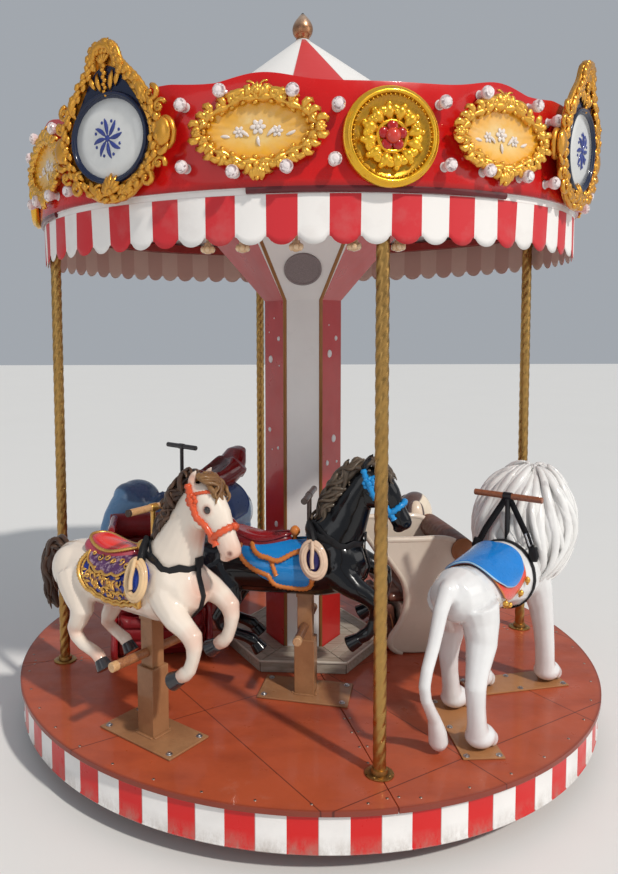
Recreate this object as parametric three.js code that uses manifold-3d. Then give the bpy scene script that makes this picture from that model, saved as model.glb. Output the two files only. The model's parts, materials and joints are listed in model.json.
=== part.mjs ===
// A small fairground carousel: a turning deck with riders, a centre column, four poles and a tented roof.
// Millimetres, +Z up. The origin is on the turning axis at ground level.
// Angles go round the axis in degrees: 0 is the front (-Y), 90 is the right (+X).
import * as THREE from 'three';
import { mergeVertices } from 'three/addons/utils/BufferGeometryUtils.js';
import Module from 'manifold-3d';

const wasm = await Module();
wasm.setup();

// Driving dimensions
const SEAT_GAP = 0.3; // between pieces that touch
const DECK_RADIUS = 1300;
const DECK_TOP = 240;
const DECK_THICKNESS = 20;
const DECK_SEAM = 3;
const SKIRT_RADIUS = 1285;
const SKIRT_THICKNESS = 8;
const SKIRT_BOTTOM = 85;
const SKIRT_SIDES = 64;
const POLE_ANGLE = 13.4; // the first pole, and three more at quarter turns
const POLE_CIRCLE = 1110;
const POLE_RADIUS = 23;
const FLANGE_RADIUS = 50;
const FLANGE_HEIGHT = 6;
const QUARTERS = 4;

// Heights above the deck's top
const RIM_BOTTOM = 1930;
const RIM_HEIGHT = 40;
const RIM_TOP = RIM_BOTTOM + RIM_HEIGHT;
const RIM_INNER = 1080;
const VALANCE_BOTTOM = 1771;
const VALANCE_TOP = 1960;
const VALANCE_RADIUS = 1152;
const VALANCE_THICKNESS = 3;
const VALANCE_TONGUES = 72;
const TONGUE_ROUND = 45;
const BOARD_STEPS = 18; // flat facets in one board
const BOARD_INNER = (VALANCE_RADIUS + SEAT_GAP) / Math.cos(Math.PI / 4 / BOARD_STEPS);
const BOARD_THICKNESS = 12;
const BOARD_FACE = BOARD_INNER + BOARD_THICKNESS;
const BOARD_BOTTOM = 1950;
const BOARD_TOP = 2255;
const BOARD_WAVE = 28;
const TENT_APEX = 2797;
const TENT_RADIUS = 1120;
const TENT_HOLE = 20;
const TENT_THICKNESS = 4;
const KINK_HEIGHT = 1626;
const COLUMN_RADIUS = 175; // to the hexagon's corners
const FLARE_RADIUS = 437;
const COLUMN_WALL = 10;
const PLINTH_RADIUS = 380;
const PLINTH_HEIGHT = 50;
const FINIAL_HEIGHT = 118;
const FINIAL_RADIUS = 46;

// Ground frame and bearing
const FOOT_RADIUS = 60;
const FOOT_HEIGHT = 12;
const FOOT_CIRCLE = 1080;
const ARM_SIZE = 60;
const ARM_COUNT = 4;
const HUB_RADIUS = 160;
const BEARING_RADIUS = 140;
const BEARING_HEIGHT = 28;
const SPINDLE_RADIUS = 30;
const SPINDLE_HEIGHT = 60;
const SPINDLE_CLEARANCE = 0.6;
const BEAM_WIDTH = 50;
const BEAM_HEIGHT = 60;
const BEAM_COUNT = 8;

const rad = THREE.MathUtils.degToRad;
const carousel = new THREE.Group();

// Paints and finishes
const paint = (color, roughness = 0.45, metalness = 0) => (
  new THREE.MeshStandardMaterial({ color, roughness, metalness })
);
const materials = {
  blackSteel: paint(0x1c1c1e, 0.5, 0.6),
  steel: paint(0x8b8d90, 0.35, 0.9),
  deckRed: paint(0x8e2f22, 0.55),
  red: paint(0xb3121a, 0.4),
  white: paint(0xf0eee9, 0.5),
  cloth: paint(0xe9e4de, 0.8),
  gold: paint(0xc8952a, 0.35, 0.6),
  brass: paint(0x8a6a32, 0.4, 0.8),
  copper: paint(0x9a6a4e, 0.35, 0.7),
  wood: paint(0xb9794a, 0.6),
  greyWood: paint(0x9b9588, 0.7),
  bronzePaint: paint(0xa8714a, 0.5, 0.3),
  cream: paint(0xece2d4, 0.3),
  black: paint(0x0d0e12, 0.15),
  leatherRed: paint(0xc8281c, 0.4),
  blue: paint(0x1779c4, 0.4),
  lightBlue: paint(0x6f97bd, 0.3),
  maroon: paint(0x5e1014, 0.4),
  brown: paint(0x6b3526, 0.5),
  darkGrey: paint(0x4b4b50, 0.7),
};

// Shared helpers
function addMesh(name, geometry, material) {
  const mesh = new THREE.Mesh(geometry, material);
  mesh.name = name;
  return mesh;
}

// Puts a mesh at an angle round the axis: its own -Y then faces outwards.
function placeAt(mesh, radius, angle, height) {
  const turn = rad(angle);
  mesh.position.set(radius * Math.sin(turn), -radius * Math.cos(turn), height);
  mesh.rotation.z = turn;
  carousel.add(mesh);
}

function toSolid(geometry) {
  const bare = geometry.clone();
  bare.deleteAttribute('normal');
  bare.deleteAttribute('uv');
  const merged = mergeVertices(bare, 1e-3);
  return new wasm.Manifold(new wasm.Mesh({
    numProp: 3,
    vertProperties: Float32Array.from(merged.attributes.position.array),
    triVerts: Uint32Array.from(merged.index.array),
  }));
}

function toGeometry(solid) {
  const mesh = solid.getMesh();
  const geometry = new THREE.BufferGeometry();
  geometry.setAttribute('position', new THREE.BufferAttribute(mesh.vertProperties, 3));
  geometry.setIndex(new THREE.BufferAttribute(mesh.triVerts, 1));
  return geometry;
}

const join = (solids) => solids.reduce((sum, next) => sum.add(next));

function box(x0, x1, y0, y1, z0, z1) {
  const geometry = new THREE.BoxGeometry(x1 - x0, y1 - y0, z1 - z0);
  return geometry.translate((x0 + x1) / 2, (y0 + y1) / 2, (z0 + z1) / 2);
}

// An upright disc or post from z0 to z1
function upright(radius, z0, z1, sides, x = 0, y = 0) {
  const geometry = new THREE.CylinderGeometry(radius, radius, z1 - z0, sides);
  return geometry.rotateX(Math.PI / 2).translate(x, y, (z0 + z1) / 2);
}

// A round bar along Y
function crossbar(radius, length, sides, x, z) {
  const geometry = new THREE.CylinderGeometry(radius, radius, length, sides);
  return geometry.translate(x, 0, z);
}

function ellipsoid(x, y, z, rx, ry, rz, around = 10, down = 7) {
  const geometry = new THREE.SphereGeometry(1, around, down);
  return geometry.rotateX(Math.PI / 2).scale(rx, ry, rz).translate(x, y, z);
}

// A ring or disc turned from a closed outline of [radius, height] points
function turned(outline, segments) {
  const points = outline.map(([r, z]) => new THREE.Vector2(r, z));
  points.push(points[0].clone());
  return new THREE.LatheGeometry(points, segments).rotateX(Math.PI / 2);
}

function polygon(points) {
  return new THREE.Shape(points.map(([x, y]) => new THREE.Vector2(x, y)));
}

// A flat shape drawn in X and Z, its thickness running along -Y from the given start
function plate(shape, thickness, start = 0) {
  const geometry = new THREE.ExtrudeGeometry(shape, { depth: thickness, bevelEnabled: false, curveSegments: 6 });
  return geometry.rotateX(Math.PI / 2).translate(0, -start, 0);
}

// A tapering limb through stations of [x, y, z, radius], made thicker and longer by grow
function limb(stations, sides, grow = 0) {
  const centres = stations.map(([x, y, z]) => new THREE.Vector3(x, y, z));
  const curve = new THREE.CatmullRomCurve3(centres, false, 'centripetal');
  const corners = Array.from({ length: sides }, (_, i) => {
    const turn = 2 * Math.PI * i / sides;
    return new THREE.Vector2(Math.cos(turn), Math.sin(turn));
  });
  const path = new THREE.CurvePath();
  path.getPoint = (t, target) => curve.getPoint(t, target);
  path.getPointAt = (t, target) => curve.getPoint(t, target);
  path.getTangentAt = (t, target) => curve.getTangent(t, target);
  const steps = stations.length - 1;
  const geometry = new THREE.ExtrudeGeometry(new THREE.Shape(corners), {
    steps,
    bevelEnabled: false,
    extrudePath: path,
  });
  const position = geometry.attributes.position;
  const vertex = new THREE.Vector3();
  for (let i = 0; i < position.count; i += 1) {
    vertex.fromBufferAttribute(position, i);
    const distances = centres.map((centre) => centre.distanceTo(vertex));
    const nearest = distances.indexOf(Math.min(...distances));
    vertex.sub(centres[nearest]).setLength(stations[nearest][3] + grow).add(centres[nearest]);
    if (nearest === 0) vertex.add(centres[0].clone().sub(centres[1]).setLength(grow));
    if (nearest === steps) vertex.add(centres[steps].clone().sub(centres[steps - 1]).setLength(grow));
    position.setXYZ(i, vertex.x, vertex.y, vertex.z);
  }
  return geometry;
}

// Ground frame: a hub, four arms and their round feet
function groundFrame() {
  const top = FOOT_HEIGHT + ARM_SIZE;
  const pieces = [toSolid(upright(HUB_RADIUS, FOOT_HEIGHT, top, 18))];
  for (let i = 0; i < ARM_COUNT; i += 1) {
    const turn = 2 * Math.PI * i / ARM_COUNT;
    const arm = box(-ARM_SIZE / 2, ARM_SIZE / 2, -FOOT_CIRCLE - ARM_SIZE / 2, 0, FOOT_HEIGHT, top);
    const foot = upright(FOOT_RADIUS, 0, FOOT_HEIGHT + 1, 10, 0, -FOOT_CIRCLE);
    pieces.push(toSolid(arm.rotateZ(turn)), toSolid(foot.rotateZ(turn)));
  }
  carousel.add(addMesh('ground_frame', toGeometry(join(pieces)), materials.blackSteel));
}

// Slewing bearing: a flat race with the spindle that centres the deck
const BEARING_BASE = FOOT_HEIGHT + ARM_SIZE + SEAT_GAP;
const BEARING_TOP = BEARING_BASE + BEARING_HEIGHT;

function slewBearing() {
  const outline = [
    [0, BEARING_BASE],
    [BEARING_RADIUS, BEARING_BASE],
    [BEARING_RADIUS, BEARING_TOP],
    [SPINDLE_RADIUS, BEARING_TOP],
    [SPINDLE_RADIUS, BEARING_TOP + SPINDLE_HEIGHT],
    [0, BEARING_TOP + SPINDLE_HEIGHT],
  ];
  carousel.add(addMesh('slew_bearing', turned(outline, 24), materials.steel));
}

// Turntable frame: a hub on the bearing and radial beams under the deck
const DECK_UNDERSIDE = DECK_TOP - DECK_THICKNESS;

function turntableFrame() {
  const top = DECK_UNDERSIDE - SEAT_GAP;
  const bottom = BEARING_TOP + SEAT_GAP;
  const skirtFlat = (SKIRT_RADIUS - SKIRT_THICKNESS) * Math.cos(Math.PI / SKIRT_SIDES);
  const reach = Math.sqrt((skirtFlat - SEAT_GAP) ** 2 - (BEAM_WIDTH / 2) ** 2);
  const pieces = [toSolid(upright(HUB_RADIUS, bottom, top, 24))];
  for (let i = 0; i < BEAM_COUNT; i += 1) {
    const beam = box(-BEAM_WIDTH / 2, BEAM_WIDTH / 2, -reach, 0, top - BEAM_HEIGHT, top);
    pieces.push(toSolid(beam.rotateZ(rad(POLE_ANGLE) + 2 * Math.PI * i / BEAM_COUNT)));
  }
  const socket = upright(SPINDLE_RADIUS + SPINDLE_CLEARANCE, bottom - 1, BEARING_TOP + SPINDLE_HEIGHT + 2, 24);
  const frame = join(pieces).subtract(toSolid(socket));
  carousel.add(addMesh('turntable_frame', toGeometry(frame), materials.blackSteel));
}

// Deck: four quarter panels with open seams under the poles
function deckPanel(name, angle) {
  const halfSeam = DECK_SEAM / 2;
  const shape = new THREE.Shape();
  const inset = Math.asin(halfSeam / DECK_RADIUS);
  shape.moveTo(halfSeam, halfSeam);
  shape.lineTo(DECK_RADIUS * Math.cos(inset), halfSeam);
  shape.absarc(0, 0, DECK_RADIUS, inset, Math.PI / 2 - inset, false);
  const geometry = new THREE.ExtrudeGeometry(shape, { depth: DECK_THICKNESS, bevelEnabled: false, curveSegments: 16 });
  const panel = addMesh(name, geometry, materials.deckRed);
  panel.rotation.z = rad(angle - 90);
  panel.position.z = DECK_UNDERSIDE;
  carousel.add(panel);
}

// Skirt: a thin ring under the deck's edge
function skirt() {
  const top = DECK_UNDERSIDE - SEAT_GAP;
  const inner = SKIRT_RADIUS - SKIRT_THICKNESS;
  const outline = [[inner, SKIRT_BOTTOM], [SKIRT_RADIUS, SKIRT_BOTTOM], [SKIRT_RADIUS, top], [inner, top]];
  carousel.add(addMesh('skirt', turned(outline, SKIRT_SIDES), materials.white));
}

// Hexagon with a flat side facing the front
function hexagon(radius) {
  return Array.from({ length: 6 }, (_, i) => {
    const turn = rad(60 * i);
    return [radius * Math.cos(turn), radius * Math.sin(turn)];
  });
}

function plinth() {
  const shape = polygon(hexagon(PLINTH_RADIUS));
  shape.holes.push(polygon(hexagon(COLUMN_RADIUS + 1).reverse()));
  const geometry = new THREE.ExtrudeGeometry(shape, { depth: PLINTH_HEIGHT - SEAT_GAP, bevelEnabled: false });
  const step = addMesh('plinth', geometry, materials.greyWood);
  step.position.z = DECK_TOP + SEAT_GAP;
  carousel.add(step);
}

// Column: a hollow hexagon; above its kink it flares out to the roof rim
function columnShell(name, lowRadius, highRadius, low, high, material) {
  const outline = [
    [lowRadius - COLUMN_WALL, low],
    [lowRadius, low],
    [highRadius, high],
    [highRadius - COLUMN_WALL, high],
  ];
  const shell = addMesh(name, turned(outline, 6).rotateZ(Math.PI / 2), material);
  shell.position.z = DECK_TOP;
  carousel.add(shell);
}

// Speaker grille: a dark disc on the flare's front face
const SPEAKER_RADIUS = 81;
const SPEAKER_HEIGHT = 1756;
const SPEAKER_THICKNESS = 8;

function speaker() {
  const apothem = Math.cos(Math.PI / 6);
  const lean = Math.atan2((FLARE_RADIUS - COLUMN_RADIUS) * apothem, RIM_BOTTOM - KINK_HEIGHT);
  const rise = (SPEAKER_HEIGHT - KINK_HEIGHT) / (RIM_BOTTOM - KINK_HEIGHT);
  const face = (COLUMN_RADIUS + rise * (FLARE_RADIUS - COLUMN_RADIUS)) * apothem;
  const geometry = new THREE.CylinderGeometry(SPEAKER_RADIUS, SPEAKER_RADIUS, SPEAKER_THICKNESS, 20);
  geometry.translate(0, -SPEAKER_THICKNESS / 2 - 2 * SEAT_GAP, 0);
  const grille = addMesh('speaker_grille', geometry, materials.darkGrey);
  grille.rotation.x = lean;
  grille.position.set(0, -face, DECK_TOP + SPEAKER_HEIGHT);
  carousel.add(grille);
}

// Poles: a tube with its round floor flange
function pole(name, angle) {
  const outline = [
    [0, SEAT_GAP],
    [FLANGE_RADIUS, SEAT_GAP],
    [FLANGE_RADIUS, FLANGE_HEIGHT],
    [POLE_RADIUS, FLANGE_HEIGHT],
    [POLE_RADIUS, RIM_BOTTOM - SEAT_GAP],
    [0, RIM_BOTTOM - SEAT_GAP],
  ];
  placeAt(addMesh(name, turned(outline, 12), materials.brass), POLE_CIRCLE, angle, DECK_TOP);
}

// Roof frame: the rim, a beam over each pole and the mast that holds the tent's tip
const MAST_RADIUS = TENT_HOLE - 1;
const ROOF_BEAM_WIDTH = 40;

function roofFrame() {
  const rimOuter = VALANCE_RADIUS - VALANCE_THICKNESS - SEAT_GAP;
  const rim = [[RIM_INNER, RIM_BOTTOM], [rimOuter, RIM_BOTTOM], [rimOuter, RIM_TOP], [RIM_INNER, RIM_TOP]];
  const pieces = [toSolid(turned(rim, 48)), toSolid(upright(MAST_RADIUS, RIM_BOTTOM, TENT_APEX - 1, 16))];
  for (let i = 0; i < QUARTERS; i += 1) {
    const beam = box(-ROOF_BEAM_WIDTH / 2, ROOF_BEAM_WIDTH / 2, -RIM_INNER - 20, 0, RIM_BOTTOM, RIM_TOP);
    pieces.push(toSolid(beam.rotateZ(rad(POLE_ANGLE + 90 * i))));
  }
  const frame = addMesh('roof_frame', toGeometry(join(pieces)), materials.red);
  frame.position.z = DECK_TOP;
  carousel.add(frame);
}

// Tent: a thin cone from the mast's tip to the roof rim
function tent() {
  const rimHeight = RIM_TOP + SEAT_GAP;
  const outline = [
    [TENT_HOLE, TENT_APEX - TENT_THICKNESS],
    [TENT_RADIUS, rimHeight],
    [TENT_RADIUS, rimHeight + TENT_THICKNESS],
    [TENT_HOLE, TENT_APEX],
  ];
  const canopy = addMesh('tent_canopy', turned(outline, 32), materials.cloth);
  canopy.position.z = DECK_TOP;
  carousel.add(canopy);
}

// Finial: a copper ball with a short tip
function finial() {
  const middle = FINIAL_HEIGHT / 2 - 4;
  const outline = [
    [0, SEAT_GAP],
    [FINIAL_RADIUS * 0.55, SEAT_GAP],
    [FINIAL_RADIUS * 0.9, middle - FINIAL_RADIUS * 0.5],
    [FINIAL_RADIUS, middle],
    [FINIAL_RADIUS * 0.86, middle + FINIAL_RADIUS * 0.5],
    [FINIAL_RADIUS * 0.5, middle + FINIAL_RADIUS * 0.88],
    [FINIAL_RADIUS * 0.15, middle + FINIAL_RADIUS],
    [FINIAL_RADIUS * 0.12, FINIAL_HEIGHT],
    [0, FINIAL_HEIGHT],
  ];
  const ball = addMesh('finial', turned(outline, 16), materials.copper);
  ball.position.z = DECK_TOP + TENT_APEX;
  carousel.add(ball);
}

// Valance: a thin ring whose lower edge is cut into round tongues
const TONGUE_STEPS = 3;

function valance() {
  const segments = VALANCE_TONGUES * TONGUE_STEPS;
  const inner = VALANCE_RADIUS - VALANCE_THICKNESS;
  const middle = VALANCE_TOP - TONGUE_ROUND;
  const outline = [[inner, VALANCE_BOTTOM], [VALANCE_RADIUS, VALANCE_BOTTOM], [VALANCE_RADIUS, VALANCE_TOP],
    [inner, VALANCE_TOP]];
  const geometry = turned(outline, segments);
  const position = geometry.attributes.position;
  const step = 2 * Math.PI / segments;
  for (let i = 0; i < position.count; i += 1) {
    const turn = Math.round(Math.atan2(position.getY(i), position.getX(i)) / step) + segments;
    if (position.getZ(i) < middle && turn % TONGUE_STEPS === 0) {
      position.setZ(i, VALANCE_BOTTOM + TONGUE_ROUND);
    }
  }
  const ring = addMesh('valance', geometry, materials.cloth);
  ring.rotation.z = rad(POLE_ANGLE + 45 / 2);
  ring.position.z = DECK_TOP;
  carousel.add(ring);
}

// Oval cartouche frame outline: an ellipse with scrolled lobes
const OVAL_HALF_WIDTH = 214;
const OVAL_HALF_HEIGHT = 135;
const OVAL_CENTRE = 2122;
const OVAL_LOBE = 8;
const OVAL_DEPTH = 46;
const OVAL_FRONT = 24; // how far it stands out in front of the board
const OVAL_ANGLE = 20.2; // from the round medallion, midway between it and the shield

function ovalOutline() {
  const points = 18;
  return Array.from({ length: points }, (_, i) => {
    const turn = 2 * Math.PI * i / points;
    const lobe = i % 3 === 0 ? OVAL_LOBE : -OVAL_LOBE / 2;
    return [(OVAL_HALF_WIDTH + lobe) * Math.cos(turn), OVAL_CENTRE + (OVAL_HALF_HEIGHT + lobe) * Math.sin(turn)];
  });
}

// Rounding board: a quarter of the roof's band, with a wavy top and two oval cartouche frames
function roundingBoard(name, angle) {
  const halfTurn = rad(45) - 1.5 / BOARD_FACE;
  const geometry = new THREE.BoxGeometry(2 * halfTurn, 1, 1, BOARD_STEPS, 1, 1);
  const position = geometry.attributes.position;
  for (let i = 0; i < position.count; i += 1) {
    const turn = position.getX(i);
    const radius = position.getY(i) < 0 ? BOARD_FACE : BOARD_INNER;
    const top = BOARD_TOP - BOARD_WAVE * Math.cos(8 * turn);
    const height = position.getZ(i) > 0 ? top : BOARD_BOTTOM;
    position.setXYZ(i, radius * Math.sin(turn), -radius * Math.cos(turn), height);
  }
  const back = BOARD_FACE + OVAL_FRONT - OVAL_DEPTH;
  const ovals = [-OVAL_ANGLE, OVAL_ANGLE].map((turn) => (
    toSolid(plate(polygon(ovalOutline()), OVAL_DEPTH, back).rotateZ(rad(turn)))
  ));
  const board = addMesh(name, toGeometry(join([toSolid(geometry), ...ovals])), materials.red);
  placeAt(board, 0, angle, DECK_TOP);
}

// Round medallion: a turned boss facing outwards
const MEDALLION_RADIUS = 156;
const MEDALLION_CENTRE = 2097;
const ORNAMENT_BACK = BOARD_FACE + SEAT_GAP;

function medallion(name, angle) {
  const outline = [
    [0, 0],
    [MEDALLION_RADIUS - 8, 0],
    [MEDALLION_RADIUS, 14],
    [MEDALLION_RADIUS - 20, 34],
    [MEDALLION_RADIUS - 50, 20],
    [45, 22],
    [30, 40],
    [0, 44],
  ];
  const disc = turned(outline, 16).rotateX(Math.PI / 2);
  placeAt(addMesh(name, disc, materials.gold), ORNAMENT_BACK, angle, DECK_TOP + MEDALLION_CENTRE);
}

// Tall shield: a crested frame round an oval medallion
const SHIELD_DEPTH = 26;
const SHIELD_BOTTOM = 1925;
const SHIELD_HALF = [
  [90, 20], [150, 75], [215, 110], [268, 190], [272, 265], [225, 300], [170, 335],
  [150, 400], [95, 440], [65, 480], [55, 530], [25, 550],
];

function shield(name, angle) {
  const right = SHIELD_HALF.map(([x, z]) => [x, z + SHIELD_BOTTOM]);
  const left = right.map(([x, z]) => [-x, z]).reverse();
  const outline = polygon([[0, SHIELD_BOTTOM], ...right, ...left]);
  placeAt(addMesh(name, plate(outline, SHIELD_DEPTH), materials.gold), ORNAMENT_BACK, angle, DECK_TOP);
}

// Riders: each is built in its own frame, x ahead, y to its left, z up from the deck
function placeRider(mesh, rider) {
  mesh.position.set(rider.x, rider.y, DECK_TOP + (rider.lift || 0));
  mesh.rotation.z = rad(rider.heading);
  carousel.add(mesh);
}

const CREAM_HORSE = { x: -557, y: -861, heading: -35.4, lift: 0 };
const BLACK_HORSE = { x: 11, y: -498, heading: -10, lift: -30 };
const LION = { x: 760, y: -544, heading: 54.4 };
const ELEPHANT = { x: -630, y: 500, heading: -128 };
const CREAM_BENCH = { x: 510, y: 140, heading: 190 };
const RED_BENCH = { x: -655, y: -130, heading: -80 };
const PUPPY = { x: 585, y: 530, heading: 10 };

// Jumping horse
function horseSolid(grow = 0) {
  const side = (y) => (y < 0 ? -1 : 1);
  const hindLeg = (y, lift, reach) => limb([
    [-360, y * 0.8, 525, 78],
    [-300, y, 440, 54],
    [-345, y, 340 + lift, 32],
    [-290 + reach, y + side(y) * 5, 292 + lift, 24],
    [-205 + reach, y, 270 + lift, 24],
    [-165 + reach, y, 228 + lift, 28],
  ], 6, grow);
  const foreLeg = (y, lift, reach) => limb([
    [140, y * 0.75, 560 + lift / 2, 68],
    [205 + reach / 2, y, 512 + lift, 46],
    [285 + reach, y, 470 + lift, 34],
    [285 + reach, y, 425 + lift, 26],
    [270 + reach, y, 355 + lift, 24],
    [215 + reach, y, 302 + lift, 26],
    [180 + reach, y, 285 + lift, 30],
  ], 6, grow);
  const torso = limb([
    [-490, 0, 545, 58],
    [-425, 0, 550, 102],
    [-300, 0, 552, 110],
    [-120, 0, 552, 105],
    [30, 0, 558, 110],
    [150, 0, 588, 112],
    [232, 0, 618, 72],
    [258, 0, 625, 36],
  ], 10, grow);
  const neck = limb([
    [110, 0, 640, 100],
    [150, 0, 730, 88],
    [190, 0, 820, 72],
    [225, 0, 900, 62],
    [262, 0, 945, 48],
  ], 8, grow);
  const head = limb([
    [225, 0, 925, 50],
    [272, 0, 905, 64],
    [325, 0, 850, 50],
    [368, 0, 795, 38],
    [395, 0, 755, 34],
  ], 8, grow);
  const mane = limb([
    [45, 0, 690, 26],
    [75, 0, 790, 36],
    [105, 0, 880, 40],
    [160, 0, 950, 40],
    [245, 0, 975, 34],
    [315, 0, 950, 24],
  ], 6, grow);
  const tail = limb([
    [-440, 0, 600, 30],
    [-510, 0, 632, 34],
    [-575, 0, 600, 42],
    [-600, 0, 510, 42],
    [-590, 0, 420, 36],
    [-560, 0, 350, 14],
  ], 6, grow);
  return join([
    torso, neck, head, mane, tail,
    hindLeg(-85, 0, 0), hindLeg(85, 0, -40), foreLeg(-85, 0, 0), foreLeg(85, 68, 22),
  ].map(toSolid));
}

// Stand under a jumping horse: base plate, square sleeve and square post, up into the belly
const PLATE_LENGTH = 370;
const PLATE_WIDTH = 205;
const PLATE_THICKNESS = 8;
const SLEEVE_SIZE = 82;
const SLEEVE_TOP = 265;
const POST_SIZE = 60;
const POST_TOP = 500;
const FOOTREST_HEIGHT = 320;
const FOOTREST_LENGTH = 400;
const FOOTREST_RADIUS = 18;
const HANDLE_HEIGHT = 858;
const HANDLE_LENGTH = 250;
const HANDLE_RADIUS = 13;

function horseStand(name, rider) {
  const square = (size, z0, z1) => toSolid(box(-size / 2, size / 2, -size / 2, size / 2, z0, z1));
  const low = SEAT_GAP - rider.lift;
  const base = toSolid(box(-PLATE_LENGTH / 2, PLATE_LENGTH / 2, -PLATE_WIDTH / 2, PLATE_WIDTH / 2, low,
    low + PLATE_THICKNESS));
  const footrestHole = toSolid(crossbar(FOOTREST_RADIUS + SEAT_GAP, FOOTREST_LENGTH, 12, 0, FOOTREST_HEIGHT));
  const stand = join([base, square(SLEEVE_SIZE, low, SLEEVE_TOP), square(POST_SIZE, low, POST_TOP)])
    .subtract(horseSolid(SEAT_GAP))
    .subtract(footrestHole);
  placeRider(addMesh(`${name}_stand`, toGeometry(stand), materials.bronzePaint), rider);
  const footrest = crossbar(FOOTREST_RADIUS, FOOTREST_LENGTH, 12, 0, FOOTREST_HEIGHT);
  placeRider(addMesh(`${name}_footrest`, footrest, materials.wood), rider);
}

// Saddle with its blanket, shaped to the horse's back
function horseSaddle(grow = 0) {
  const blanket = toSolid(limb([
    [-275, 0, 552, 126],
    [-120, 0, 552, 122],
    [58, 0, 562, 128],
  ], 10, grow)).intersect(toSolid(box(-400, 200, -200, 200, 505 - grow, 800)));
  const seat = toSolid(limb([
    [-308, 0, 660, 32],
    [-285, 0, 664, 44],
    [-220, 0, 630, 74],
    [-140, 0, 630, 74],
    [-85, 0, 655, 42],
    [-55, 0, 668, 24],
  ], 8, grow));
  return blanket.add(seat);
}

function horse(name, rider, coat) {
  const handle = join([
    toSolid(crossbar(HANDLE_RADIUS, HANDLE_LENGTH, 8, 15, HANDLE_HEIGHT)),
    toSolid(upright(10, 600, HANDLE_HEIGHT, 8, 15, 0)),
  ]).subtract(horseSolid(2 * SEAT_GAP)).subtract(horseSaddle(2 * SEAT_GAP));
  const saddle = horseSaddle().subtract(horseSolid(2 * SEAT_GAP));
  placeRider(addMesh(name, toGeometry(horseSolid()), coat), rider);
  placeRider(addMesh(`${name}_saddle`, toGeometry(saddle), materials.leatherRed), rider);
  placeRider(addMesh(`${name}_handle`, toGeometry(handle), materials.wood), rider);
  horseStand(name, rider);
}

// Lion: stands on two plates laid slantwise under its paws
const LION_PLATE_THICKNESS = 6;
const LION_PLATE_LENGTH = 430;
const LION_PLATE_WIDTH = 150;
const LION_FEET = LION_PLATE_THICKNESS + 2 * SEAT_GAP;

function lionSolid(grow = 0) {
  const leg = (stations) => limb(stations, 6, grow);
  const paw = (x, y) => ellipsoid(x, y, LION_FEET + 42, 76 + grow, 58 + grow, 42 + grow, 8, 6);
  const torso = limb([
    [-405, 0, 520, 55],
    [-345, 0, 525, 95],
    [-230, 0, 512, 100],
    [-60, 0, 522, 112],
    [110, 0, 525, 122],
    [240, 0, 560, 110],
  ], 10, grow);
  const tail = limb([
    [-385, 0, 585, 30],
    [-455, 0, 555, 26],
    [-530, 0, 410, 22],
    [-590, 0, 300, 20],
    [-555, 0, 195, 20],
    [-505, 0, 110, 26],
    [-484, 0, 45, 34],
    [-482, 0, 4, 18],
  ], 6, grow);
  return join([
    torso,
    tail,
    leg([[-300, -60, 490, 84], [-320, -85, 370, 58], [-405, -98, 240, 36], [-392, -100, 120, 34], [-378, -100, 40, 40]]),
    leg([[-290, 60, 490, 84], [-200, 85, 370, 58], [-200, 98, 240, 36], [-175, 100, 120, 34], [-158, 100, 40, 40]]),
    leg([[225, -70, 490, 74], [270, -90, 330, 48], [295, -100, 200, 42], [310, -100, 50, 40]]),
    leg([[200, 70, 490, 74], [130, 88, 330, 48], [85, 94, 200, 42], [72, 95, 50, 40]]),
    paw(-352, -100), paw(-132, 100), paw(338, -100), paw(100, 95),
    ellipsoid(300, 0, 668, 168 + grow, 195 + grow, 240 + grow, 10, 8),
    ellipsoid(450, 0, 665, 115 + grow, 100 + grow, 110 + grow),
    ellipsoid(545, 0, 630, 55 + grow, 58 + grow, 50 + grow, 8, 6),
  ].map(toSolid));
}

function lionPlate(name, x, y, turn) {
  const half = [LION_PLATE_LENGTH / 2, LION_PLATE_WIDTH / 2];
  const geometry = box(-half[0], half[0], -half[1], half[1], SEAT_GAP, LION_PLATE_THICKNESS);
  geometry.rotateZ(rad(turn)).translate(x, y, 0);
  placeRider(addMesh(name, geometry, materials.bronzePaint), LION);
}

function lion() {
  const blanket = toSolid(limb([[-262, 0, 512, 112], [-60, 0, 524, 122], [20, 0, 528, 126]], 10))
    .intersect(toSolid(box(-400, 200, -200, 200, 500, 800)))
    .subtract(lionSolid(SEAT_GAP));
  const handle = join([
    toSolid(crossbar(HANDLE_RADIUS, 280, 8, 118, 820)),
    toSolid(upright(10, 560, 820, 8, 118, 0)),
  ]).subtract(lionSolid(SEAT_GAP));
  placeRider(addMesh('lion', toGeometry(lionSolid()), materials.white), LION);
  placeRider(addMesh('lion_blanket', toGeometry(blanket), materials.blue), LION);
  placeRider(addMesh('lion_handle', toGeometry(handle), materials.wood), LION);
  lionPlate('lion_plate_rear', -262, 0, 42);
  lionPlate('lion_plate_front', 215, 0, -38);
}

// Elephant: four round legs, a trunk and a tub saddle
function elephantSolid(grow = 0) {
  const leg = (x, y) => upright(58 + grow, SEAT_GAP - grow, 380, 8, x, y);
  const ear = (y) => ellipsoid(285, y, 575, 90 + grow, 22 + grow, 115 + grow, 8, 6);
  const torso = limb([
    [-430, 0, 440, 90],
    [-350, 0, 455, 160],
    [-180, 0, 450, 185],
    [20, 0, 450, 180],
    [160, 0, 470, 150],
    [250, 0, 510, 100],
  ], 10, grow);
  const trunk = limb([
    [440, 0, 600, 70],
    [510, 0, 545, 55],
    [540, 0, 450, 42],
    [535, 0, 350, 34],
    [500, 0, 280, 30],
    [520, 0, 220, 26],
  ], 6, grow);
  return join([
    torso, trunk,
    ellipsoid(345, 0, 600, 145 + grow, 120 + grow, 135 + grow),
    leg(-310, -100), leg(-310, 100), leg(140, -95), leg(140, 95), ear(-125), ear(125),
  ].map(toSolid));
}

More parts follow.
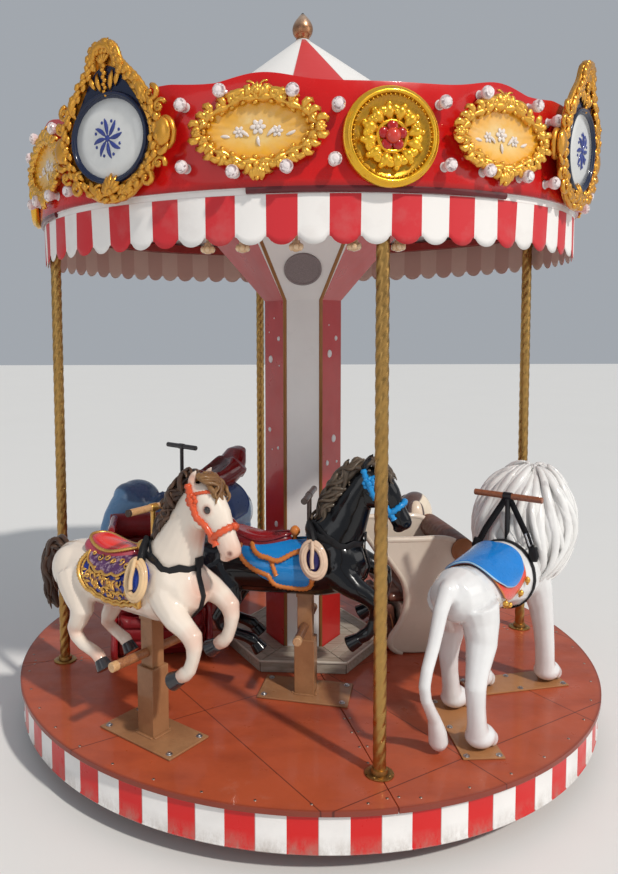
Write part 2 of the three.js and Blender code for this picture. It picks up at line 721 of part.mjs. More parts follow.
function elephant() {
  const blanket = toSolid(limb([[-330, 0, 455, 178], [-180, 0, 452, 198], [0, 0, 452, 194]], 10))
    .intersect(toSolid(box(-400, 200, -250, 250, 430, 800)));
  const seat = toSolid(limb([[-410, 0, 765, 40], [-370, 0, 720, 90], [-260, 0, 640, 100], [-150, 0, 640, 95],
    [-70, 0, 660, 50]], 8));
  const saddle = blanket.add(seat).subtract(elephantSolid(SEAT_GAP));
  const handle = join([
    toSolid(crossbar(HANDLE_RADIUS, 220, 8, 30, 870)),
    toSolid(upright(10, 500, 870, 8, 30, 0)),
  ]).subtract(elephantSolid(SEAT_GAP));
  placeRider(addMesh('elephant', toGeometry(elephantSolid()), materials.lightBlue), ELEPHANT);
  placeRider(addMesh('elephant_saddle', toGeometry(saddle), materials.maroon), ELEPHANT);
  placeRider(addMesh('elephant_handle', toGeometry(handle), materials.black), ELEPHANT);
}

// Benches: x points the way the sitter faces
const BENCH_WALL = 30;
const BENCH_SEAT_HEIGHT = 230;
const CUSHION_THICKNESS = 35;
const ROLL_RADIUS = 60;

function benchSide(height) {
  const backTop = height - 2 * ROLL_RADIUS + 10;
  return [[-150, SEAT_GAP], [100, SEAT_GAP], [150, 120], [215, height - 25], [190, height], [-125, height],
    [-230, backTop]];
}

function benchCavity(height, inset) {
  const back = -185 + inset;
  const floor = BENCH_SEAT_HEIGHT + inset;
  return [[back + 40, floor], [400, floor], [400, height + 100], [back - 20, height + 100], [back, height]];
}

function bench(name, rider, width, height, depth, shellPaint, padPaint) {
  const acrossWidth = (points, across) => (
    toSolid(plate(polygon(points.map(([x, z]) => [x * depth, z])), across, -across / 2))
  );
  const inner = width - 2 * BENCH_WALL;
  const roll = (grow) => toSolid(crossbar(ROLL_RADIUS + grow, width + 20 + 2 * grow, 14, -185 * depth, height - 55));
  const shell = acrossWidth(benchSide(height), width)
    .subtract(acrossWidth(benchCavity(height, 0), inner))
    .subtract(roll(SEAT_GAP));
  const padBlock = [[-260, BENCH_SEAT_HEIGHT], [120, BENCH_SEAT_HEIGHT], [120, height - 130], [-260, height - 130]];
  const pad = acrossWidth(padBlock, inner - 2 * SEAT_GAP)
    .intersect(acrossWidth(benchCavity(height, SEAT_GAP), inner - 2 * SEAT_GAP))
    .subtract(acrossWidth(benchCavity(height, CUSHION_THICKNESS), inner + 2))
    .subtract(roll(SEAT_GAP));
  placeRider(addMesh(`${name}_shell`, toGeometry(shell), shellPaint), rider);
  placeRider(addMesh(`${name}_cushion`, toGeometry(pad), padPaint), rider);
  placeRider(addMesh(`${name}_roll`, toGeometry(roll(0)), padPaint), rider);
}

// Puppy: a low seated figure beside the cream bench
function puppy() {
  const solid = join([
    ellipsoid(0, 0, 190, 90, 95, 190, 10, 8),
    ellipsoid(15, 0, 500, 95, 90, 130, 10, 8),
    upright(65, 250, 450, 8),
    ellipsoid(75, 0, 460, 55, 62, 55, 8, 6),
    ellipsoid(0, -88, 480, 32, 20, 85, 8, 6),
    ellipsoid(0, 88, 480, 32, 20, 85, 8, 6),
  ].map(toSolid)).intersect(toSolid(box(-300, 300, -300, 300, SEAT_GAP, 900)));
  placeRider(addMesh('puppy', toGeometry(solid), materials.cream), PUPPY);
}

groundFrame();
slewBearing();
turntableFrame();
skirt();
plinth();
columnShell('column', COLUMN_RADIUS, COLUMN_RADIUS, SEAT_GAP, KINK_HEIGHT, materials.white);
columnShell('column_flare', COLUMN_RADIUS, FLARE_RADIUS, KINK_HEIGHT + SEAT_GAP, RIM_BOTTOM - SEAT_GAP, materials.white);
speaker();
roofFrame();
tent();
finial();
valance();
for (let i = 0; i < QUARTERS; i += 1) {
  const angle = POLE_ANGLE + 90 * i;
  deckPanel(`deck_panel_${i + 1}`, angle);
  pole(`pole_${i + 1}`, angle);
  medallion(`medallion_${i + 1}`, angle);
  shield(`shield_${i + 1}`, angle + 45);
  roundingBoard(`rounding_board_${i + 1}`, angle);
}
horse('cream_horse', CREAM_HORSE, materials.cream);
horse('black_horse', BLACK_HORSE, materials.black);
lion();
elephant();
bench('cream_bench', CREAM_BENCH, 460, 535, 1, materials.cream, materials.brown);
bench('red_bench', RED_BENCH, 460, 620, 0.78, materials.maroon, materials.maroon);
puppy();

export default carousel;
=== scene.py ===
"""Children's fairground carousel: riders, deck, column, poles and roof, built round the solid frame."""

import json
import math
import random

import bmesh
import bpy
from bpy.props import FloatProperty, FloatVectorProperty, IntProperty, PointerProperty
from mathutils import Matrix, Vector

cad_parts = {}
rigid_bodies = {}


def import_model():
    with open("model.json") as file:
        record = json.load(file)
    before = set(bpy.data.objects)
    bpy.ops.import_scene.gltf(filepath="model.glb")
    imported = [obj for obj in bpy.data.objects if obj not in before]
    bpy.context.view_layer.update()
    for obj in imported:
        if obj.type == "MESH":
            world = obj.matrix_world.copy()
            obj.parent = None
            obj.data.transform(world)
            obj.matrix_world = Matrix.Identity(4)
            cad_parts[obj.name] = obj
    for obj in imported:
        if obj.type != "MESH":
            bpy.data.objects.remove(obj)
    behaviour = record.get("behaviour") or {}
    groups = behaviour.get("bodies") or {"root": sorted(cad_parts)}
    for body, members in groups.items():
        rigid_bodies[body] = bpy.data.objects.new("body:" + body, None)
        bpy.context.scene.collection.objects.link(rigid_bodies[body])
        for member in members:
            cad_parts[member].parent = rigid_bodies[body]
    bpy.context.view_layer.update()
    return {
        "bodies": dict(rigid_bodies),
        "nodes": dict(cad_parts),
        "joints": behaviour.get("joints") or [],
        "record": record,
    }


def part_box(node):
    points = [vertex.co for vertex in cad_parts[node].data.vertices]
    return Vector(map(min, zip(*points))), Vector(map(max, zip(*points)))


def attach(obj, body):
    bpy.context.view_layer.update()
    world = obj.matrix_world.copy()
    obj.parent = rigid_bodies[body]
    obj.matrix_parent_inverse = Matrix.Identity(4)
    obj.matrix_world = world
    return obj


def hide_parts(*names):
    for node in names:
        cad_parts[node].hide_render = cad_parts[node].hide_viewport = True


bl_info = {
    "name": "Fairground carousel",
    "version": (1, 0, 0),
    "blender": (4, 5, 0),
    "location": "View3D > Sidebar > Carousel",
    "description": "Builds the painted and gilded surface of a children's carousel",
    "category": "Object",
}

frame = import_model()

DECK_TOP = 0.24
DECK_RADIUS = 1.3
POLE_ANGLE = 13.4
POLE_CIRCLE = 1.11
QUARTERS = 4
VALANCE_RADIUS = 1.152
BOARD_FACE = 1.1655
RIM_BOTTOM = 1.93
KINK_HEIGHT = 1.626
COLUMN_RADIUS = 0.175
FLARE_RADIUS = 0.437
TENT_APEX = 2.797
TENT_RADIUS = 1.12
UP = Vector((0, 0, 1))

# Shares of the faces that thin() keeps, and how the shields stand on the boards
KEEP_SKIN = 0.32
KEEP_RELIEF = 0.45
KEEP_LOCKS = 0.6
KEEP_PAD = 0.3
SHIELD_TURN = 44
SHIELD_LEAN = math.radians(4)
SHIELD_HEIGHT = 0.935
SHIELD_FACE_WIDTH = 0.955
CARTOUCHE_SCALE = (0.97, 1, 0.94, 1)

# Riders: place on the deck in metres, and heading in degrees
CREAM_HORSE = (-0.557, -0.861, 0.0, -35.4)
BLACK_HORSE = (0.011, -0.498, -0.03, -10)
LION = (0.76, -0.544, 0.0, 54.4)
ELEPHANT = (-0.63, 0.5, 0.0, -128)
CREAM_BENCH = (0.51, 0.14, 0.0, 190)
RED_BENCH = (-0.655, -0.13, 0.0, -80)
PUPPY = (0.585, 0.53, 0.0, 10)


# Helpers: selection and edit mode
aside = []


def deselect():
    if bpy.context.object and bpy.context.object.mode != "OBJECT":
        bpy.ops.object.mode_set(mode="OBJECT")
    bpy.ops.object.select_all(action="DESELECT")


def pick(obj):
    deselect()
    obj.select_set(True)
    bpy.context.view_layer.objects.active = obj


def begin(name):
    """An empty mesh at the origin, left in edit mode."""
    deselect()
    bpy.ops.mesh.primitive_plane_add(size=1)
    obj = bpy.context.object
    obj.name = name
    obj.data.name = name
    bpy.ops.object.mode_set(mode="EDIT")
    bpy.ops.mesh.delete(type="VERT")
    return obj


def edit_mesh():
    return bmesh.from_edit_mesh(bpy.context.object.data)


def refresh():
    bmesh.update_edit_mesh(bpy.context.object.data)


def spill(limit=700):
    """Sets a growing mesh aside once it is large, so that each step stays quick; end() joins the parts."""
    if len(edit_mesh().verts) > limit:
        bpy.ops.object.mode_set(mode="OBJECT")
        aside.append(bpy.context.object)
        begin("aside")


def end(obj, smooth=True, angle=40):
    """Leaves edit mode with the faces pointing out and the edges softened."""
    if aside:
        bpy.ops.object.mode_set(mode="OBJECT")
        join(obj, *aside[1:], bpy.context.object)
        aside.clear()
        bpy.ops.object.mode_set(mode="EDIT")
    bpy.ops.mesh.select_all(action="SELECT")
    bpy.ops.mesh.normals_make_consistent(inside=False)
    bpy.ops.object.mode_set(mode="OBJECT")
    if smooth:
        bpy.ops.object.shade_smooth_by_angle(angle=math.radians(angle))
    return obj


def modify(obj, kind, **settings):
    """Adds a modifier, sets it and applies it."""
    pick(obj)
    bpy.ops.object.modifier_add(type=kind)
    made = obj.modifiers[-1]
    for key, value in settings.items():
        setattr(made, key, value)
    bpy.ops.object.modifier_apply(modifier=made.name)
    return obj


def round_edges(obj, width, segments=2, angle=35):
    modify(obj, "BEVEL", width=width, segments=segments, limit_method="ANGLE",
           angle_limit=math.radians(angle))
    bpy.ops.object.shade_smooth_by_angle(angle=math.radians(40))
    return obj


def subdivide(obj, levels=1):
    modify(obj, "SUBSURF", levels=levels, render_levels=levels)
    bpy.ops.object.shade_smooth()
    return obj


def thin(obj, ratio):
    """Leaves out the faces that a smooth stretch can do without."""
    return modify(obj, "DECIMATE", ratio=ratio)


def melt(obj, voxel, rounds=6, factor=0.5):
    """Grows overlapping forms into one moulded skin."""
    modify(obj, "REMESH", mode="VOXEL", voxel_size=voxel, use_smooth_shade=True)
    modify(obj, "SMOOTH", factor=factor, iterations=rounds)
    bpy.ops.object.shade_smooth()
    return thin(obj, KEEP_SKIN)


def join(first, *others):
    pick(first)
    for other in others:
        other.select_set(True)
    bpy.ops.object.join()
    return first


def copy_of(obj, name):
    pick(obj)
    bpy.ops.object.duplicate(linked=False)
    made = bpy.context.object
    made.name = name
    made.data.name = name
    return made


def apply_place(obj):
    pick(obj)
    bpy.ops.object.transform_apply(location=True, rotation=True, scale=True)


def discard(*sources):
    """Removes drawings that only served to be copied."""
    for source in sources:
        bpy.data.objects.remove(source)


def place(obj, x, y, z, heading):
    """Turns and moves a piece, then applies its place to its mesh."""
    pick(obj)
    turn = Matrix.Rotation(math.radians(heading), 4, "Z")
    obj.matrix_world = Matrix.Translation((x, y, z)) @ turn @ obj.matrix_world
    bpy.ops.object.transform_apply(location=True, rotation=True, scale=True)
    return obj


def mount_piece(obj, material, body="rotor", replaces=()):
    """Gives a piece its finish and says what it rides on and stands for."""
    if material is not None:
        obj.data.materials.clear()
        obj.data.materials.append(material)
    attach(obj, body)
    if replaces:
        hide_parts(*replaces)
    return obj


# Helpers: shapes, added in edit mode
def ring_matrix(centre, along, lateral, radius, flat):
    """Places a unit circle square to a path; flat widens or narrows it sideways."""
    t = along.normalized()
    side = lateral - t * lateral.dot(t)
    side.normalize()
    up = t.cross(side)
    turn = Matrix((side, up, t)).transposed().to_4x4()
    return Matrix.Translation(centre) @ turn @ Matrix.Diagonal((radius * flat, radius, 1, 1))


def limb(stations, sides=10, lateral=(0, 1, 0)):
    """A closed form drawn out through stations of x, y, z, radius and, if given, width against height."""
    centres = [Vector(s[:3]) for s in stations]
    lateral = Vector(lateral)
    count = len(stations)
    turn = 2 * math.pi / sides
    unit = [Vector((math.cos(turn * i), math.sin(turn * i), 0)) for i in range(sides)]
    spill()
    bpy.ops.mesh.select_all(action="DESELECT")
    bpy.ops.mesh.primitive_circle_add(vertices=sides, radius=1, fill_type="NGON")
    mesh = edit_mesh()
    ring = walk_ring(mesh)
    spots = []
    for i, station in enumerate(stations):
        along = centres[min(i + 1, count - 1)] - centres[max(i - 1, 0)]
        flat = station[4] if len(station) > 4 else 1.0
        matrix = ring_matrix(centres[i], along, lateral, station[3], flat)
        if i:
            bpy.ops.mesh.extrude_region_move()
            fresh = [v for v in mesh.verts if v.select]
            ring = [min(fresh, key=lambda v: (v.co - spot).length_squared) for spot in spots]
        spots = [matrix @ spot for spot in unit]
        for vert, spot in zip(ring, spots):
            vert.co = spot
        refresh()


def ball(x, y, z, rx, ry=None, rz=None, around=16, down=10, turn=(0, 0, 0)):
    ry = rx if ry is None else ry
    rz = rx if rz is None else rz
    bpy.ops.mesh.primitive_uv_sphere_add(
        segments=around, ring_count=down, radius=1, location=(x, y, z), rotation=turn, scale=(rx, ry, rz)
    )


def rod(a, b, radius, sides=12, radius_end=None):
    """A round bar, or a cone, from one point to another."""
    a, b = Vector(a), Vector(b)
    turn = (b - a).to_track_quat("Z", "Y").to_euler()
    bpy.ops.mesh.primitive_cone_add(
        vertices=sides,
        radius1=radius,
        radius2=radius if radius_end is None else radius_end,
        depth=(b - a).length,
        location=(a + b) / 2,
        rotation=turn,
    )


def block(x0, x1, y0, y1, z0, z1, turn=(0, 0, 0)):
    bpy.ops.mesh.primitive_cube_add(
        size=1,
        location=((x0 + x1) / 2, (y0 + y1) / 2, (z0 + z1) / 2),
        rotation=turn,
        scale=(x1 - x0, y1 - y0, z1 - z0),
    )


def hoop(centre, major, minor, turn=(0, 0, 0), around=32, section=8):
    bpy.ops.mesh.primitive_torus_add(
        location=centre,
        rotation=turn,
        major_radius=major,
        minor_radius=minor,
        major_segments=around,
        minor_segments=section,
    )


def walk_ring(mesh):
    """The chosen ring of vertices, in order round it."""
    verts = [v for v in mesh.verts if v.select]
    ring = [verts[0]]
    behind = None
    while len(ring) < len(verts):
        here = ring[-1]
        ahead = next(e.other_vert(here) for e in here.link_edges if e.other_vert(here) != behind)
        behind = here
        ring.append(ahead)
    return ring


def chain(points, closed=False):
    """A line of edges through points."""
    bpy.ops.mesh.select_all(action="DESELECT")
    bpy.ops.mesh.primitive_circle_add(vertices=len(points), radius=1)
    mesh = edit_mesh()
    verts = walk_ring(mesh)
    for vert, point in zip(verts, points):
        vert.co = Vector(point)
    if not closed:
        mesh.edges.remove(next(e for e in verts[0].link_edges if e.other_vert(verts[0]) == verts[-1]))
    refresh()


def lathe(points, steps=48, centre=(0, 0, 0), axis=(0, 0, 1)):
    """Spins a profile of radius and height about an upright axis."""
    x, y, base = centre
    chain([(x + r, y, base + z) for r, z in points])
    bpy.ops.mesh.spin(steps=steps, angle=2 * math.pi, center=centre, axis=axis)
    bpy.ops.mesh.select_all(action="SELECT")
    bpy.ops.mesh.remove_doubles(threshold=0.00001)


def raise_outline(points, move):
    """A closed outline filled with one face and drawn out by a move."""
    chain(points, closed=True)
    bpy.ops.mesh.edge_face_add()
    bpy.ops.mesh.extrude_region_move(TRANSFORM_OT_translate={"value": move})


def plate(points, depth, front):
    """A flat outline of x and z, its face at y = front and its back behind that by depth."""
    raise_outline([(x, front, z) for x, z in points], (0, depth, 0))


def circle_spots(centre, ahead, side, count):
    """Spots round a circle that two arms span; the last falls on the first."""
    turns = [k / count * 2 * math.pi for k in range(count + 1)]
    return [centre + ahead * math.cos(turn) + side * math.sin(turn) for turn in turns]


def polar(radius, degrees):
    turn = math.radians(degrees)
    return radius * math.sin(turn), -radius * math.cos(turn)


# Helpers: materials
class Finish:
    """Builds one node material, step by step."""

    def __init__(self, name, colour, rough=0.4, metal=0.0, coat=0.0, coat_rough=0.08, **sockets):
        self.material = bpy.data.materials.new(name)
        self.material.use_nodes = True
        self.nodes = self.material.node_tree.nodes
        self.links = self.material.node_tree.links
        self.shader = self.nodes["Principled BSDF"]
        self.shader.inputs["Base Color"].default_value = (*colour, 1)
        self.shader.inputs["Roughness"].default_value = rough
        self.shader.inputs["Metallic"].default_value = metal
        self.shader.inputs["Coat Weight"].default_value = coat
        self.shader.inputs["Coat Roughness"].default_value = coat_rough
        for key, value in sockets.items():
            self.shader.inputs[key.replace("_", " ")].default_value = value
        self.place = self.nodes.new("ShaderNodeTexCoord").outputs["Object"]
        self.colour = None
        self.base = colour
        self.height = None

    def node(self, kind, inputs=None, **settings):
        made = self.nodes.new(kind)
        for key, value in settings.items():
            setattr(made, key, value)
        for key, value in (inputs or {}).items():
            if hasattr(value, "is_output"):
                self.links.new(value, made.inputs[key])
            else:
                made.inputs[key].default_value = value
        return made

    def math(self, operation, a, b=0.0):
        return self.node("ShaderNodeMath", {0: a, 1: b}, operation=operation).outputs[0]

    def noise(self, scale, detail=4.0, rough=0.6, stretch=(1, 1, 1), source=None, distortion=0.0):
        spot = self.node("ShaderNodeMapping", {"Vector": source or self.place, "Scale": stretch}).outputs[0]
        return self.node(
            "ShaderNodeTexNoise",
            {"Vector": spot, "Scale": scale, "Detail": detail, "Roughness": rough, "Distortion": distortion},
        ).outputs["Fac"]

    def ramp(self, value, low, high, to_min=0.0, to_max=1.0):
        return self.node(
            "ShaderNodeMapRange",
            {"Value": value, "From Min": low, "From Max": high, "To Min": to_min, "To Max": to_max},
            clamp=True,
        ).outputs[0]

    def attribute(self, name):
        return self.node("ShaderNodeAttribute", attribute_name=name).outputs["Fac"]

    def blend(self, share, colour, mode="MIX"):
        """Lays a colour over what is there, by a share from 0 to 1."""
        mix = self.node("ShaderNodeMix", data_type="RGBA", blend_type=mode)
        if hasattr(share, "is_output"):
            self.links.new(share, mix.inputs[0])
        else:
            mix.inputs[0].default_value = share
        if self.colour is None:
            mix.inputs[6].default_value = (*self.base, 1)
        else:
            self.links.new(self.colour, mix.inputs[6])
        if hasattr(colour, "is_output"):
            self.links.new(colour, mix.inputs[7])
        else:
            mix.inputs[7].default_value = (*colour, 1)
        self.colour = mix.outputs[2]
        self.links.new(self.colour, self.shader.inputs["Base Color"])
        return self

    def roughen(self, value):
        self.links.new(value, self.shader.inputs["Roughness"])
        return self

    def bump(self, value, strength=0.3, distance=0.002):
        inputs = {"Height": value, "Strength": strength, "Distance": distance}
        if self.height is not None:
            inputs["Normal"] = self.height
        self.height = self.node("ShaderNodeBump", inputs).outputs[0]
        self.links.new(self.height, self.shader.inputs["Normal"])
        return self

    def axis(self, which):
        return self.node("ShaderNodeSeparateXYZ", {0: self.place}).outputs[which]

    def pointiness(self):
        """How far the surface stands out: over 0.5 on a crest, below it in a hollow."""
        return self.node("ShaderNodeNewGeometry").outputs["Pointiness"]

    def saw(self, turn, count, phase):
        """Climbs from 0 to 1 count times a turn."""
        return self.math("FRACT", self.math("ADD", self.math("MULTIPLY", turn, count), phase))

    def turn_angle(self):
        """Angle round the carousel's axis, 0 at the front, in turns."""
        split = self.node("ShaderNodeSeparateXYZ", {0: self.place}).outputs
        angle = self.math("ARCTAN2", split[0], self.math("MULTIPLY", split[1], -1.0))
        return self.math("DIVIDE", angle, 2 * math.pi)

    def radius(self):
        split = self.node("ShaderNodeSeparateXYZ", {0: self.place}).outputs
        flat = self.node("ShaderNodeCombineXYZ", {0: split[0], 1: split[1]}).outputs[0]
        return self.node("ShaderNodeVectorMath", {0: flat}, operation="LENGTH").outputs["Value"]


def painted(name, colour, rough=0.25, coat=0.6, wear=None, dirt=0.12, grain=0.15, metal=0.0, scale=14.0,
            **sockets):
    """Gloss paint with a soft mottle, rubbed spots and a slight orange peel."""
    finish = Finish(name, colour, rough, metal, coat, **sockets)
    finish.shader.inputs["Specular IOR Level"].default_value = 0.22
    mottle = finish.noise(scale, 5.0)
    dark = tuple(c * 0.62 for c in colour)
    finish.blend(finish.ramp(mottle, 0.42, 0.75, 0.0, dirt * 3), dark)
    if wear:
        rub = finish.noise(scale * 3.1, 8.0, 0.75)
        finish.blend(finish.ramp(rub, 0.63, 0.72, 0.0, 0.8), wear)
    finish.roughen(finish.ramp(finish.noise(scale * 2.3, 6.0), 0.3, 0.75, rough * 0.8, min(1.0, rough * 1.7)))
    finish.bump(finish.noise(scale * 16, 2.0), grain, 0.0006)
    return finish


def gilded(name, colour=(0.78, 0.42, 0.07), deep=(0.16, 0.05, 0.01), rough=0.28):
    """Gold paint over relief, bright on the crests, with painted shade of deep brown in its hollows."""
    finish = Finish(name, colour, rough, 0.75, 0.35)
    # deep is the painted shade colour laid into the hollows of the relief
    pit = finish.pointiness()
    finish.blend(finish.ramp(pit, 0.5, 0.42), deep)
    finish.blend(finish.ramp(finish.noise(9.0, 5.0), 0.5, 0.8, 0.0, 0.5), (0.50, 0.21, 0.03))
    finish.roughen(finish.ramp(finish.noise(30.0, 4.0), 0.3, 0.7, rough * 0.7, rough * 1.8))
    finish.bump(finish.noise(60.0, 3.0), 0.25, 0.001)
    return finish.material


# The settings a user would change
class CarouselSizes(bpy.types.PropertyGroup):
    """Sizes of the dressing."""

    bulb_radius: FloatProperty(
        name="Bulb radius", description="Radius of a lamp's glass", default=0.0215, unit="LENGTH",
        subtype="DISTANCE"
    )
    pole_radius: FloatProperty(
        name="Pole radius", description="Outer radius of the twisted poles", default=0.023, unit="LENGTH",
        subtype="DISTANCE"
    )
    pole_pitch: FloatProperty(
        name="Pole pitch", description="Height of one full turn of the twist", default=0.19, unit="LENGTH",
        subtype="DISTANCE"
    )
    tongue_ripple: FloatProperty(
        name="Tongue ripple", description="How far the valance waves in and out", default=0.006,
        unit="LENGTH", subtype="DISTANCE"
    )
    gore_sag: FloatProperty(
        name="Gore sag", description="How far the tent sags between its seams", default=0.012, unit="LENGTH",
        subtype="DISTANCE"
    )
    skirt_stripes: IntProperty(name="Skirt stripes", description="Red and white stripes round the skirt",
                               default=80, min=8)
    tongues: IntProperty(name="Valance tongues", description="Round tongues of the valance", default=72,
                         min=8)


class CarouselColours(bpy.types.PropertyGroup):
    """Paints of the ride."""

    red: FloatVectorProperty(
        name="Red", description="Paint of the boards and stripes", default=(0.60, 0.007, 0.007),
        subtype="COLOR"
    )
    white: FloatVectorProperty(
        name="White", description="Paint of the column and stripes", default=(0.82, 0.80, 0.78),
        subtype="COLOR"
    )
    deck: FloatVectorProperty(
        name="Deck", description="Paint of the deck", default=(0.45, 0.085, 0.032), subtype="COLOR"
    )
    gold: FloatVectorProperty(
        name="Gold", description="Paint of the mouldings", default=(0.80, 0.42, 0.055), subtype="COLOR"
    )
    coat_cream: FloatVectorProperty(
        name="Cream coat", description="Paint of the cream horse and bench", default=(0.83, 0.72, 0.61),
        subtype="COLOR"
    )
    coat_blue: FloatVectorProperty(
        name="Blue coat", description="Paint of the elephant", default=(0.14, 0.29, 0.50), subtype="COLOR"
    )


class Maker(bpy.types.Operator):
    """Shared parts of the carousel's operators."""

    bl_options = {"REGISTER", "UNDO"}

    @property
    def sizes(self):
        return bpy.context.scene.carousel_sizes

    @property
    def colours(self):
        return bpy.context.scene.carousel_colours


class CAROUSEL_OT_stage(Maker):
    """Pale floor, soft studio lights and the camera at the photographed angle"""

    bl_idname = "carousel.stage"
    bl_label = "Stage"

    def execute(self, context):
        begin("floor")
        bpy.ops.mesh.primitive_grid_add(x_subdivisions=2, y_subdivisions=2, size=60)
        floor = end(bpy.context.object, smooth=False)
        pale = Finish("pale_floor", (0.80, 0.79, 0.77), 0.6)
        pale.blend(pale.ramp(pale.noise(0.8, 3.0), 0.3, 0.8, 0.0, 0.15), (0.72, 0.71, 0.69))
        floor.data.materials.append(pale.material)

        deselect()
        world = bpy.data.worlds.new("studio")
        bpy.context.scene.world = world
        world.use_nodes = True
        sky = world.node_tree.nodes["Background"]
        sky.inputs["Color"].default_value = (0.86, 0.92, 1.0, 1)
        sky.inputs["Strength"].default_value = 0.42
        bpy.context.scene.view_settings.view_transform = "Standard"
        self.lamp("SUN", "key", (3.4, -3.6, 6.2), 2.3, (1.0, 0.96, 0.90), angle=math.radians(3))
        self.lamp("AREA", "soft_front", (-3.2, -6.0, 3.6), 38, (1, 1, 1), size=4.0)
        self.lamp("AREA", "soft_right", (5.0, -2.0, 3.2), 30, (1.0, 0.97, 0.93), size=3.0)

        bpy.ops.object.camera_add(location=(0, -3.648, DECK_TOP + 1.523))
        camera = bpy.context.object
        camera.name = "view"
        yaw, pitch, roll = -0.0740, 0.0758, -0.0062
        forward = Vector((math.sin(yaw) * math.cos(pitch), math.cos(yaw) * math.cos(pitch), -math.sin(pitch)))
        right = Vector((math.cos(yaw), -math.sin(yaw), 0))
        above = right.cross(forward)
        turned_right = right * math.cos(roll) + above * math.sin(roll)
        turned_up = above * math.cos(roll) - right * math.sin(roll)
        basis = Matrix((turned_right, turned_up, -forward)).transposed()
        camera.rotation_euler = basis.to_euler()
        camera.data.sensor_width = 36
        camera.data.lens = 32.24
        camera.data.shift_x = 0.0732
        camera.data.shift_y = -0.0616
        camera.data.clip_end = 200
        bpy.context.scene.camera = camera
        return {"FINISHED"}

    def lamp(self, kind, name, spot, power, colour, size=None, angle=None):
        bpy.ops.object.light_add(type=kind, location=spot)
        lamp = bpy.context.object
        lamp.name = name
        lamp.data.energy = power
        lamp.data.color = colour
        if size:
            lamp.data.shape = "DISK"
            lamp.data.size = size
        if angle:
            lamp.data.angle = angle
        lamp.rotation_euler = (Vector((0, 0, 1.3)) - Vector(spot)).to_track_quat("-Z", "Y").to_euler()


class CAROUSEL_OT_underframe(Maker):
    """Black paint and road dust on the frames below the deck, machined steel on the bearing"""

    bl_idname = "carousel.underframe"
    bl_label = "Under-deck frames"

    def execute(self, context):
        black = painted("frame_black", (0.022, 0.022, 0.024), 0.4, 0.2, wear=(0.12, 0.07, 0.04))
        black.blend(black.ramp(black.axis(2), 0.09, 0.0, 0.0, 0.5), (0.30, 0.26, 0.21))
        for name in ("ground_frame", "turntable_frame"):
            self.dress(name, black.material)
        steel = Finish("bearing_steel", (0.45, 0.45, 0.46), 0.3, 1.0)
        steel.bump(steel.noise(20.0, 3.0, stretch=(1, 1, 60)), 0.2, 0.0005)
        steel.blend(steel.ramp(steel.noise(18.0), 0.5, 0.8, 0.0, 0.6), (0.20, 0.15, 0.10))
        self.dress("slew_bearing", steel.material)
        red = painted("roof_red", (0.28, 0.025, 0.02), 0.45, 0.2)
        self.dress("roof_frame", red.material)
        return {"FINISHED"}

    def dress(self, name, material):
        node = frame["nodes"][name]
        node.data.materials.clear()
        node.data.materials.append(material)


class CAROUSEL_OT_deck(Maker):
    """Four red-brown deck quarters with rounded rims, painted seam lines and screws"""

    bl_idname = "carousel.deck"
    bl_label = "Deck"

    def execute(self, context):
        finish = painted("deck_paint", tuple(self.colours.deck), 0.32, 0.25, dirt=0.16, grain=0.3, scale=5.0)
        scuff = finish.noise(2.2, 9.0, 0.72)
        finish.blend(finish.ramp(scuff, 0.52, 0.68, 0.0, 0.55), (0.42, 0.10, 0.06))
        dust = finish.noise(7.0, 10.0, 0.8)
        finish.blend(finish.ramp(dust, 0.60, 0.80, 0.0, 0.30), (0.50, 0.33, 0.26))
        finish.blend(finish.ramp(finish.radius(), 1.288, 1.30, 0.0, 0.7), (0.13, 0.022, 0.018))
        grain = finish.noise(10.0, 4.0, stretch=(1, 14, 1))
        finish.bump(grain, 0.12, 0.0008)
        finish.blend(finish.ramp(finish.noise(1.6, 5.0, stretch=(1, 3, 1)), 0.48, 0.70, 0.0, 0.5),
                     (0.20, 0.030, 0.018))
        x, y = finish.axis(0), finish.axis(1)
        for turn, gap, shift in ((0.62, 0.61, 0.10), (2.19, 0.78, 0.33)):
            run = finish.math("ADD", finish.math("MULTIPLY", x, math.cos(turn)),
                              finish.math("MULTIPLY", y, math.sin(turn)))
            saw = finish.math("PINGPONG", finish.math("ADD", run, shift + 10 * gap), gap / 2)
            finish.blend(finish.ramp(saw, 0.0012, 0.0030, 0.75, 0.0), (0.05, 0.012, 0.010))
        screw = self.screw_finish()
        for i in range(QUARTERS):
            angle = POLE_ANGLE + 90 * i
            name = f"deck_quarter_{i + 1}"
            panel = begin(name)
            seam = 0.0011
            steps = 64
            edge = [polar(DECK_RADIUS - 0.0005,
                          angle + 0.06 + (90 - 0.12) * k / steps) for k in range(steps + 1)]
            middle = polar(seam * 1.6, angle + 45)
            raise_outline([(x, y, DECK_TOP - 0.0202) for x, y in [middle, *edge]], (0, 0, 0.020))
            end(panel)
            round_edges(panel, 0.0022)
            mount_piece(panel, finish.material, replaces=[f"deck_panel_{i + 1}"])
            screws = begin(f"deck_screws_{i + 1}")
            for side in (0.9, 89.1):
                for k in range(9):
                    x, y = polar(0.42 + 0.103 * k, angle + side)
                    self.screw(x, y)
            for k in range(11):
                x, y = polar(1.262, angle + 4 + 8.2 * k)
                self.screw(x, y)
            end(screws)
            mount_piece(screws, screw)
        return {"FINISHED"}

    def screw(self, x, y):
        bpy.ops.mesh.primitive_uv_sphere_add(
            segments=10, ring_count=6, radius=1, location=(x, y, DECK_TOP - 0.0002),
            scale=(0.0055, 0.0055, 0.0022)
        )

    def screw_finish(self):
        steel = Finish("screw_steel", (0.35, 0.30, 0.26), 0.35, 1.0)
        steel.blend(steel.ramp(steel.noise(90.0), 0.45, 0.7, 0.0, 0.6), (0.16, 0.06, 0.03))
        return steel.material


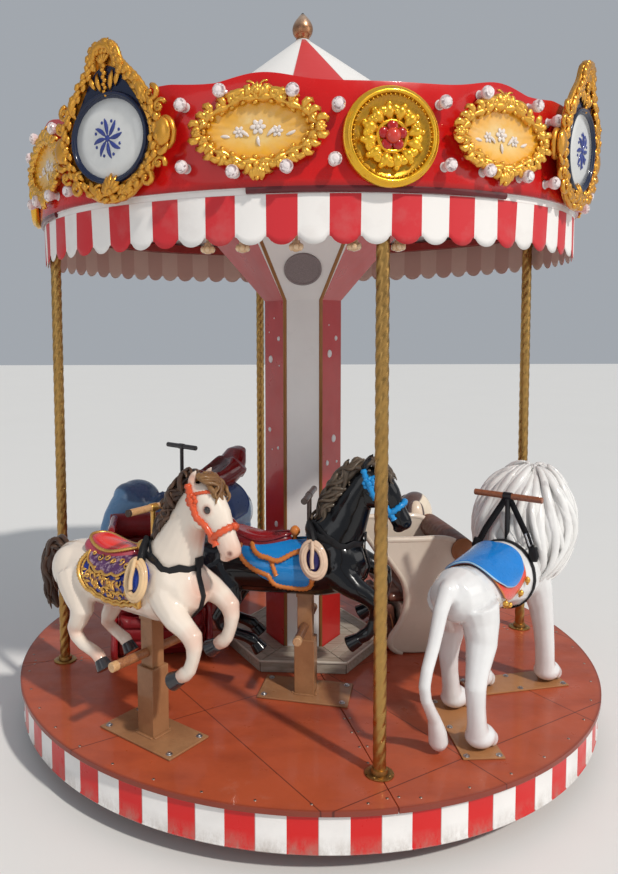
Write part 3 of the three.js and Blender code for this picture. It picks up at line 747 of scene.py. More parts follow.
class CAROUSEL_OT_skirt(Maker):
    """Striped ring below the deck, with a rolled lower edge"""

    bl_idname = "carousel.skirt"
    bl_label = "Skirt"

    def execute(self, context):
        skirt = begin("striped_skirt")
        top, low = DECK_TOP - 0.0206, 0.0855
        outer, inner = 1.285, 1.279
        lathe(
            [(inner, low + 0.004), (outer + 0.001, low), (outer + 0.003, low + 0.004), (outer, low + 0.008),
             (outer, top), (inner, top), (inner, low + 0.004)],
            240,
        )
        end(skirt)
        paint = painted("skirt_stripes", tuple(self.colours.white), 0.3, 0.5, dirt=0.08, scale=7.0)
        angle = paint.turn_angle()
        wave = paint.saw(angle, self.sizes.skirt_stripes / 2, 40.26)
        stripe = paint.math("LESS_THAN", wave, 0.5)
        paint.blend(stripe, tuple(self.colours.red))
        seam = paint.ramp(paint.math("ABSOLUTE", paint.math("SUBTRACT", wave, 0.5)), 0.0, 0.02, 1.0, 0.0)
        paint.blend(paint.math("MULTIPLY", seam, 0.4), (0.2, 0.1, 0.1))
        splash = paint.noise(16.0, 8.0, 0.8, stretch=(1, 1, 0.5))
        low_down = paint.ramp(paint.axis(2), 0.15, 0.085)
        paint.blend(paint.math("MULTIPLY", paint.ramp(splash, 0.40, 0.65, 0.0, 0.75), low_down),
                    (0.30, 0.24, 0.19))
        mount_piece(skirt, paint.material, replaces=["skirt"])
        return {"FINISHED"}


class CAROUSEL_OT_plinth(Maker):
    """Low boarded step round the column"""

    bl_idname = "carousel.plinth"
    bl_label = "Plinth"

    def execute(self, context):
        boards = Finish("weathered_boards", (0.40, 0.345, 0.28), 0.6)
        long_grain = boards.noise(9.0, 8.0, 0.65, stretch=(1, 9, 9))
        boards.blend(boards.ramp(long_grain, 0.40, 0.70, 0.0, 0.85), (0.20, 0.155, 0.11))
        boards.blend(boards.ramp(boards.noise(5.0), 0.5, 0.8, 0.0, 0.5), (0.52, 0.47, 0.40))
        boards.bump(long_grain, 0.4, 0.001)
        top = begin("plinth_boards")
        radius, height = 0.379, 0.0495
        for i in range(6):
            low, high = 60 * i - 30, 60 * i + 30
            for k in range(3):
                inner, outer = 0.178 + 0.067 * k, 0.178 + 0.067 * (k + 1) - 0.003
                inset = 0.35
                corners = [polar(inner, low + inset), polar(outer, low + inset), polar(outer, high - inset),
                           polar(inner, high - inset)]
                raise_outline([(x, y, DECK_TOP + 0.0005) for x, y in corners], (0, 0, height - 0.0005))
        end(top)
        round_edges(top, 0.002)
        mount_piece(top, boards.material, replaces=["plinth"])
        rim = begin("plinth_rim")
        for i in range(6):
            a, b = polar(radius + 0.0005, 60 * i - 30), polar(radius + 0.0005, 60 * i + 30)
            limb([(*a, DECK_TOP + height + 0.001, 0.0035, 1.6), (*b, DECK_TOP + height + 0.001, 0.0035, 1.6)],
                 6, (0, 0, 1))
        end(rim)
        pale = painted("plinth_edge", (0.62, 0.56, 0.48), 0.35, 0.2, wear=(0.30, 0.24, 0.18))
        mount_piece(rim, pale.material)
        return {"FINISHED"}


class CAROUSEL_OT_column(Maker):
    """Hexagonal column in white and red with brown-gold edge strips, dots and its flared top"""

    bl_idname = "carousel.column"
    bl_label = "Column"

    dot_layout = (
        ((0.33, 1.515, 0.005), (0.72, 1.455, 0.0125), (0.37, 1.386, 0.019), (0.60, 0.995, 0.019),
         (0.25, 0.890, 0.0135), (0.77, 0.884, 0.008), (0.45, 0.640, 0.016), (0.70, 0.480, 0.009),
         (0.35, 0.300, 0.014)),
        ((0.52, 1.547, 0.005), (0.24, 1.483, 0.0045), (0.76, 1.455, 0.012), (0.32, 1.360, 0.018),
         (0.79, 1.333, 0.005), (0.26, 1.033, 0.0125), (0.72, 0.957, 0.009), (0.39, 0.943, 0.005),
         (0.60, 0.600, 0.015), (0.30, 0.420, 0.010)),
    )

    def corner(self, index, radius):
        return Vector((radius * math.cos(math.radians(60 * index)),
                       radius * math.sin(math.radians(60 * index)), 0))

    def execute(self, context):
        white = painted("column_white", tuple(self.colours.white), 0.3, 0.5, dirt=0.07, scale=3.0)
        red = painted("column_red", (0.50, 0.02, 0.018), 0.3, 0.5, dirt=0.15, scale=4.0)
        heights = [(DECK_TOP + 0.0005, COLUMN_RADIUS), (DECK_TOP + KINK_HEIGHT, COLUMN_RADIUS),
                   (DECK_TOP + RIM_BOTTOM - 0.0005, FLARE_RADIUS)]
        names = (("column_shaft", "column"), ("column_top", "column_flare"))
        for (name, node), (low, high) in zip(names, zip(heights, heights[1:])):
            shell = begin(name)
            for i in range(6):
                low_a, low_b = self.corner(i, low[1]), self.corner(i + 1, low[1])
                high_a, high_b = self.corner(i, high[1]), self.corner(i + 1, high[1])
                corners = [low_a + UP * low[0], low_b + UP * low[0], high_b + UP * high[0],
                           high_a + UP * high[0]]
                chain(corners, closed=True)
                bpy.ops.mesh.edge_face_add()
            bpy.ops.mesh.select_all(action="SELECT")
            bpy.ops.mesh.remove_doubles(threshold=0.0001)
            end(shell, smooth=False)
            shell.data.materials.append(white.material)
            shell.data.materials.append(red.material)
            for face in shell.data.polygons:
                angle = math.degrees(math.atan2(face.center.x, -face.center.y))
                face.material_index = round(angle / 60) % 2
            if sum(face.normal.dot(Vector((*face.center.xy, 0))) for face in shell.data.polygons) < 0:
                pick(shell)
                bpy.ops.object.mode_set(mode="EDIT")
                bpy.ops.mesh.select_all(action="SELECT")
                bpy.ops.mesh.flip_normals()
                bpy.ops.object.mode_set(mode="OBJECT")
            modify(shell, "SOLIDIFY", thickness=0.008, offset=-1, use_even_offset=True)
            mount_piece(shell, None, replaces=[node])
        strips = begin("column_strips")
        for i in (0, 2, 4):
            middle = self.corner(i, 1).lerp(self.corner(i + 1, 1), 0.5)
            for share in (0.045, 0.955):
                path = []
                for height, radius in heights:
                    spot = self.corner(i, radius).lerp(self.corner(i + 1, radius), share)
                    path.append((spot.x, spot.y, height, 0.0042, 1.9))
                limb(path, 6, (-middle.y, middle.x, 0))
        end(strips)
        brown = painted("strip_gold", (0.30, 0.13, 0.04), 0.35, 0.3, metal=0.4, wear=(0.13, 0.05, 0.02))
        mount_piece(strips, brown.material)
        dots = begin("column_dots")
        for i in (1, 3, 5):
            away = self.corner(i, 1).lerp(self.corner(i + 1, 1), 0.5).normalized()
            for share, height, size in self.dot_layout[(i // 2) % 2]:
                here, there = self.corner(i, COLUMN_RADIUS), self.corner(i + 1, COLUMN_RADIUS)
                spot = here.lerp(there, share) + UP * (DECK_TOP + height)
                rod(spot - away * 0.001, spot + away * 0.003, size, 24, size - 0.003)
        end(dots)
        pale = painted("dot_white", (0.74, 0.72, 0.72), 0.25, 0.5)
        mount_piece(dots, pale.material)
        return {"FINISHED"}


class CAROUSEL_OT_speaker(Maker):
    """Round grille on the flared front face"""

    bl_idname = "carousel.speaker"
    bl_label = "Speaker grille"

    def execute(self, context):
        low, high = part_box("speaker_grille")
        middle = (low + high) / 2
        apothem = math.cos(math.pi / 6)
        lean = math.atan2((FLARE_RADIUS - COLUMN_RADIUS) * apothem, RIM_BOTTOM - KINK_HEIGHT)
        grille = begin("speaker_mesh")
        profile = [(0, 0.0015), (0.070, 0.0015), (0.071, 0.004), (0.078, 0.0045), (0.081, 0.002),
                   (0.081, -0.004), (0, -0.004)]
        lathe(profile, 40)
        for r, count in ((0.012, 6), (0.024, 12), (0.036, 18), (0.048, 24), (0.060, 30)):
            for k in range(count):
                turn = 2 * math.pi * k / count
                bpy.ops.mesh.primitive_circle_add(
                    vertices=6, radius=0.0035, fill_type="NGON",
                    location=(r * math.cos(turn), r * math.sin(turn), 0.0019)
                )
        end(grille)
        grille.rotation_euler = (math.pi / 2 + lean, 0, 0)
        grille.location = middle
        apply_place(grille)
        cover = Finish("speaker_grey", (0.27, 0.22, 0.22), 0.6)
        holes = cover.noise(420.0, 2.0)
        cover.blend(cover.ramp(holes, 0.45, 0.55, 0.0, 0.5), (0.11, 0.09, 0.09)).bump(holes, 0.4, 0.0008)
        mount_piece(grille, cover.material, replaces=["speaker_grille"])
        return {"FINISHED"}


class CAROUSEL_OT_poles(Maker):
    """Four twisted brass poles with flanges, screws and top collars"""

    bl_idname = "carousel.poles"
    bl_label = "Poles"

    def execute(self, context):
        size = self.sizes.pole_radius
        low, high = DECK_TOP + 0.011, DECK_TOP + RIM_BOTTOM - 0.0008
        shaft = begin("pole_shaft")
        sides = 24
        bpy.ops.mesh.primitive_circle_add(vertices=sides, radius=size, fill_type="NGON", location=(0, 0, low))
        mesh = edit_mesh()
        for vert in mesh.verts:
            lobe = 0.90 + 0.10 * abs(math.cos(2 * math.atan2(vert.co.y, vert.co.x)))
            vert.co.x *= lobe
            vert.co.y *= lobe
        refresh()
        steps = 240
        for _ in range(steps):
            bpy.ops.mesh.extrude_region_move(TRANSFORM_OT_translate={"value": (0, 0, (high - low) / steps)})
        end(shaft, angle=60)
        turns = (high - low) / self.sizes.pole_pitch
        modify(shaft, "SIMPLE_DEFORM", deform_method="TWIST", deform_axis="Z", angle=2 * math.pi * turns)
        fittings = begin("pole_fittings")
        lathe(
            [(size * 0.8, DECK_TOP + 0.0004), (0.0495, DECK_TOP + 0.0004), (0.050, DECK_TOP + 0.004),
             (0.046, DECK_TOP + 0.0062), (0.030, DECK_TOP + 0.0075), (0.0275, DECK_TOP + 0.022),
             (size * 0.8, DECK_TOP + 0.024)], 40
        )
        lathe([(size * 0.8, high - 0.05), (size + 0.003, high - 0.048), (size + 0.004, high - 0.004),
               (0.040, high), (size * 0.8, high)], 32)
        for k in range(4):
            x, y = polar(0.038, 45 + 90 * k)
            ball(x, y, DECK_TOP + 0.0066, 0.0042, 0.0042, 0.0022, 10, 6)
        end(fittings)
        brass = self.brass()
        for i in range(QUARTERS):
            x, y = polar(POLE_CIRCLE, POLE_ANGLE + 90 * i)
            for source, name in ((shaft, "twisted_pole"), (fittings, "pole_flange")):
                piece = copy_of(source, f"{name}_{i + 1}")
                place(piece, x, y, 0, POLE_ANGLE + 90 * i)
                kept = [f"pole_{i + 1}"] if source is shaft else []
                mount_piece(piece, brass, replaces=kept)
        discard(shaft, fittings)
        return {"FINISHED"}

    def brass(self):
        brass = Finish("dull_brass", (0.46, 0.27, 0.085), 0.3, 1.0)
        pit = brass.pointiness()
        brass.blend(brass.ramp(pit, 0.51, 0.45), (0.10, 0.045, 0.015))
        tarnish = brass.noise(6.0, 8.0, 0.7, stretch=(1, 1, 0.4))
        brass.blend(brass.ramp(tarnish, 0.45, 0.75, 0.0, 0.75), (0.20, 0.105, 0.04))
        brass.roughen(brass.ramp(brass.noise(40.0, 5.0), 0.3, 0.7, 0.22, 0.5))
        brass.bump(brass.noise(160.0, 2.0), 0.15, 0.0005)
        return brass.material


class CAROUSEL_OT_tent(Maker):
    """Tent cloth in red and white gores with seams, sagging a little between its ribs"""

    bl_idname = "carousel.tent"
    bl_label = "Tent"

    def execute(self, context):
        low = DECK_TOP + RIM_BOTTOM + 0.0425
        apex = DECK_TOP + TENT_APEX - 0.0012
        tip = 0.0215
        tent = begin("tent_cloth")
        lathe([(tip + (TENT_RADIUS - tip) * k / 24, apex + (low - apex) * k / 24) for k in range(25)], 192)
        mesh = edit_mesh()
        for vert in mesh.verts:
            radius = math.hypot(vert.co.x, vert.co.y)
            turn = math.degrees(math.atan2(vert.co.x, -vert.co.y)) - 9
            share = (radius - tip) / (TENT_RADIUS - tip)
            rib = abs(math.cos(math.radians(6 * turn)))
            vert.co.z -= self.sizes.gore_sag * (1 - rib) * math.sin(math.pi * min(1, share)) * share
        refresh()
        end(tent)
        modify(tent, "SOLIDIFY", thickness=0.0012, offset=1)
        cloth = Finish("tent_cloth", (0.84, 0.82, 0.79), 0.55, Sheen_Weight=0.15)
        angle = cloth.math("SUBTRACT", cloth.turn_angle(), 9 / 360)
        quarter = cloth.saw(angle, QUARTERS, 4.5)
        near = cloth.math("ABSOLUTE", cloth.math("SUBTRACT", quarter, 0.5))
        red = cloth.math("LESS_THAN", near, 1 / 6)
        seam = cloth.ramp(cloth.math("ABSOLUTE", cloth.math("SUBTRACT", near, 1 / 6)), 0.0, 0.006, 1.0, 0.0)
        cloth.blend(red, tuple(self.colours.red))
        cloth.blend(cloth.math("MULTIPLY", seam, 0.5), (0.45, 0.30, 0.28))
        cloth.blend(cloth.ramp(cloth.radius(), 0.031, 0.028), (0.80, 0.78, 0.75))
        cloth.blend(cloth.ramp(cloth.noise(3.0, 6.0), 0.5, 0.8, 0.0, 0.25), (0.45, 0.40, 0.36))
        cloth.bump(cloth.noise(900.0, 1.0), 0.15, 0.0003)
        cloth.bump(cloth.noise(7.0, 4.0), 0.25, 0.01).bump(seam, 0.5, 0.001)
        mount_piece(tent, cloth.material, replaces=["tent_canopy"])
        hem = begin("tent_cap")
        lathe([(0.0200, apex + 0.0035), (0.030, apex - 0.002), (0.034, apex - 0.0055), (0.033, apex - 0.0075),
               (0.0205, apex + 0.0003), (0.0200, apex + 0.0035)], 40)
        end(hem)
        mount_piece(hem, painted("cap_white", (0.80, 0.78, 0.76), 0.35, 0.3).material)
        return {"FINISHED"}


class CAROUSEL_OT_finial(Maker):
    """Copper knob with a painted highlight on its upper half, drawn in to a pointed dark tip"""

    bl_idname = "carousel.finial"
    bl_label = "Finial"

    def execute(self, context):
        base = DECK_TOP + TENT_APEX
        ball_profile = [(0, 0.0005), (0.026, 0.0005), (0.030, 0.003), (0.028, 0.007), (0.032, 0.011),
                        (0.0385, 0.018), (0.0430, 0.027), (0.0456, 0.037), (0.0464, 0.046), (0.0452, 0.056),
                        (0.0420, 0.066), (0.0370, 0.076), (0.0305, 0.086), (0.0232, 0.095), (0.0162, 0.103),
                        (0.0105, 0.109), (0.0070, 0.113), (0.0045, 0.1165), (0, 0.1178)]
        knob = begin("finial_ball")
        lathe([(r, base + z) for r, z in ball_profile], 64)
        end(knob)
        copper = Finish("copper_paint", (0.50, 0.245, 0.115), 0.3, 0.85, 0.3)
        copper.blend(copper.ramp(copper.noise(28.0, 7.0, 0.7), 0.42, 0.68, 0.0, 0.85), (0.16, 0.075, 0.05))
        # The upper half is paled towards cream as a painted highlight, the broad reflection of the light on
        # the knob
        copper.blend(copper.ramp(copper.axis(2), base + 0.046, base + 0.088, 0.0, 0.60), (0.80, 0.62, 0.47))
        copper.blend(copper.ramp(copper.axis(2), base + 0.107, base + 0.111, 0.0, 0.9), (0.02, 0.02, 0.025))
        copper.roughen(copper.ramp(copper.noise(60.0), 0.3, 0.7, 0.2, 0.55))
        copper.bump(copper.noise(120.0, 3.0), 0.2, 0.0006)
        mount_piece(knob, copper.material, replaces=["finial"])
        return {"FINISHED"}


class CAROUSEL_OT_valance(Maker):
    """Rippled cloth band with round tongues and header seam, its inner face in painted shade"""

    bl_idname = "carousel.valance"
    bl_label = "Valance"

    def execute(self, context):
        tongues = self.sizes.tongues
        per = 10
        count = tongues * per
        low, high, round_part = 1.7715, 1.9595, 0.046
        valance = begin("valance_cloth")
        rows = [0.0, 0.06, 0.16, 0.30, 0.45, 0.60, 0.75, 0.88, 1.0]
        lathe([(VALANCE_RADIUS - 0.001, high - (high - low) * share) for share in rows], count)
        centre = POLE_ANGLE + 3.3
        mesh = edit_mesh()
        for vert in mesh.verts:
            turn = math.degrees(math.atan2(vert.co.x, -vert.co.y)) - centre
            across = (turn * tongues / 360 + 0.5) % 1.0 - 0.5
            share = (high - vert.co.z) / (high - low)
            curve = math.sqrt(max(0.0, 1 - (2 * across) ** 2))
            bottom = low + round_part * (1 - curve)
            vert.co.z = high - (high - bottom) * share
            wave = math.sin(math.radians(turn * 9)) * 0.5 + math.sin(math.radians(turn * 23) + 1) * 0.3
            curl = -0.35 * (2 * across) ** 2 + 0.25 * math.sin(math.radians(turn * 5) * 8 + share)
            out = self.sizes.tongue_ripple * share * (wave + curl) - 0.002 * share
            scale = (VALANCE_RADIUS - 0.001 + out) / math.hypot(vert.co.x, vert.co.y)
            vert.co.x *= scale
            vert.co.y *= scale
            vert.co.z += DECK_TOP
        refresh()
        end(valance)
        modify(valance, "SOLIDIFY", thickness=0.0012, offset=-1)
        cloth = Finish("valance_cloth", (0.84, 0.81, 0.78), 0.6, Sheen_Weight=0.1, Subsurface_Weight=0.0)

        def stripe(finish):
            angle = finish.math("SUBTRACT", finish.turn_angle(), centre / 360)
            return finish.math("LESS_THAN", finish.saw(angle, tongues / 2, 36.25), 0.5)

        header = cloth.math("LESS_THAN", cloth.axis(2), DECK_TOP + high - 0.030)
        cloth.blend(cloth.math("MULTIPLY", stripe(cloth), header), (0.60, 0.012, 0.02))
        off = cloth.math("SUBTRACT", cloth.axis(2), DECK_TOP + high - 0.030)
        seam = cloth.ramp(cloth.math("ABSOLUTE", off), 0.0, 0.0016, 1.0, 0.0)
        cloth.blend(cloth.math("MULTIPLY", seam, 0.35), (0.4, 0.3, 0.28))
        cloth.blend(cloth.ramp(cloth.noise(9.0, 6.0), 0.5, 0.8, 0.0, 0.22), (0.45, 0.36, 0.33))
        cloth.bump(cloth.noise(700.0, 1.0), 0.2, 0.0003).bump(seam, 0.6, 0.001)
        # The inner face shows the same stripes dimmed and tinted pink: painted shade under the roof, with
        # painted light coming through the red cloth
        inner_shade = Finish("valance_inner_shade", (0.62, 0.44, 0.37), 0.65, Sheen_Weight=0.1)
        inner_shade.blend(inner_shade.math("MULTIPLY", stripe(inner_shade), 0.55), (0.44, 0.22, 0.18))
        inner_shade.blend(inner_shade.ramp(inner_shade.noise(6.0, 6.0), 0.4, 0.75, 0.0, 0.4), (0.50, 0.33, 0.28))
        inner_shade.bump(inner_shade.noise(700.0, 1.0), 0.2, 0.0003)
        mount_piece(valance, cloth.material, replaces=["valance"])
        valance.data.materials.append(inner_shade.material)
        for face in valance.data.polygons:
            if face.normal.dot(Vector((*face.center.xy, 0))) < -0.5:
                face.material_index = 1
        braid = begin("valance_braid")
        lathe([(VALANCE_RADIUS + 0.0002, DECK_TOP + high + z) for z in (-0.014, -0.0135)] +
              [(VALANCE_RADIUS + 0.003, DECK_TOP + high - 0.010),
               (VALANCE_RADIUS + 0.003, DECK_TOP + high - 0.004),
               (VALANCE_RADIUS + 0.0002, DECK_TOP + high),
               (VALANCE_RADIUS + 0.0002, DECK_TOP + high - 0.014)], 240)
        end(braid)
        tape = painted("header_tape", (0.80, 0.77, 0.75), 0.5, 0.1)
        mount_piece(braid, tape.material)
        batten = begin("rim_batten")
        for i in range(QUARTERS):
            spots = [(*polar(VALANCE_RADIUS + 0.0045, POLE_ANGLE + 90 * i - 22.3 + 44.6 * k / 24),
                      DECK_TOP + high - 0.014) for k in range(25)]
            limb([(*p, 0.0085, 1.7) for p in spots], 10, (0, 0, 1))
        end(batten, angle=60)
        # The batten's very dark red is dark-red paint deepened by painted shade under the boards
        dark = painted("batten_red", (0.115, 0.006, 0.010), 0.35, 0.5, dirt=0.2, scale=8.0)
        mount_piece(batten, dark.material)
        return {"FINISHED"}


# Helpers: carved ornament
def leaf(x, z, heading, length, width, lift, curl=0.4, base=0.0, sides=8):
    """A carved leaf that lies on a face towards -Y: it starts at x, z and curls towards its tip."""
    path = []
    turn = heading
    for k in range(6):
        share = k / 5
        swell = math.sin(math.pi * (0.12 + 0.80 * share))
        rise = lift * math.sin(math.pi * (0.15 + 0.75 * share))
        path.append((x, base - rise, z, max(0.0015, width * swell), 0.62))
        x += length / 5 * math.cos(turn)
        z += length / 5 * math.sin(turn)
        turn += curl / 5 * (1 + 2 * share)
    limb(path, sides, (0, 1, 0))


def scroll(x, z, heading, size, base=0.0, hand=1, turns=1.2, thick=0.2):
    """A volute that winds in on itself."""
    path = []
    steps = 16
    for k in range(steps + 1):
        share = k / steps
        radius = size * (1 - 0.80 * share)
        turn = heading + hand * share * turns * 2 * math.pi
        path.append((x + radius * math.cos(turn), base - size * (0.25 + 0.45 * share),
                     z + radius * math.sin(turn),
                     size * thick * (1 - 0.35 * share)))
    limb(path, 8, (0, 1, 0))
    ball(x, base - size * 0.7, z, size * 0.24, around=10, down=6)


def reshape(obj, matrix, level):
    """Turns or scales an ornament about a level line across it."""
    pick(obj)
    obj.matrix_world = Matrix.Translation((0, 0, level)) @ matrix @ Matrix.Translation((0, 0, -level))
    bpy.ops.object.transform_apply(location=True, rotation=True, scale=True)


def facing(obj, radius, angle, height=0.0):
    """Sets a flat ornament, drawn facing -Y, on the roof band at an angle."""
    x, y = polar(radius, angle)
    return place(obj, x, y, DECK_TOP + height, angle)


def shape_ring(section, path, ripple=lambda turn: 1.0, around=144, ring=12):
    """A torus drawn over a path in x and z, its section stretched by section = (across, depth)."""
    bpy.ops.mesh.primitive_torus_add(
        rotation=(math.pi / 2, 0, 0), major_radius=1, minor_radius=0.1, major_segments=around,
        minor_segments=ring
    )
    mesh = edit_mesh()
    for vert in [v for v in mesh.verts if v.select]:
        turn = math.atan2(vert.co.z, vert.co.x)
        off = (math.hypot(vert.co.x, vert.co.z) - 1) * 10
        deep = vert.co.y * 10
        x, z = path(turn)
        ahead = path(turn + 0.01)
        out = Vector((ahead[1] - z, 0, x - ahead[0])).normalized()
        swell = ripple(turn)
        vert.co = Vector((x, deep * section[1] * swell, z)) + out * off * section[0] * swell
    refresh()


class CAROUSEL_OT_boards(Maker):
    """Wavy red rounding boards round the roof, with the gilt oval cartouches on them"""

    bl_idname = "carousel.boards"
    bl_label = "Rounding boards"

    def execute(self, context):
        red = painted("board_red", tuple(self.colours.red), 0.24, 0.35, dirt=0.14, grain=0.25, scale=4.0)
        # The lowest 2 cm of each board turn dark red: the boards' dark-red lower lip, with painted shade
        # under their overhang
        red.blend(red.ramp(red.axis(2), DECK_TOP + 1.97, DECK_TOP + 1.95, 0.0, 0.55), (0.12, 0.01, 0.012))
        red.blend(red.ramp(red.noise(3.0, 8.0, 0.7, stretch=(1, 1, 0.3)), 0.55, 0.75, 0.0, 0.3),
                  (0.28, 0.012, 0.02))
        for i in range(QUARTERS):
            board = begin(f"rounding_board_{i + 1}_skin")
            bpy.ops.mesh.primitive_grid_add(x_subdivisions=96, y_subdivisions=6, size=1)
            mesh = edit_mesh()
            for vert in mesh.verts:
                turn = vert.co.x * (math.pi / 2 - 0.0028)
                off = abs(math.degrees(turn))
                bump = 0.032 * math.exp(-((off - 20) / 6.5) ** 2)
                shoulder = 0.024 * min(1.0, max(0.0, (off - 27) / 8))
                top = 2.270 + bump + shoulder
                height = 1.9505 + (vert.co.y + 0.5) * (top - 1.9505)
                x, y = polar(BOARD_FACE - 0.0062, math.degrees(turn) + POLE_ANGLE + 90 * i)
                vert.co = Vector((x, y, DECK_TOP + height))
            refresh()
            end(board)
            modify(board, "SOLIDIFY", thickness=0.0112, offset=0)
            round_edges(board, 0.0025)
            mount_piece(board, red.material, replaces=[f"rounding_board_{i + 1}"])
        self.ovals()
        return {"FINISHED"}

    def ovals(self):
        gold = gilded("cartouche_gold", tuple(self.colours.gold))
        frame_piece = self.oval_frame()
        panel = self.oval_panel()
        sprig = self.sprig()
        panel_paint = self.panel_finish()
        blossom = painted("blossom_paint", (0.80, 0.72, 0.66), 0.3, 0.5, dirt=0.1)
        for source in (frame_piece, panel, sprig):
            reshape(source, Matrix.Diagonal(CARTOUCHE_SCALE), self.middle)
        number = 1
        for i in range(QUARTERS):
            for side in (-20.2, 20.2):
                angle = POLE_ANGLE + 90 * i + side
                for source, name, material in (
                    (frame_piece, "cartouche_frame", gold),
                    (panel, "cartouche_panel", panel_paint),
                    (sprig, "cartouche_blossom", blossom.material),
                ):
                    piece = facing(copy_of(source, f"{name}_{number}"), BOARD_FACE, angle)
                    mount_piece(piece, material)
                number += 1
        discard(frame_piece, panel, sprig)

    def oval_frame(self):
        piece = begin("oval_frame")
        shape_ring((0.013, 0.020), self.oval, lambda turn: 1 + 0.30 * math.cos(22 * turn), 176)
        bpy.ops.mesh.select_all(action="SELECT")
        bpy.ops.transform.translate(value=(0, -0.012, 0))
        count = 26
        for k in range(count):
            turn = 2 * math.pi * (k + 0.5) / count
            x, z = self.oval(turn)
            out = math.atan2((z - self.middle) / 0.0115, x / 0.036)
            hand = 1 if math.cos(turn) > 0 else -1
            sweep = hand * (1 if z > self.middle else -1)
            leaf(x, z, out + sweep * 1.0, 0.056, 0.0125, 0.018, -sweep * 2.1, -0.010)
            leaf(x * 0.97, self.middle + (z - self.middle) * 0.97, out - sweep * 0.5, 0.034, 0.0095, 0.012,
                 sweep * 1.3, -0.016)
            leaf(x * 0.96, self.middle + (z - self.middle) * 0.95, out + math.pi + sweep * 0.5, 0.022, 0.0070,
                 0.008, sweep, -0.016)
        for hand in (-1, 1):
            out = 0 if hand > 0 else math.pi
            for k in range(3):
                leaf(hand * 0.196, self.middle, out + (k - 1) * 0.6, 0.026, 0.0085, 0.012, 0, -0.012)
            leaf(hand * 0.030, self.middle + 0.132, out - hand * 0.35, 0.090, 0.0125, 0.018, hand * 0.2,
                 -0.010)
            leaf(hand * 0.035, self.middle + 0.118, out - hand * 0.75, 0.060, 0.0100, 0.014, hand * 1.5,
                 -0.014)
            scroll(hand * 0.026, self.middle + 0.136, math.pi / 2 - hand * 0.4, 0.022, -0.012, hand)
            for k in range(3):
                x = hand * (0.052 + 0.042 * k)
                limb([(x - hand * 0.024, -0.014, self.middle - 0.096 + 0.010 * k, 0.007),
                      (x - hand * 0.012, -0.022, self.middle - 0.112 + 0.010 * k, 0.011),
                      (x, -0.024, self.middle - 0.117 + 0.011 * k, 0.012),
                      (x + hand * 0.012, -0.022, self.middle - 0.110 + 0.011 * k, 0.011),
                      (x + hand * 0.024, -0.014, self.middle - 0.092 + 0.011 * k, 0.006)], 8, (0, 1, 0))
            scroll(hand * 0.024, self.middle - 0.122, -math.pi / 2 + hand * 0.4, 0.020, -0.012, -hand)
            leaf(hand * 0.012, self.middle - 0.118, -math.pi / 2 + hand * 0.28, 0.046, 0.0110, 0.018,
                 -hand * 0.5, -0.012)
        for k in range(7):
            leaf(0, self.middle + 0.112, math.pi / 2 + (k - 3) * 0.36, 0.044 - 0.003 * abs(k - 3), 0.0085,
                 0.018, 0.0, -0.012)
        for k in range(3):
            leaf(0, self.middle - 0.112, -math.pi / 2 + (k - 1) * 0.30, 0.052, 0.0110, 0.020, 0.0, -0.012)
        ball(0, -0.028, self.middle + 0.122, 0.012, around=12, down=8)
        ball(0, -0.026, self.middle - 0.158, 0.008, around=12, down=8)
        return thin(end(piece, angle=60), KEEP_RELIEF)

    middle = 2.122

    def oval(self, turn):
        """An oval drawn to a point at each end."""
        c, s = math.cos(turn), math.sin(turn)
        lobe = 1 + 0.028 * math.cos(10 * turn)
        return 0.190 * lobe * (0.90 * c + 0.10 * c ** 3), self.middle + 0.104 * lobe * s * (1 - 0.16 * c * c)

    def oval_panel(self):
        panel = begin("oval_panel")
        bpy.ops.mesh.primitive_circle_add(vertices=96, radius=1, fill_type="TRIFAN",
                                          rotation=(math.pi / 2, 0, 0))
        bpy.ops.mesh.subdivide(number_cuts=3)
        mesh = edit_mesh()
        for vert in mesh.verts:
            radius = min(1.0, math.hypot(vert.co.x, vert.co.z))
            turn = math.atan2(vert.co.z, vert.co.x)
            dish = 0.004 + 0.012 * radius ** 3 + 0.0022 * math.cos(18 * turn) * radius ** 4
            x, z = self.oval(turn)
            vert.co = Vector((x * radius, -dish, self.middle + (z - self.middle) * radius))
        refresh()
        end(panel, angle=180)
        modify(panel, "SOLIDIFY", thickness=0.003, offset=0)
        return mark(panel, "share", lambda co: math.hypot(co.x / 0.190, (co.z - self.middle) / 0.098))

    def panel_finish(self):
        paint = painted("panel_yellow", (0.80, 0.46, 0.10), 0.3, 0.5, dirt=0.1, scale=9.0)
        share = paint.attribute("share")
        cloud = paint.noise(14.0, 5.0)
        paint.blend(paint.ramp(cloud, 0.42, 0.62, 0.0, 0.65), (0.80, 0.64, 0.34))
        paint.blend(paint.ramp(paint.axis(2), DECK_TOP + 2.13, DECK_TOP + 2.03, 0.0, 0.75),
                    (0.82, 0.48, 0.03))
        paint.blend(paint.ramp(share, 0.35, 0.90), (0.80, 0.36, 0.012))
        paint.blend(paint.ramp(share, 0.90, 1.0, 0.0, 0.6), (0.30, 0.11, 0.01))
        return paint.material

    def sprig(self):
        piece = begin("sprig")
        for x, z, size in ((-0.062, 2.120, 0.020), (0.0, 2.134, 0.026), (0.062, 2.118, 0.020)):
            for k in range(6):
                turn = 2 * math.pi * k / 6
                ball(x + size * 0.62 * math.cos(turn), -0.0075, z + size * 0.62 * math.sin(turn), size * 0.42,
                     0.003, size * 0.30,
                     10, 5, (0, -turn, 0))
            ball(x, -0.010, z, size * 0.30, 0.0045, size * 0.30, 10, 5)
        for x, heading in ((-0.030, 2.4), (0.030, 0.74), (-0.092, 2.9), (0.092, 0.24), (0, -1.57)):
            leaf(x, 2.104, heading, 0.034, 0.006, 0.004, 0.3, -0.006)
        return end(piece, angle=60)


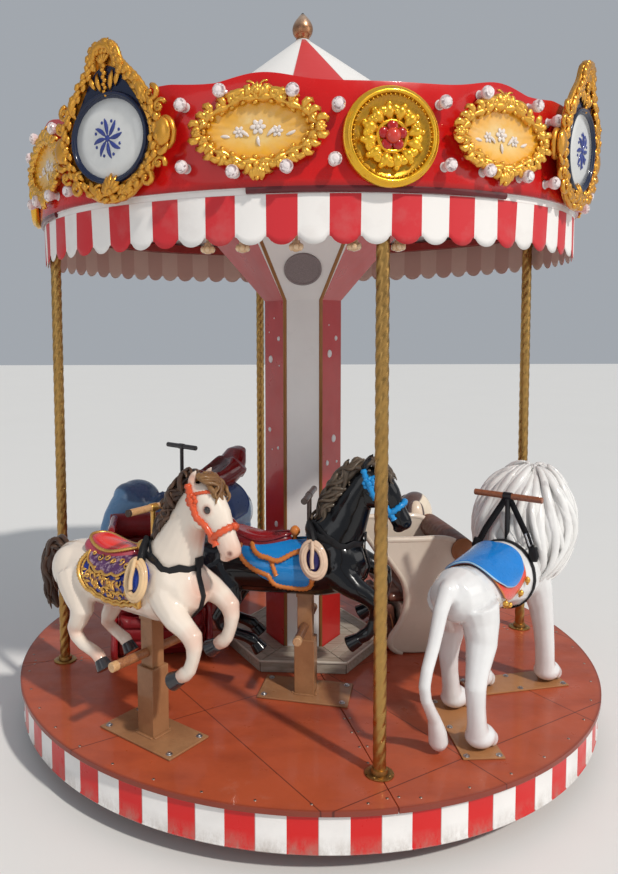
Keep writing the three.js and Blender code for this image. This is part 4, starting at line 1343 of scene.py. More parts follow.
class CAROUSEL_OT_lamps(Maker):
    """Clear cut-glass lamps in cups round the boards, and amber lamps under the rim"""

    bl_idname = "carousel.lamps"
    bl_label = "Lamps"

    spots = (
        (-32.1, 2.213), (-25.8, 2.244), (-14.9, 2.232), (-8.2, 2.188), (8.2, 2.206), (15.7, 2.250),
        (27.1, 2.240), (33.1, 2.210), (-32.0, 2.020), (-23.9, 1.995), (-15.8, 2.004), (-8.7, 2.024),
        (9.2, 2.015), (16.5, 2.008), (24.9, 2.004), (32.6, 1.999),
    )

    def execute(self, context):
        size = self.sizes.bulb_radius
        glass = begin("lamp_glass")
        profile = [(0.0, 0.0560), (0.0060, 0.0560), (0.0110, 0.0530), (0.0160, 0.0525), (0.0205, 0.0470),
                   (0.0222, 0.0400), (0.0195, 0.030), (0.0140, 0.021), (0.0100, 0.014)]
        lathe([(r * size / 0.0215, z) for r, z in profile], 14)
        end(glass, smooth=False)
        mark(glass, "share", lambda co: math.hypot(co.x, co.y) / 0.0222 if co.z > 0.036 else 0.95)
        cup = begin("lamp_cup")
        lathe([(0.0, 0.0003), (0.0150, 0.0003), (0.0165, 0.003), (0.0125, 0.006), (0.0120, 0.017),
               (0.0105, 0.0185), (0, 0.0185)], 14)
        end(cup)
        for piece in (glass, cup):
            piece.rotation_euler = (math.pi / 2, 0, 0)
            apply_place(piece)
        clear = self.glass_finish()
        white = painted("lamp_cup_white", (0.70, 0.62, 0.60), 0.3, 0.4)
        for i in range(QUARTERS):
            glasses, cups = [], []
            for turn, height in self.spots:
                angle = POLE_ANGLE + 90 * i + turn
                for source, made in ((glass, glasses), (cup, cups)):
                    made.append(facing(copy_of(source, "lamp_piece"), BOARD_FACE - 0.0012, angle, height))
            for made, name, material in ((glasses, "lamp_glasses", clear),
                                         (cups, "lamp_cups", white.material)):
                group = join(*made)
                group.name = f"{name}_{i + 1}"
                group.data.name = group.name
                mount_piece(group, material)
        discard(glass, cup)
        self.amber()
        return {"FINISHED"}

    def glass_finish(self):
        clear = Finish("cut_glass", (0.80, 0.70, 0.69), 0.08, 0.0, 0.8)
        share = clear.attribute("share")
        facet = clear.node("ShaderNodeTexVoronoi", {"Vector": clear.place, "Scale": 130.0}).outputs["Color"]
        spark = clear.node("ShaderNodeSeparateXYZ", {0: facet}).outputs[0]
        # The dark ring of facets and the pinker rim are painted reflections in the cut glass
        ring = clear.math("MULTIPLY", clear.ramp(share, 0.45, 0.66), clear.ramp(share, 0.98, 0.84))
        clear.blend(clear.math("MULTIPLY", ring, clear.ramp(spark, 0.25, 0.7)), (0.25, 0.15, 0.16))
        clear.blend(clear.ramp(share, 0.90, 1.0, 0.0, 0.6), (0.62, 0.40, 0.40))
        clear.bump(clear.node("ShaderNodeTexVoronoi", {"Vector": clear.place, "Scale": 130.0},
                              feature="DISTANCE_TO_EDGE").outputs["Distance"], 0.5, 0.001)
        clear.shader.inputs["Emission Color"].default_value = (1.0, 0.9, 0.84, 1)
        clear.shader.inputs["Emission Strength"].default_value = 0.06
        return clear.material

    def amber(self):
        lamps = begin("amber_lamps")
        for turn in (-16.5, -10.2, -1.1, 8.6, 16.3):
            x, y = polar(1.100, turn)
            rod((x, y, DECK_TOP + 1.775), (x, y, DECK_TOP + 1.930), 0.0050, 8)
            lathe([(0, 0.0), (0.011, -0.001), (0.015, -0.010), (0.019, -0.020), (0.018, -0.030),
                   (0.010, -0.036), (0, -0.038)],
                  12, (x, y, DECK_TOP + 1.790))
            for k in range(6):
                across, ahead = polar(0.0165, 60 * k)
                ball(x + across, y + ahead, DECK_TOP + 1.768, 0.0095, 0.0095, 0.0120, 8, 6)
        end(lamps)
        warm = Finish("amber_glass", (0.80, 0.56, 0.34), 0.15, 0.0, 0.8)
        warm.blend(warm.ramp(warm.noise(40.0), 0.4, 0.7, 0.0, 0.5), (0.62, 0.34, 0.12))
        warm.bump(warm.noise(200.0), 0.3, 0.0006)
        mount_piece(lamps, warm.material)


class CAROUSEL_OT_medallions(Maker):
    """Round gilt medallions with a toothed rim, leaf wreath and red flower"""

    bl_idname = "carousel.medallions"
    bl_label = "Medallions"

    def execute(self, context):
        disc = begin("medallion_disc")
        lathe([(0, 0.0003), (0.150, 0.0003), (0.1545, 0.006), (0.156, 0.013), (0.1545, 0.0185),
               (0.151, 0.0200), (0.150, 0.0225), (0.1475, 0.0270), (0.1455, 0.0280), (0.1440, 0.0315),
               (0.139, 0.0345), (0.134, 0.0335), (0.131, 0.0290), (0.128, 0.0225), (0.124, 0.0185),
               (0.105, 0.0165), (0.060, 0.0180), (0.030, 0.0195), (0, 0.020)], 96)
        bpy.ops.mesh.select_all(action="SELECT")
        bpy.ops.transform.rotate(value=math.pi / 2, orient_axis="X", center_override=(0, 0, 0))
        mesh = edit_mesh()
        if sum(v.co.y for v in mesh.verts) > 0:
            bpy.ops.transform.mirror(constraint_axis=(False, True, False), center_override=(0, 0, 0))
        for k in range(54):
            turn = 2 * math.pi * k / 54
            x, z = 0.1255 * math.cos(turn), 0.1255 * math.sin(turn)
            ball(x, -0.0260, z, 0.0052, 0.0050, 0.0026, 8, 6, (0, -turn, 0))
        hoop((0, -0.022, 0), 0.047, 0.008, (math.pi / 2, 0, 0), 40, 8)
        for k in range(12):
            turn = 2 * math.pi * (k + 0.25) / 12
            x, z = math.cos(turn), math.sin(turn)
            leaf(0.052 * x, 0.052 * z, turn + 0.25, 0.052, 0.0170, 0.017, -0.5, -0.017)
            leaf(0.080 * x, 0.080 * z, turn + 1.5, 0.042, 0.0135, 0.015, 0.9, -0.017)
            leaf(0.080 * x, 0.080 * z, turn - 1.3, 0.038, 0.0125, 0.015, -0.9, -0.017)
            ball(0.097 * x, -0.026, 0.097 * z, 0.0105, around=10, down=6)
            ball(0.073 * math.cos(turn + 0.26), -0.030, 0.073 * math.sin(turn + 0.26), 0.0110, around=10,
                 down=6)
        thin(end(disc, angle=50), KEEP_LOCKS)
        flower = begin("medallion_flower")
        for k in range(5):
            turn = math.pi / 2 + 2 * math.pi * k / 5
            ball(0.031 * math.cos(turn), -0.026, 0.031 * math.sin(turn), 0.0185, 0.009, 0.0185, 16, 8,
                 (0, -turn, 0))
        end(flower, angle=60)
        heart = begin("medallion_heart")
        ball(0, -0.032, 0, 0.0245, 0.017, 0.0245, 22, 12)
        end(heart, angle=60)
        gold = gilded("medallion_gold", (0.86, 0.47, 0.020), rough=0.24)
        red = painted("flower_red", (0.42, 0.008, 0.008), 0.2, 0.8, dirt=0.15)
        coral = painted("heart_red", (0.62, 0.045, 0.030), 0.2, 0.8, dirt=0.15)
        for i in range(QUARTERS):
            for source, name, material in ((disc, "medallion_relief", gold),
                                           (flower, "medallion_flower", red.material),
                                           (heart, "medallion_heart", coral.material)):
                piece = facing(copy_of(source, f"{name}_{i + 1}"), BOARD_FACE + 0.0002, POLE_ANGLE + 90 * i,
                               2.097)
                kept = [f"medallion_{i + 1}"] if source is disc else []
                mount_piece(piece, material, replaces=kept)
        discard(disc, flower, heart)
        return {"FINISHED"}


class CAROUSEL_OT_shields(Maker):
    """Tall gilt shields: hooded crest, bead column, scrolls, egg bosses and a white oval in a dark ring"""

    bl_idname = "carousel.shields"
    bl_label = "Shields"

    half = ((0.080, 0.012), (0.150, 0.070), (0.190, 0.105), (0.215, 0.150), (0.228, 0.220), (0.222, 0.275),
            (0.195, 0.330), (0.165, 0.375), (0.135, 0.415), (0.098, 0.450), (0.070, 0.480), (0.060, 0.515),
            (0.045, 0.538), (0.022, 0.549))

    def execute(self, context):
        base = 1.925
        right = [(x, base + z) for x, z in self.half]
        left = [(-x, z) for x, z in reversed(right)]
        outline = [tuple(p) for p in soften([(0, base), *right, (0, base + 0.5495), *left], 2, True)]
        body = begin("shield_body")
        plate(outline, 0.016, -0.016)
        border = outline + [outline[0]]
        limb([(x, -0.015, z, 0.0090 + 0.0022 * (k % 2)) for k, (x, z) in enumerate(border)], 10, (0, 1, 0))
        rng = random.Random(19)
        for k in range(0, len(outline), 2):
            (x, z), (u, w) = outline[k], outline[(k + 1) % len(outline)]
            run = math.atan2(w - z, u - x)
            hand = 1 if k % 4 else -1
            leaf(x * 0.97, base + 0.22 + (z - base - 0.22) * 0.97, run + hand * 0.5,
                 rng.uniform(0.040, 0.056), 0.0125, 0.018, -hand * 1.6, -0.012)
            leaf(x * 0.90, base + 0.22 + (z - base - 0.22) * 0.92, run + math.pi - hand * 0.6,
                 rng.uniform(0.034, 0.048), 0.0105, 0.015, hand * 1.4, -0.014)
        self.crest(base)
        for hand in (-1, 1):
            self.flank(base, hand)
        self.foot(base)
        block(-0.10, 0.10, -0.002, 0.016, base + 0.09, base + 0.27)
        thin(end(body, angle=50), KEEP_RELIEF)
        ring = begin("shield_ring")
        middle = base + 0.2205
        shape_ring((0.008, 0.012), lambda turn: (0.181 * math.cos(turn), middle + 0.153 * math.sin(turn)),
                   around=96, ring=10)
        shape_ring((0.012, 0.007), lambda turn: (0.178 * math.cos(turn), middle + 0.150 * math.sin(turn)),
                   around=96, ring=8)
        # The plate behind the oval reaches up between the crest's arms; its dark blue stands partly for
        # painted shade in that recess
        half = [(0, middle - 0.164), (0.120, middle - 0.118), (0.188, middle), (0.158, middle + 0.100),
                (0.108, middle + 0.166), (0.060, base + 0.452), (0, base + 0.476)]
        plate(soften(half + [(-x, z) for x, z in half[-2:0:-1]], 3, True), 0.004, 0.0015)
        bpy.ops.mesh.select_all(action="SELECT")
        bpy.ops.transform.translate(value=(0, -0.020, 0))
        end(ring, angle=60)
        oval = begin("shield_oval")
        bpy.ops.mesh.primitive_circle_add(vertices=72, radius=1, fill_type="TRIFAN",
                                          rotation=(math.pi / 2, 0, 0))
        bpy.ops.mesh.subdivide(number_cuts=2)
        mesh = edit_mesh()
        for vert in mesh.verts:
            radius = min(1.0, math.hypot(vert.co.x, vert.co.z))
            vert.co = Vector((vert.co.x * 0.176, -0.0255 + 0.008 * radius ** 2, middle + vert.co.z * 0.148))
        refresh()
        end(oval, angle=180)
        modify(oval, "SOLIDIFY", thickness=0.003, offset=0)
        spray = begin("shield_spray")
        for k in range(8):
            turn = 2 * math.pi * k / 8
            leaf(0.012 * math.cos(turn), middle + 0.012 * math.sin(turn), turn, 0.060, 0.0085, 0.003, 0.35,
                 -0.0245)
        for k in range(8):
            turn = 2 * math.pi * (k + 0.5) / 8
            ball(0.062 * math.cos(turn), -0.0262, middle + 0.062 * math.sin(turn), 0.006, 0.003, 0.006, 10, 6)
        ball(0, -0.0275, middle, 0.012, 0.005, 0.012, 14, 8)
        end(spray, angle=60)
        # The gold's hollows take painted shade of deep brown; the ring and recess plate are dark blue paint
        # deepened by painted shade
        gold = gilded("shield_gold", (0.70, 0.33, 0.035), (0.10, 0.030, 0.006))
        blue = painted("ring_blue", (0.007, 0.014, 0.045), 0.22, 0.4)
        white = painted("oval_white", (0.74, 0.74, 0.72), 0.16, 0.9, dirt=0.1, scale=8.0)
        ink = painted("spray_blue", (0.03, 0.05, 0.25), 0.3, 0.5)
        sources = ((body, "shield_relief", gold), (ring, "shield_ring", blue.material),
                   (oval, "shield_oval", white.material),
                   (spray, "shield_spray", ink.material))
        for source, _, _ in sources:
            width = 1.0 if source is body else SHIELD_FACE_WIDTH
            reshape(source, Matrix.Diagonal((width, 1, SHIELD_HEIGHT, 1)), middle)
            reshape(source, Matrix.Rotation(SHIELD_LEAN, 4, "X"), base)
        for i in range(QUARTERS):
            for source, name, material in sources:
                piece = facing(copy_of(source, f"{name}_{i + 1}"), BOARD_FACE + 0.0004,
                               POLE_ANGLE + SHIELD_TURN + 90 * i)
                kept = [f"shield_{i + 1}"] if source is body else []
                mount_piece(piece, material, replaces=kept)
        discard(body, ring, oval, spray)
        return {"FINISHED"}

    def crest(self, base):
        limb([(-0.052, -0.014, base + 0.462, 0.014), (-0.050, -0.020, base + 0.500, 0.015),
              (-0.030, -0.024, base + 0.531, 0.015), (0, -0.026, base + 0.541, 0.016),
              (0.030, -0.024, base + 0.531, 0.015), (0.050, -0.020, base + 0.500, 0.015),
              (0.052, -0.014, base + 0.462, 0.014)], 10, (0, 1, 0))
        for k in range(5):
            leaf(0, base + 0.478, math.pi / 2 + (k - 2) * 0.42, 0.046, 0.0085, 0.012, 0, -0.016)
        for k in range(9):
            size = 0.0105 - 0.0004 * k
            ball((-1) ** k * 0.0035, -0.024, base + 0.470 - 0.0125 * k, size, around=10, down=6)
        for hand in (-1, 1):
            leaf(hand * 0.020, base + 0.385, math.pi / 2 - hand * 0.35, 0.070, 0.010, 0.010, hand * 0.2,
                 -0.016)
            leaf(hand * 0.045, base + 0.395, math.pi / 2 - hand * 0.55, 0.060, 0.010, 0.010, hand * 0.2,
                 -0.016)

    def flank(self, base, hand):
        leaf(hand * 0.135, base + 0.395, -hand * 0.75 + (0 if hand > 0 else math.pi), 0.095, 0.017, 0.016,
             -hand * 1.0, -0.014)
        scroll(hand * 0.205, base + 0.338, math.pi / 2, 0.028, -0.012, -hand, thick=0.36)
        scroll(hand * 0.236, base + 0.292, 0.4 * hand, 0.024, -0.012, hand, thick=0.36)
        ball(hand * 0.238, -0.020, base + 0.208, 0.036, 0.016, 0.050, 20, 12)
        shape_ring((0.009, 0.010), lambda turn: (hand * 0.236 + 0.035 * math.cos(turn),
                                                 base + 0.208 + 0.050 * math.sin(turn)), around=40, ring=8)
        leaf(hand * 0.205, base + 0.150, -hand * 0.5 + (0 if hand > 0 else math.pi), 0.080, 0.012, 0.014,
             hand * 1.7, -0.014)
        scroll(hand * 0.222, base + 0.108, -0.6, 0.024, -0.012, hand, thick=0.36)
        scroll(hand * 0.165, base + 0.062, 2.0, 0.028, -0.012, -hand, thick=0.36)
        leaf(hand * 0.180, base + 0.085, math.pi / 2 + hand * 0.3, 0.055, 0.011, 0.014, hand * 0.8, -0.014)

    def foot(self, base):
        for k in range(7):
            leaf(0, base + 0.030, math.pi / 2 + (k - 3) * 0.40, 0.070 - 0.005 * abs(k - 3), 0.012, 0.018, 0,
                 -0.016)
        for hand in (-1, 1):
            scroll(hand * 0.062, base + 0.040, 1.0, 0.026, -0.014, -hand, thick=0.34)
            scroll(hand * 0.115, base + 0.060, 1.0, 0.023, -0.014, hand, thick=0.34)
            leaf(hand * 0.030, base + 0.022, 0.25 * hand + (0 if hand > 0 else math.pi), 0.110, 0.012, 0.016,
                 hand * 0.8, -0.014)
        ball(0, -0.028, base + 0.034, 0.016, around=14, down=8)


# Helpers: riders, drawn in their own frame: x ahead, y to the left, z up from the deck
def set_rider(obj, rider, material, replaces=()):
    x, y, lift, heading = rider
    place(obj, x, y, DECK_TOP + lift, heading)
    return mount_piece(obj, material, replaces=replaces)


def mark(obj, name, rule):
    """Keeps a number from 0 to 1 on each point for the material to read."""
    layer = obj.data.attributes.new(name, "FLOAT", "POINT")
    for i, vert in enumerate(obj.data.vertices):
        layer.data[i].value = max(0.0, min(1.0, rule(vert.co)))
    return obj


def near(spots):
    """A rule that is 1 at any of the given spots and fades out to 0 at their reach."""
    places = [(Vector(s[:3]), s[3]) for s in spots]
    return lambda co: max(1 - (co - spot).length / reach for spot, reach in places)


def locks(rng, path, count, length, radius, width, thick, wave=0.5, sides=6, steps=9):
    """Wavy tapering locks of hair that flow along a path, spread round it width wide and thick deep."""
    points = [Vector(p) for p in path]
    last = len(points) - 1
    side = Vector((0, 1, 0))
    for k in range(count):
        start = rng.uniform(0, max(0.02, 1 - length))
        reach = length * rng.uniform(0.8, 1.15)
        turn = 2.4 * k
        phase = rng.uniform(0, 6.28)
        size = radius * rng.uniform(0.8, 1.2)
        stations = []
        for j in range(steps):
            share = j / (steps - 1)
            at = min(0.9999, start + share * reach) * last
            i = int(at)
            spot = points[i].lerp(points[i + 1], at - i)
            up = (points[i + 1] - points[i]).cross(side).normalized()
            swing = turn + wave * math.sin(phase + share * 8)
            bulge = 1 + 0.25 * math.sin(phase * 2 + share * 6)
            spot = spot + side * math.cos(swing) * width * bulge + up * math.sin(swing) * thick * bulge
            stations.append((spot.x, spot.y, spot.z,
                             size * max(0.15, math.sin(math.pi * (0.14 + 0.80 * share)))))
        limb(stations, sides, (0, 1, 0.01))


def snug(body, points, gap=0.002):
    """Lays points on a body's skin."""
    laid = []
    for point in points:
        _, spot, normal, _ = body.closest_point_on_mesh(Vector(point))
        laid.append(tuple(spot + normal * gap))
    return laid


def strap(path, width, lateral, thick=0.0022):
    """A flat strap along a path, its width along lateral."""
    limb([(*p, thick, width / thick / 2) for p in path], 8, lateral)


def resample(path, step):
    """Points at even steps along a line."""
    points = [Vector(p) for p in path]
    spots, carry = [points[0]], 0.0
    for a, b in zip(points, points[1:]):
        length = (b - a).length
        at = step - carry
        while at <= length:
            spots.append(a.lerp(b, at / length))
            at += step
        carry = (carry + length) % step
    return spots


def braid(path, radius, step=0.010, sides=8, lateral=(0, 1, 0)):
    """A plaited cord: it swells and narrows along its path."""
    spots = resample(path, step / 2)
    limb([(*p, radius * (1.18 if k % 2 else 0.84)) for k, p in enumerate(spots)], sides, lateral)


def soften(points, rounds=2, closed=False):
    """Cuts a line's corners; an open line keeps its ends."""
    points = [Vector(p) for p in points]
    for _ in range(rounds):
        pairs = list(zip(points, points[1:] + points[:1] if closed else points[1:]))
        cut = [spot for a, b in pairs for spot in (a.lerp(b, 0.25), a.lerp(b, 0.75))]
        points = cut if closed else [points[0], *cut[1:-1], points[-1]]
    return points


def along(edge, share):
    """A point on a list of points, by share of its steps."""
    at = max(0.0, min(0.9999, share)) * (len(edge) - 1)
    i = int(at)
    return Vector(edge[i]).lerp(Vector(edge[i + 1]), at - i)


def flat_cloth(name, back, front, drop, lift, thick, columns=40, rows=20, whole=False):
    """A cloth drawn flat between its back and front edges, given as x and depth below the spine.

    With whole it covers both flanks, else one.
    """
    back, front = soften(back), soften(front)
    piece = begin(name)
    bpy.ops.mesh.primitive_grid_add(x_subdivisions=columns, y_subdivisions=rows, size=1)
    mesh = edit_mesh()
    for vert in mesh.verts:
        s, t = vert.co.x + 0.5, -2 * vert.co.y if whole else 0.5 - vert.co.y
        spot = along(back, abs(t)).lerp(along(front, abs(t)), s)
        deep = spot.y + drop(s) * t * t
        vert.co = Vector((spot.x, -lift, -deep if t >= 0 else deep))
    refresh()
    end(piece)
    modify(piece, "SOLIDIFY", thickness=thick, offset=0)
    return round_edges(piece, thick * 0.4)


def cloth_edge(back, front, drop, lift, steps=40):
    """The points round a flat cloth's open edge: down its back, along its foot and up its front."""
    back, front = soften(back), soften(front)
    spots = [(*along(back, k / steps), 0.0) for k in range(steps)]
    foot_back, foot_front = along(back, 1), along(front, 1)
    for k in range(steps + 1):
        spot = foot_back.lerp(foot_front, k / steps)
        spots.append((spot.x, spot.y + drop(k / steps), 0.0))
    spots += [(*along(front, 1 - k / steps), 0.0) for k in range(1, steps + 1)]
    return [(x, -lift, -w) for x, w, _ in spots]


def wrap(obj, hand, spine, girth):
    """Bends a flat drawing round a rider's barrel, on its left (1) or right (-1)."""
    for vert in obj.data.vertices:
        centre, radius = spine(vert.co.x)
        angle = -vert.co.z / girth
        reach = radius - vert.co.y
        vert.co = Vector((vert.co.x, hand * reach * math.sin(angle), centre + reach * math.cos(angle)))
    return mend(obj)


def mend(obj):
    """Turns a closed piece's faces outwards again."""
    pick(obj)
    bpy.ops.object.mode_set(mode="EDIT")
    bpy.ops.mesh.select_all(action="SELECT")
    bpy.ops.mesh.normals_make_consistent(inside=False)
    bpy.ops.object.mode_set(mode="OBJECT")
    return obj


def both_sides(flat, spine, girth):
    """Bends a flat drawing round both flanks as one piece."""
    other = copy_of(flat, flat.name + "_far")
    wrap(flat, -1, spine, girth)
    wrap(other, 1, spine, girth)
    return join(flat, other)


def barrel(*stations):
    """A rider's barrel as a rule from x to its centre's height and its radius."""
    def spine(x):
        for (x0, z0, r0), (x1, z1, r1) in zip(stations, stations[1:]):
            if x < x1 or (x1, z1, r1) == stations[-1]:
                share = max(0.0, min(1.0, (x - x0) / (x1 - x0)))
                return z0 + (z1 - z0) * share, r0 + (r1 - r0) * share
        return stations[-1][1:]
    return spine


class RiderMaker(Maker):
    """Shared shapes and finishes of the riders."""

    def bolt_steel(self):
        steel = Finish("bolt_steel", (0.55, 0.55, 0.56), 0.28, 1.0)
        steel.blend(steel.ramp(steel.noise(120.0), 0.5, 0.7, 0.0, 0.5), (0.25, 0.18, 0.13))
        steel.bump(steel.noise(200.0), 0.2, 0.0004)
        return steel.material

    def hair_finish(self, name, deep, crest_highlight):
        hair = painted(name, deep, 0.32, 0.35, dirt=0.2, grain=0.2, scale=30.0)
        # The crests of the locks are lightened as a painted highlight
        hair.blend(hair.ramp(hair.pointiness(), 0.515, 0.66, 0.0, 0.75), crest_highlight)
        hair.bump(hair.noise(60.0, 3.0, stretch=(1, 1, 0.25)), 0.5, 0.0015)
        return hair.material

    def wood_finish(self, name, colour, deep):
        wood = Finish(name, colour, 0.38, coat=0.3)
        grain = wood.noise(24.0, 6.0, stretch=(3, 3, 3), distortion=1.2)
        wood.blend(wood.ramp(grain, 0.42, 0.66, 0.0, 0.75), deep).bump(grain, 0.2, 0.0006)
        wood.roughen(wood.ramp(grain, 0.3, 0.7, 0.28, 0.5))
        return wood.material

    def post_finish(self):
        steel = painted("bronze_post", (0.33, 0.155, 0.070), 0.34, 0.35, wear=(0.16, 0.07, 0.035), dirt=0.25,
                        scale=9.0)
        steel.blend(steel.ramp(steel.noise(5.0, 8.0, 0.7), 0.48, 0.70, 0.0, 0.6), (0.46, 0.24, 0.11))
        return steel.material

    def horse_form(self, name):
        body = begin(name)
        limb([(-0.500, 0, 0.560, 0.045), (-0.470, 0, 0.565, 0.085), (-0.40, 0, 0.562, 0.110),
              (-0.30, 0, 0.560, 0.115), (-0.18, 0, 0.553, 0.108), (-0.05, 0, 0.553, 0.106),
              (0.06, 0, 0.560, 0.112), (0.15, 0, 0.585, 0.115), (0.215, 0, 0.615, 0.085),
              (0.245, 0, 0.625, 0.05)], 20)
        limb([(0.06, 0, 0.640, 0.105, 0.90), (0.125, 0, 0.690, 0.110, 0.78), (0.155, 0, 0.750, 0.096, 0.72),
              (0.185, 0, 0.815, 0.080, 0.70), (0.212, 0, 0.872, 0.068, 0.74), (0.240, 0, 0.925, 0.056, 0.80),
              (0.255, 0, 0.950, 0.045, 0.85)], 18)
        limb([(0.243, 0, 0.952, 0.046, 0.9), (0.268, 0, 0.935, 0.062, 0.82), (0.298, 0, 0.903, 0.066, 0.76),
              (0.325, 0, 0.868, 0.060, 0.78), (0.350, 0, 0.828, 0.047, 0.84), (0.370, 0, 0.795, 0.041, 0.88),
              (0.385, 0, 0.768, 0.041, 0.92), (0.393, 0, 0.750, 0.036, 0.92), (0.398, 0, 0.738, 0.022, 0.9)],
              18)
        for hand in (-1, 1):
            ball(0.272, hand * 0.025, 0.868, 0.046, 0.025, 0.046, 16, 10)
            ball(0.318, hand * 0.037, 0.902, 0.020, 0.012, 0.014, 12, 8)
            ball(0.392, hand * 0.020, 0.766, 0.016, 0.014, 0.018, 12, 8)
            ball(0.372, hand * 0.010, 0.738, 0.022, 0.018, 0.012, 12, 8)
            limb([(0.236, hand * 0.030, 0.965, 0.014, 0.8), (0.244, hand * 0.036, 0.992, 0.017, 0.7),
                  (0.258, hand * 0.039, 1.015, 0.012, 0.6), (0.268, hand * 0.038, 1.030, 0.004, 0.6)], 12)
            ball(-0.40, hand * 0.055, 0.560, 0.095, 0.062, 0.095, 18, 12)
            ball(0.135, hand * 0.050, 0.600, 0.085, 0.060, 0.095, 18, 12)
        self.hind_leg(-0.085, 0, 0)
        self.hind_leg(0.085, 0, -0.040)
        self.fore_leg(-0.085, 0, 0)
        self.fore_leg(0.085, 0.068, 0.022)
        end(body)
        melt(body, 0.0055, 7, 0.5)
        for hand in (-1, 1):
            self.dent(body, (0.402, hand * 0.024, 0.763), 0.012, 0.006)
            self.dent(body, (0.262, hand * 0.052, 1.000), 0.016, 0.006)
        self.groove(body)
        return body

    def dent(self, body, spot, reach, depth):
        spot = Vector(spot)
        for vert in body.data.vertices:
            gap = (vert.co - spot).length
            if gap < reach:
                vert.co -= vert.normal * depth * (1 - (gap / reach) ** 2)

    def groove(self, body):
        """The line of the mouth."""
        a, b = Vector((0.352, 0, 0.762)), Vector((0.402, 0, 0.742))
        for vert in body.data.vertices:
            share = (vert.co.x - a.x) / (b.x - a.x)
            if 0 < share < 1.1 and abs(vert.co.y) > 0.006:
                gap = abs(vert.co.z - (a.z + (b.z - a.z) * share))
                if gap < 0.006:
                    vert.co -= vert.normal * 0.0045 * (1 - gap / 0.006)

    def hind_leg(self, y, lift, reach):
        side = 1 if y > 0 else -1
        limb([(-0.375, y * 0.72, 0.560, 0.085, 0.8), (-0.350, y * 0.82, 0.515, 0.083, 0.78),
              (-0.315, y * 0.95, 0.465, 0.066, 0.80), (-0.298, y, 0.425, 0.050, 0.86),
              (-0.318, y, 0.385 + lift / 2, 0.038), (-0.345, y, 0.343 + lift, 0.035, 0.85),
              (-0.333 + reach / 2, y, 0.315 + lift, 0.028),
              (-0.290 + reach, y + side * 0.005, 0.294 + lift, 0.0235),
              (-0.235 + reach, y, 0.280 + lift, 0.0240), (-0.207 + reach, y, 0.270 + lift, 0.0265),
              (-0.186 + reach, y, 0.250 + lift, 0.0230)], 14)

    def fore_leg(self, y, lift, reach):
        limb([(0.135, y * 0.70, 0.575 + lift / 2, 0.078, 0.8),
              (0.170 + reach / 3, y * 0.88, 0.540 + lift * 0.8, 0.060, 0.85),
              (0.215 + reach / 2, y, 0.510 + lift, 0.046), (0.255 + reach, y, 0.488 + lift, 0.038),
              (0.287 + reach, y, 0.465 + lift, 0.037), (0.294 + reach, y, 0.430 + lift, 0.029),
              (0.288 + reach, y, 0.390 + lift, 0.0235), (0.272 + reach, y, 0.350 + lift, 0.0240),
              (0.252 + reach, y, 0.330 + lift, 0.0275), (0.222 + reach, y, 0.308 + lift, 0.0230)], 14)

    def hooves(self, name):
        piece = begin(name)
        for x, y, z, dx, dz in (
            (-0.196, -0.085, 0.260, 0.028, -0.034), (-0.236, 0.085, 0.260, 0.028, -0.034),
            (0.232, -0.085, 0.313, -0.046, -0.030), (0.254, 0.085, 0.381, -0.046, -0.030),
        ):
            rod((x, y, z), (x + dx, y, z + dz), 0.0245, 20, 0.0335)
        end(piece)
        return round_edges(piece, 0.006, 3)

    def eye(self, name):
        piece = begin(name)
        for hand in (-1, 1):
            ball(0.3210, hand * 0.0435, 0.9005, 0.0148, 0.0078, 0.0138, 18, 12)
        return end(piece)


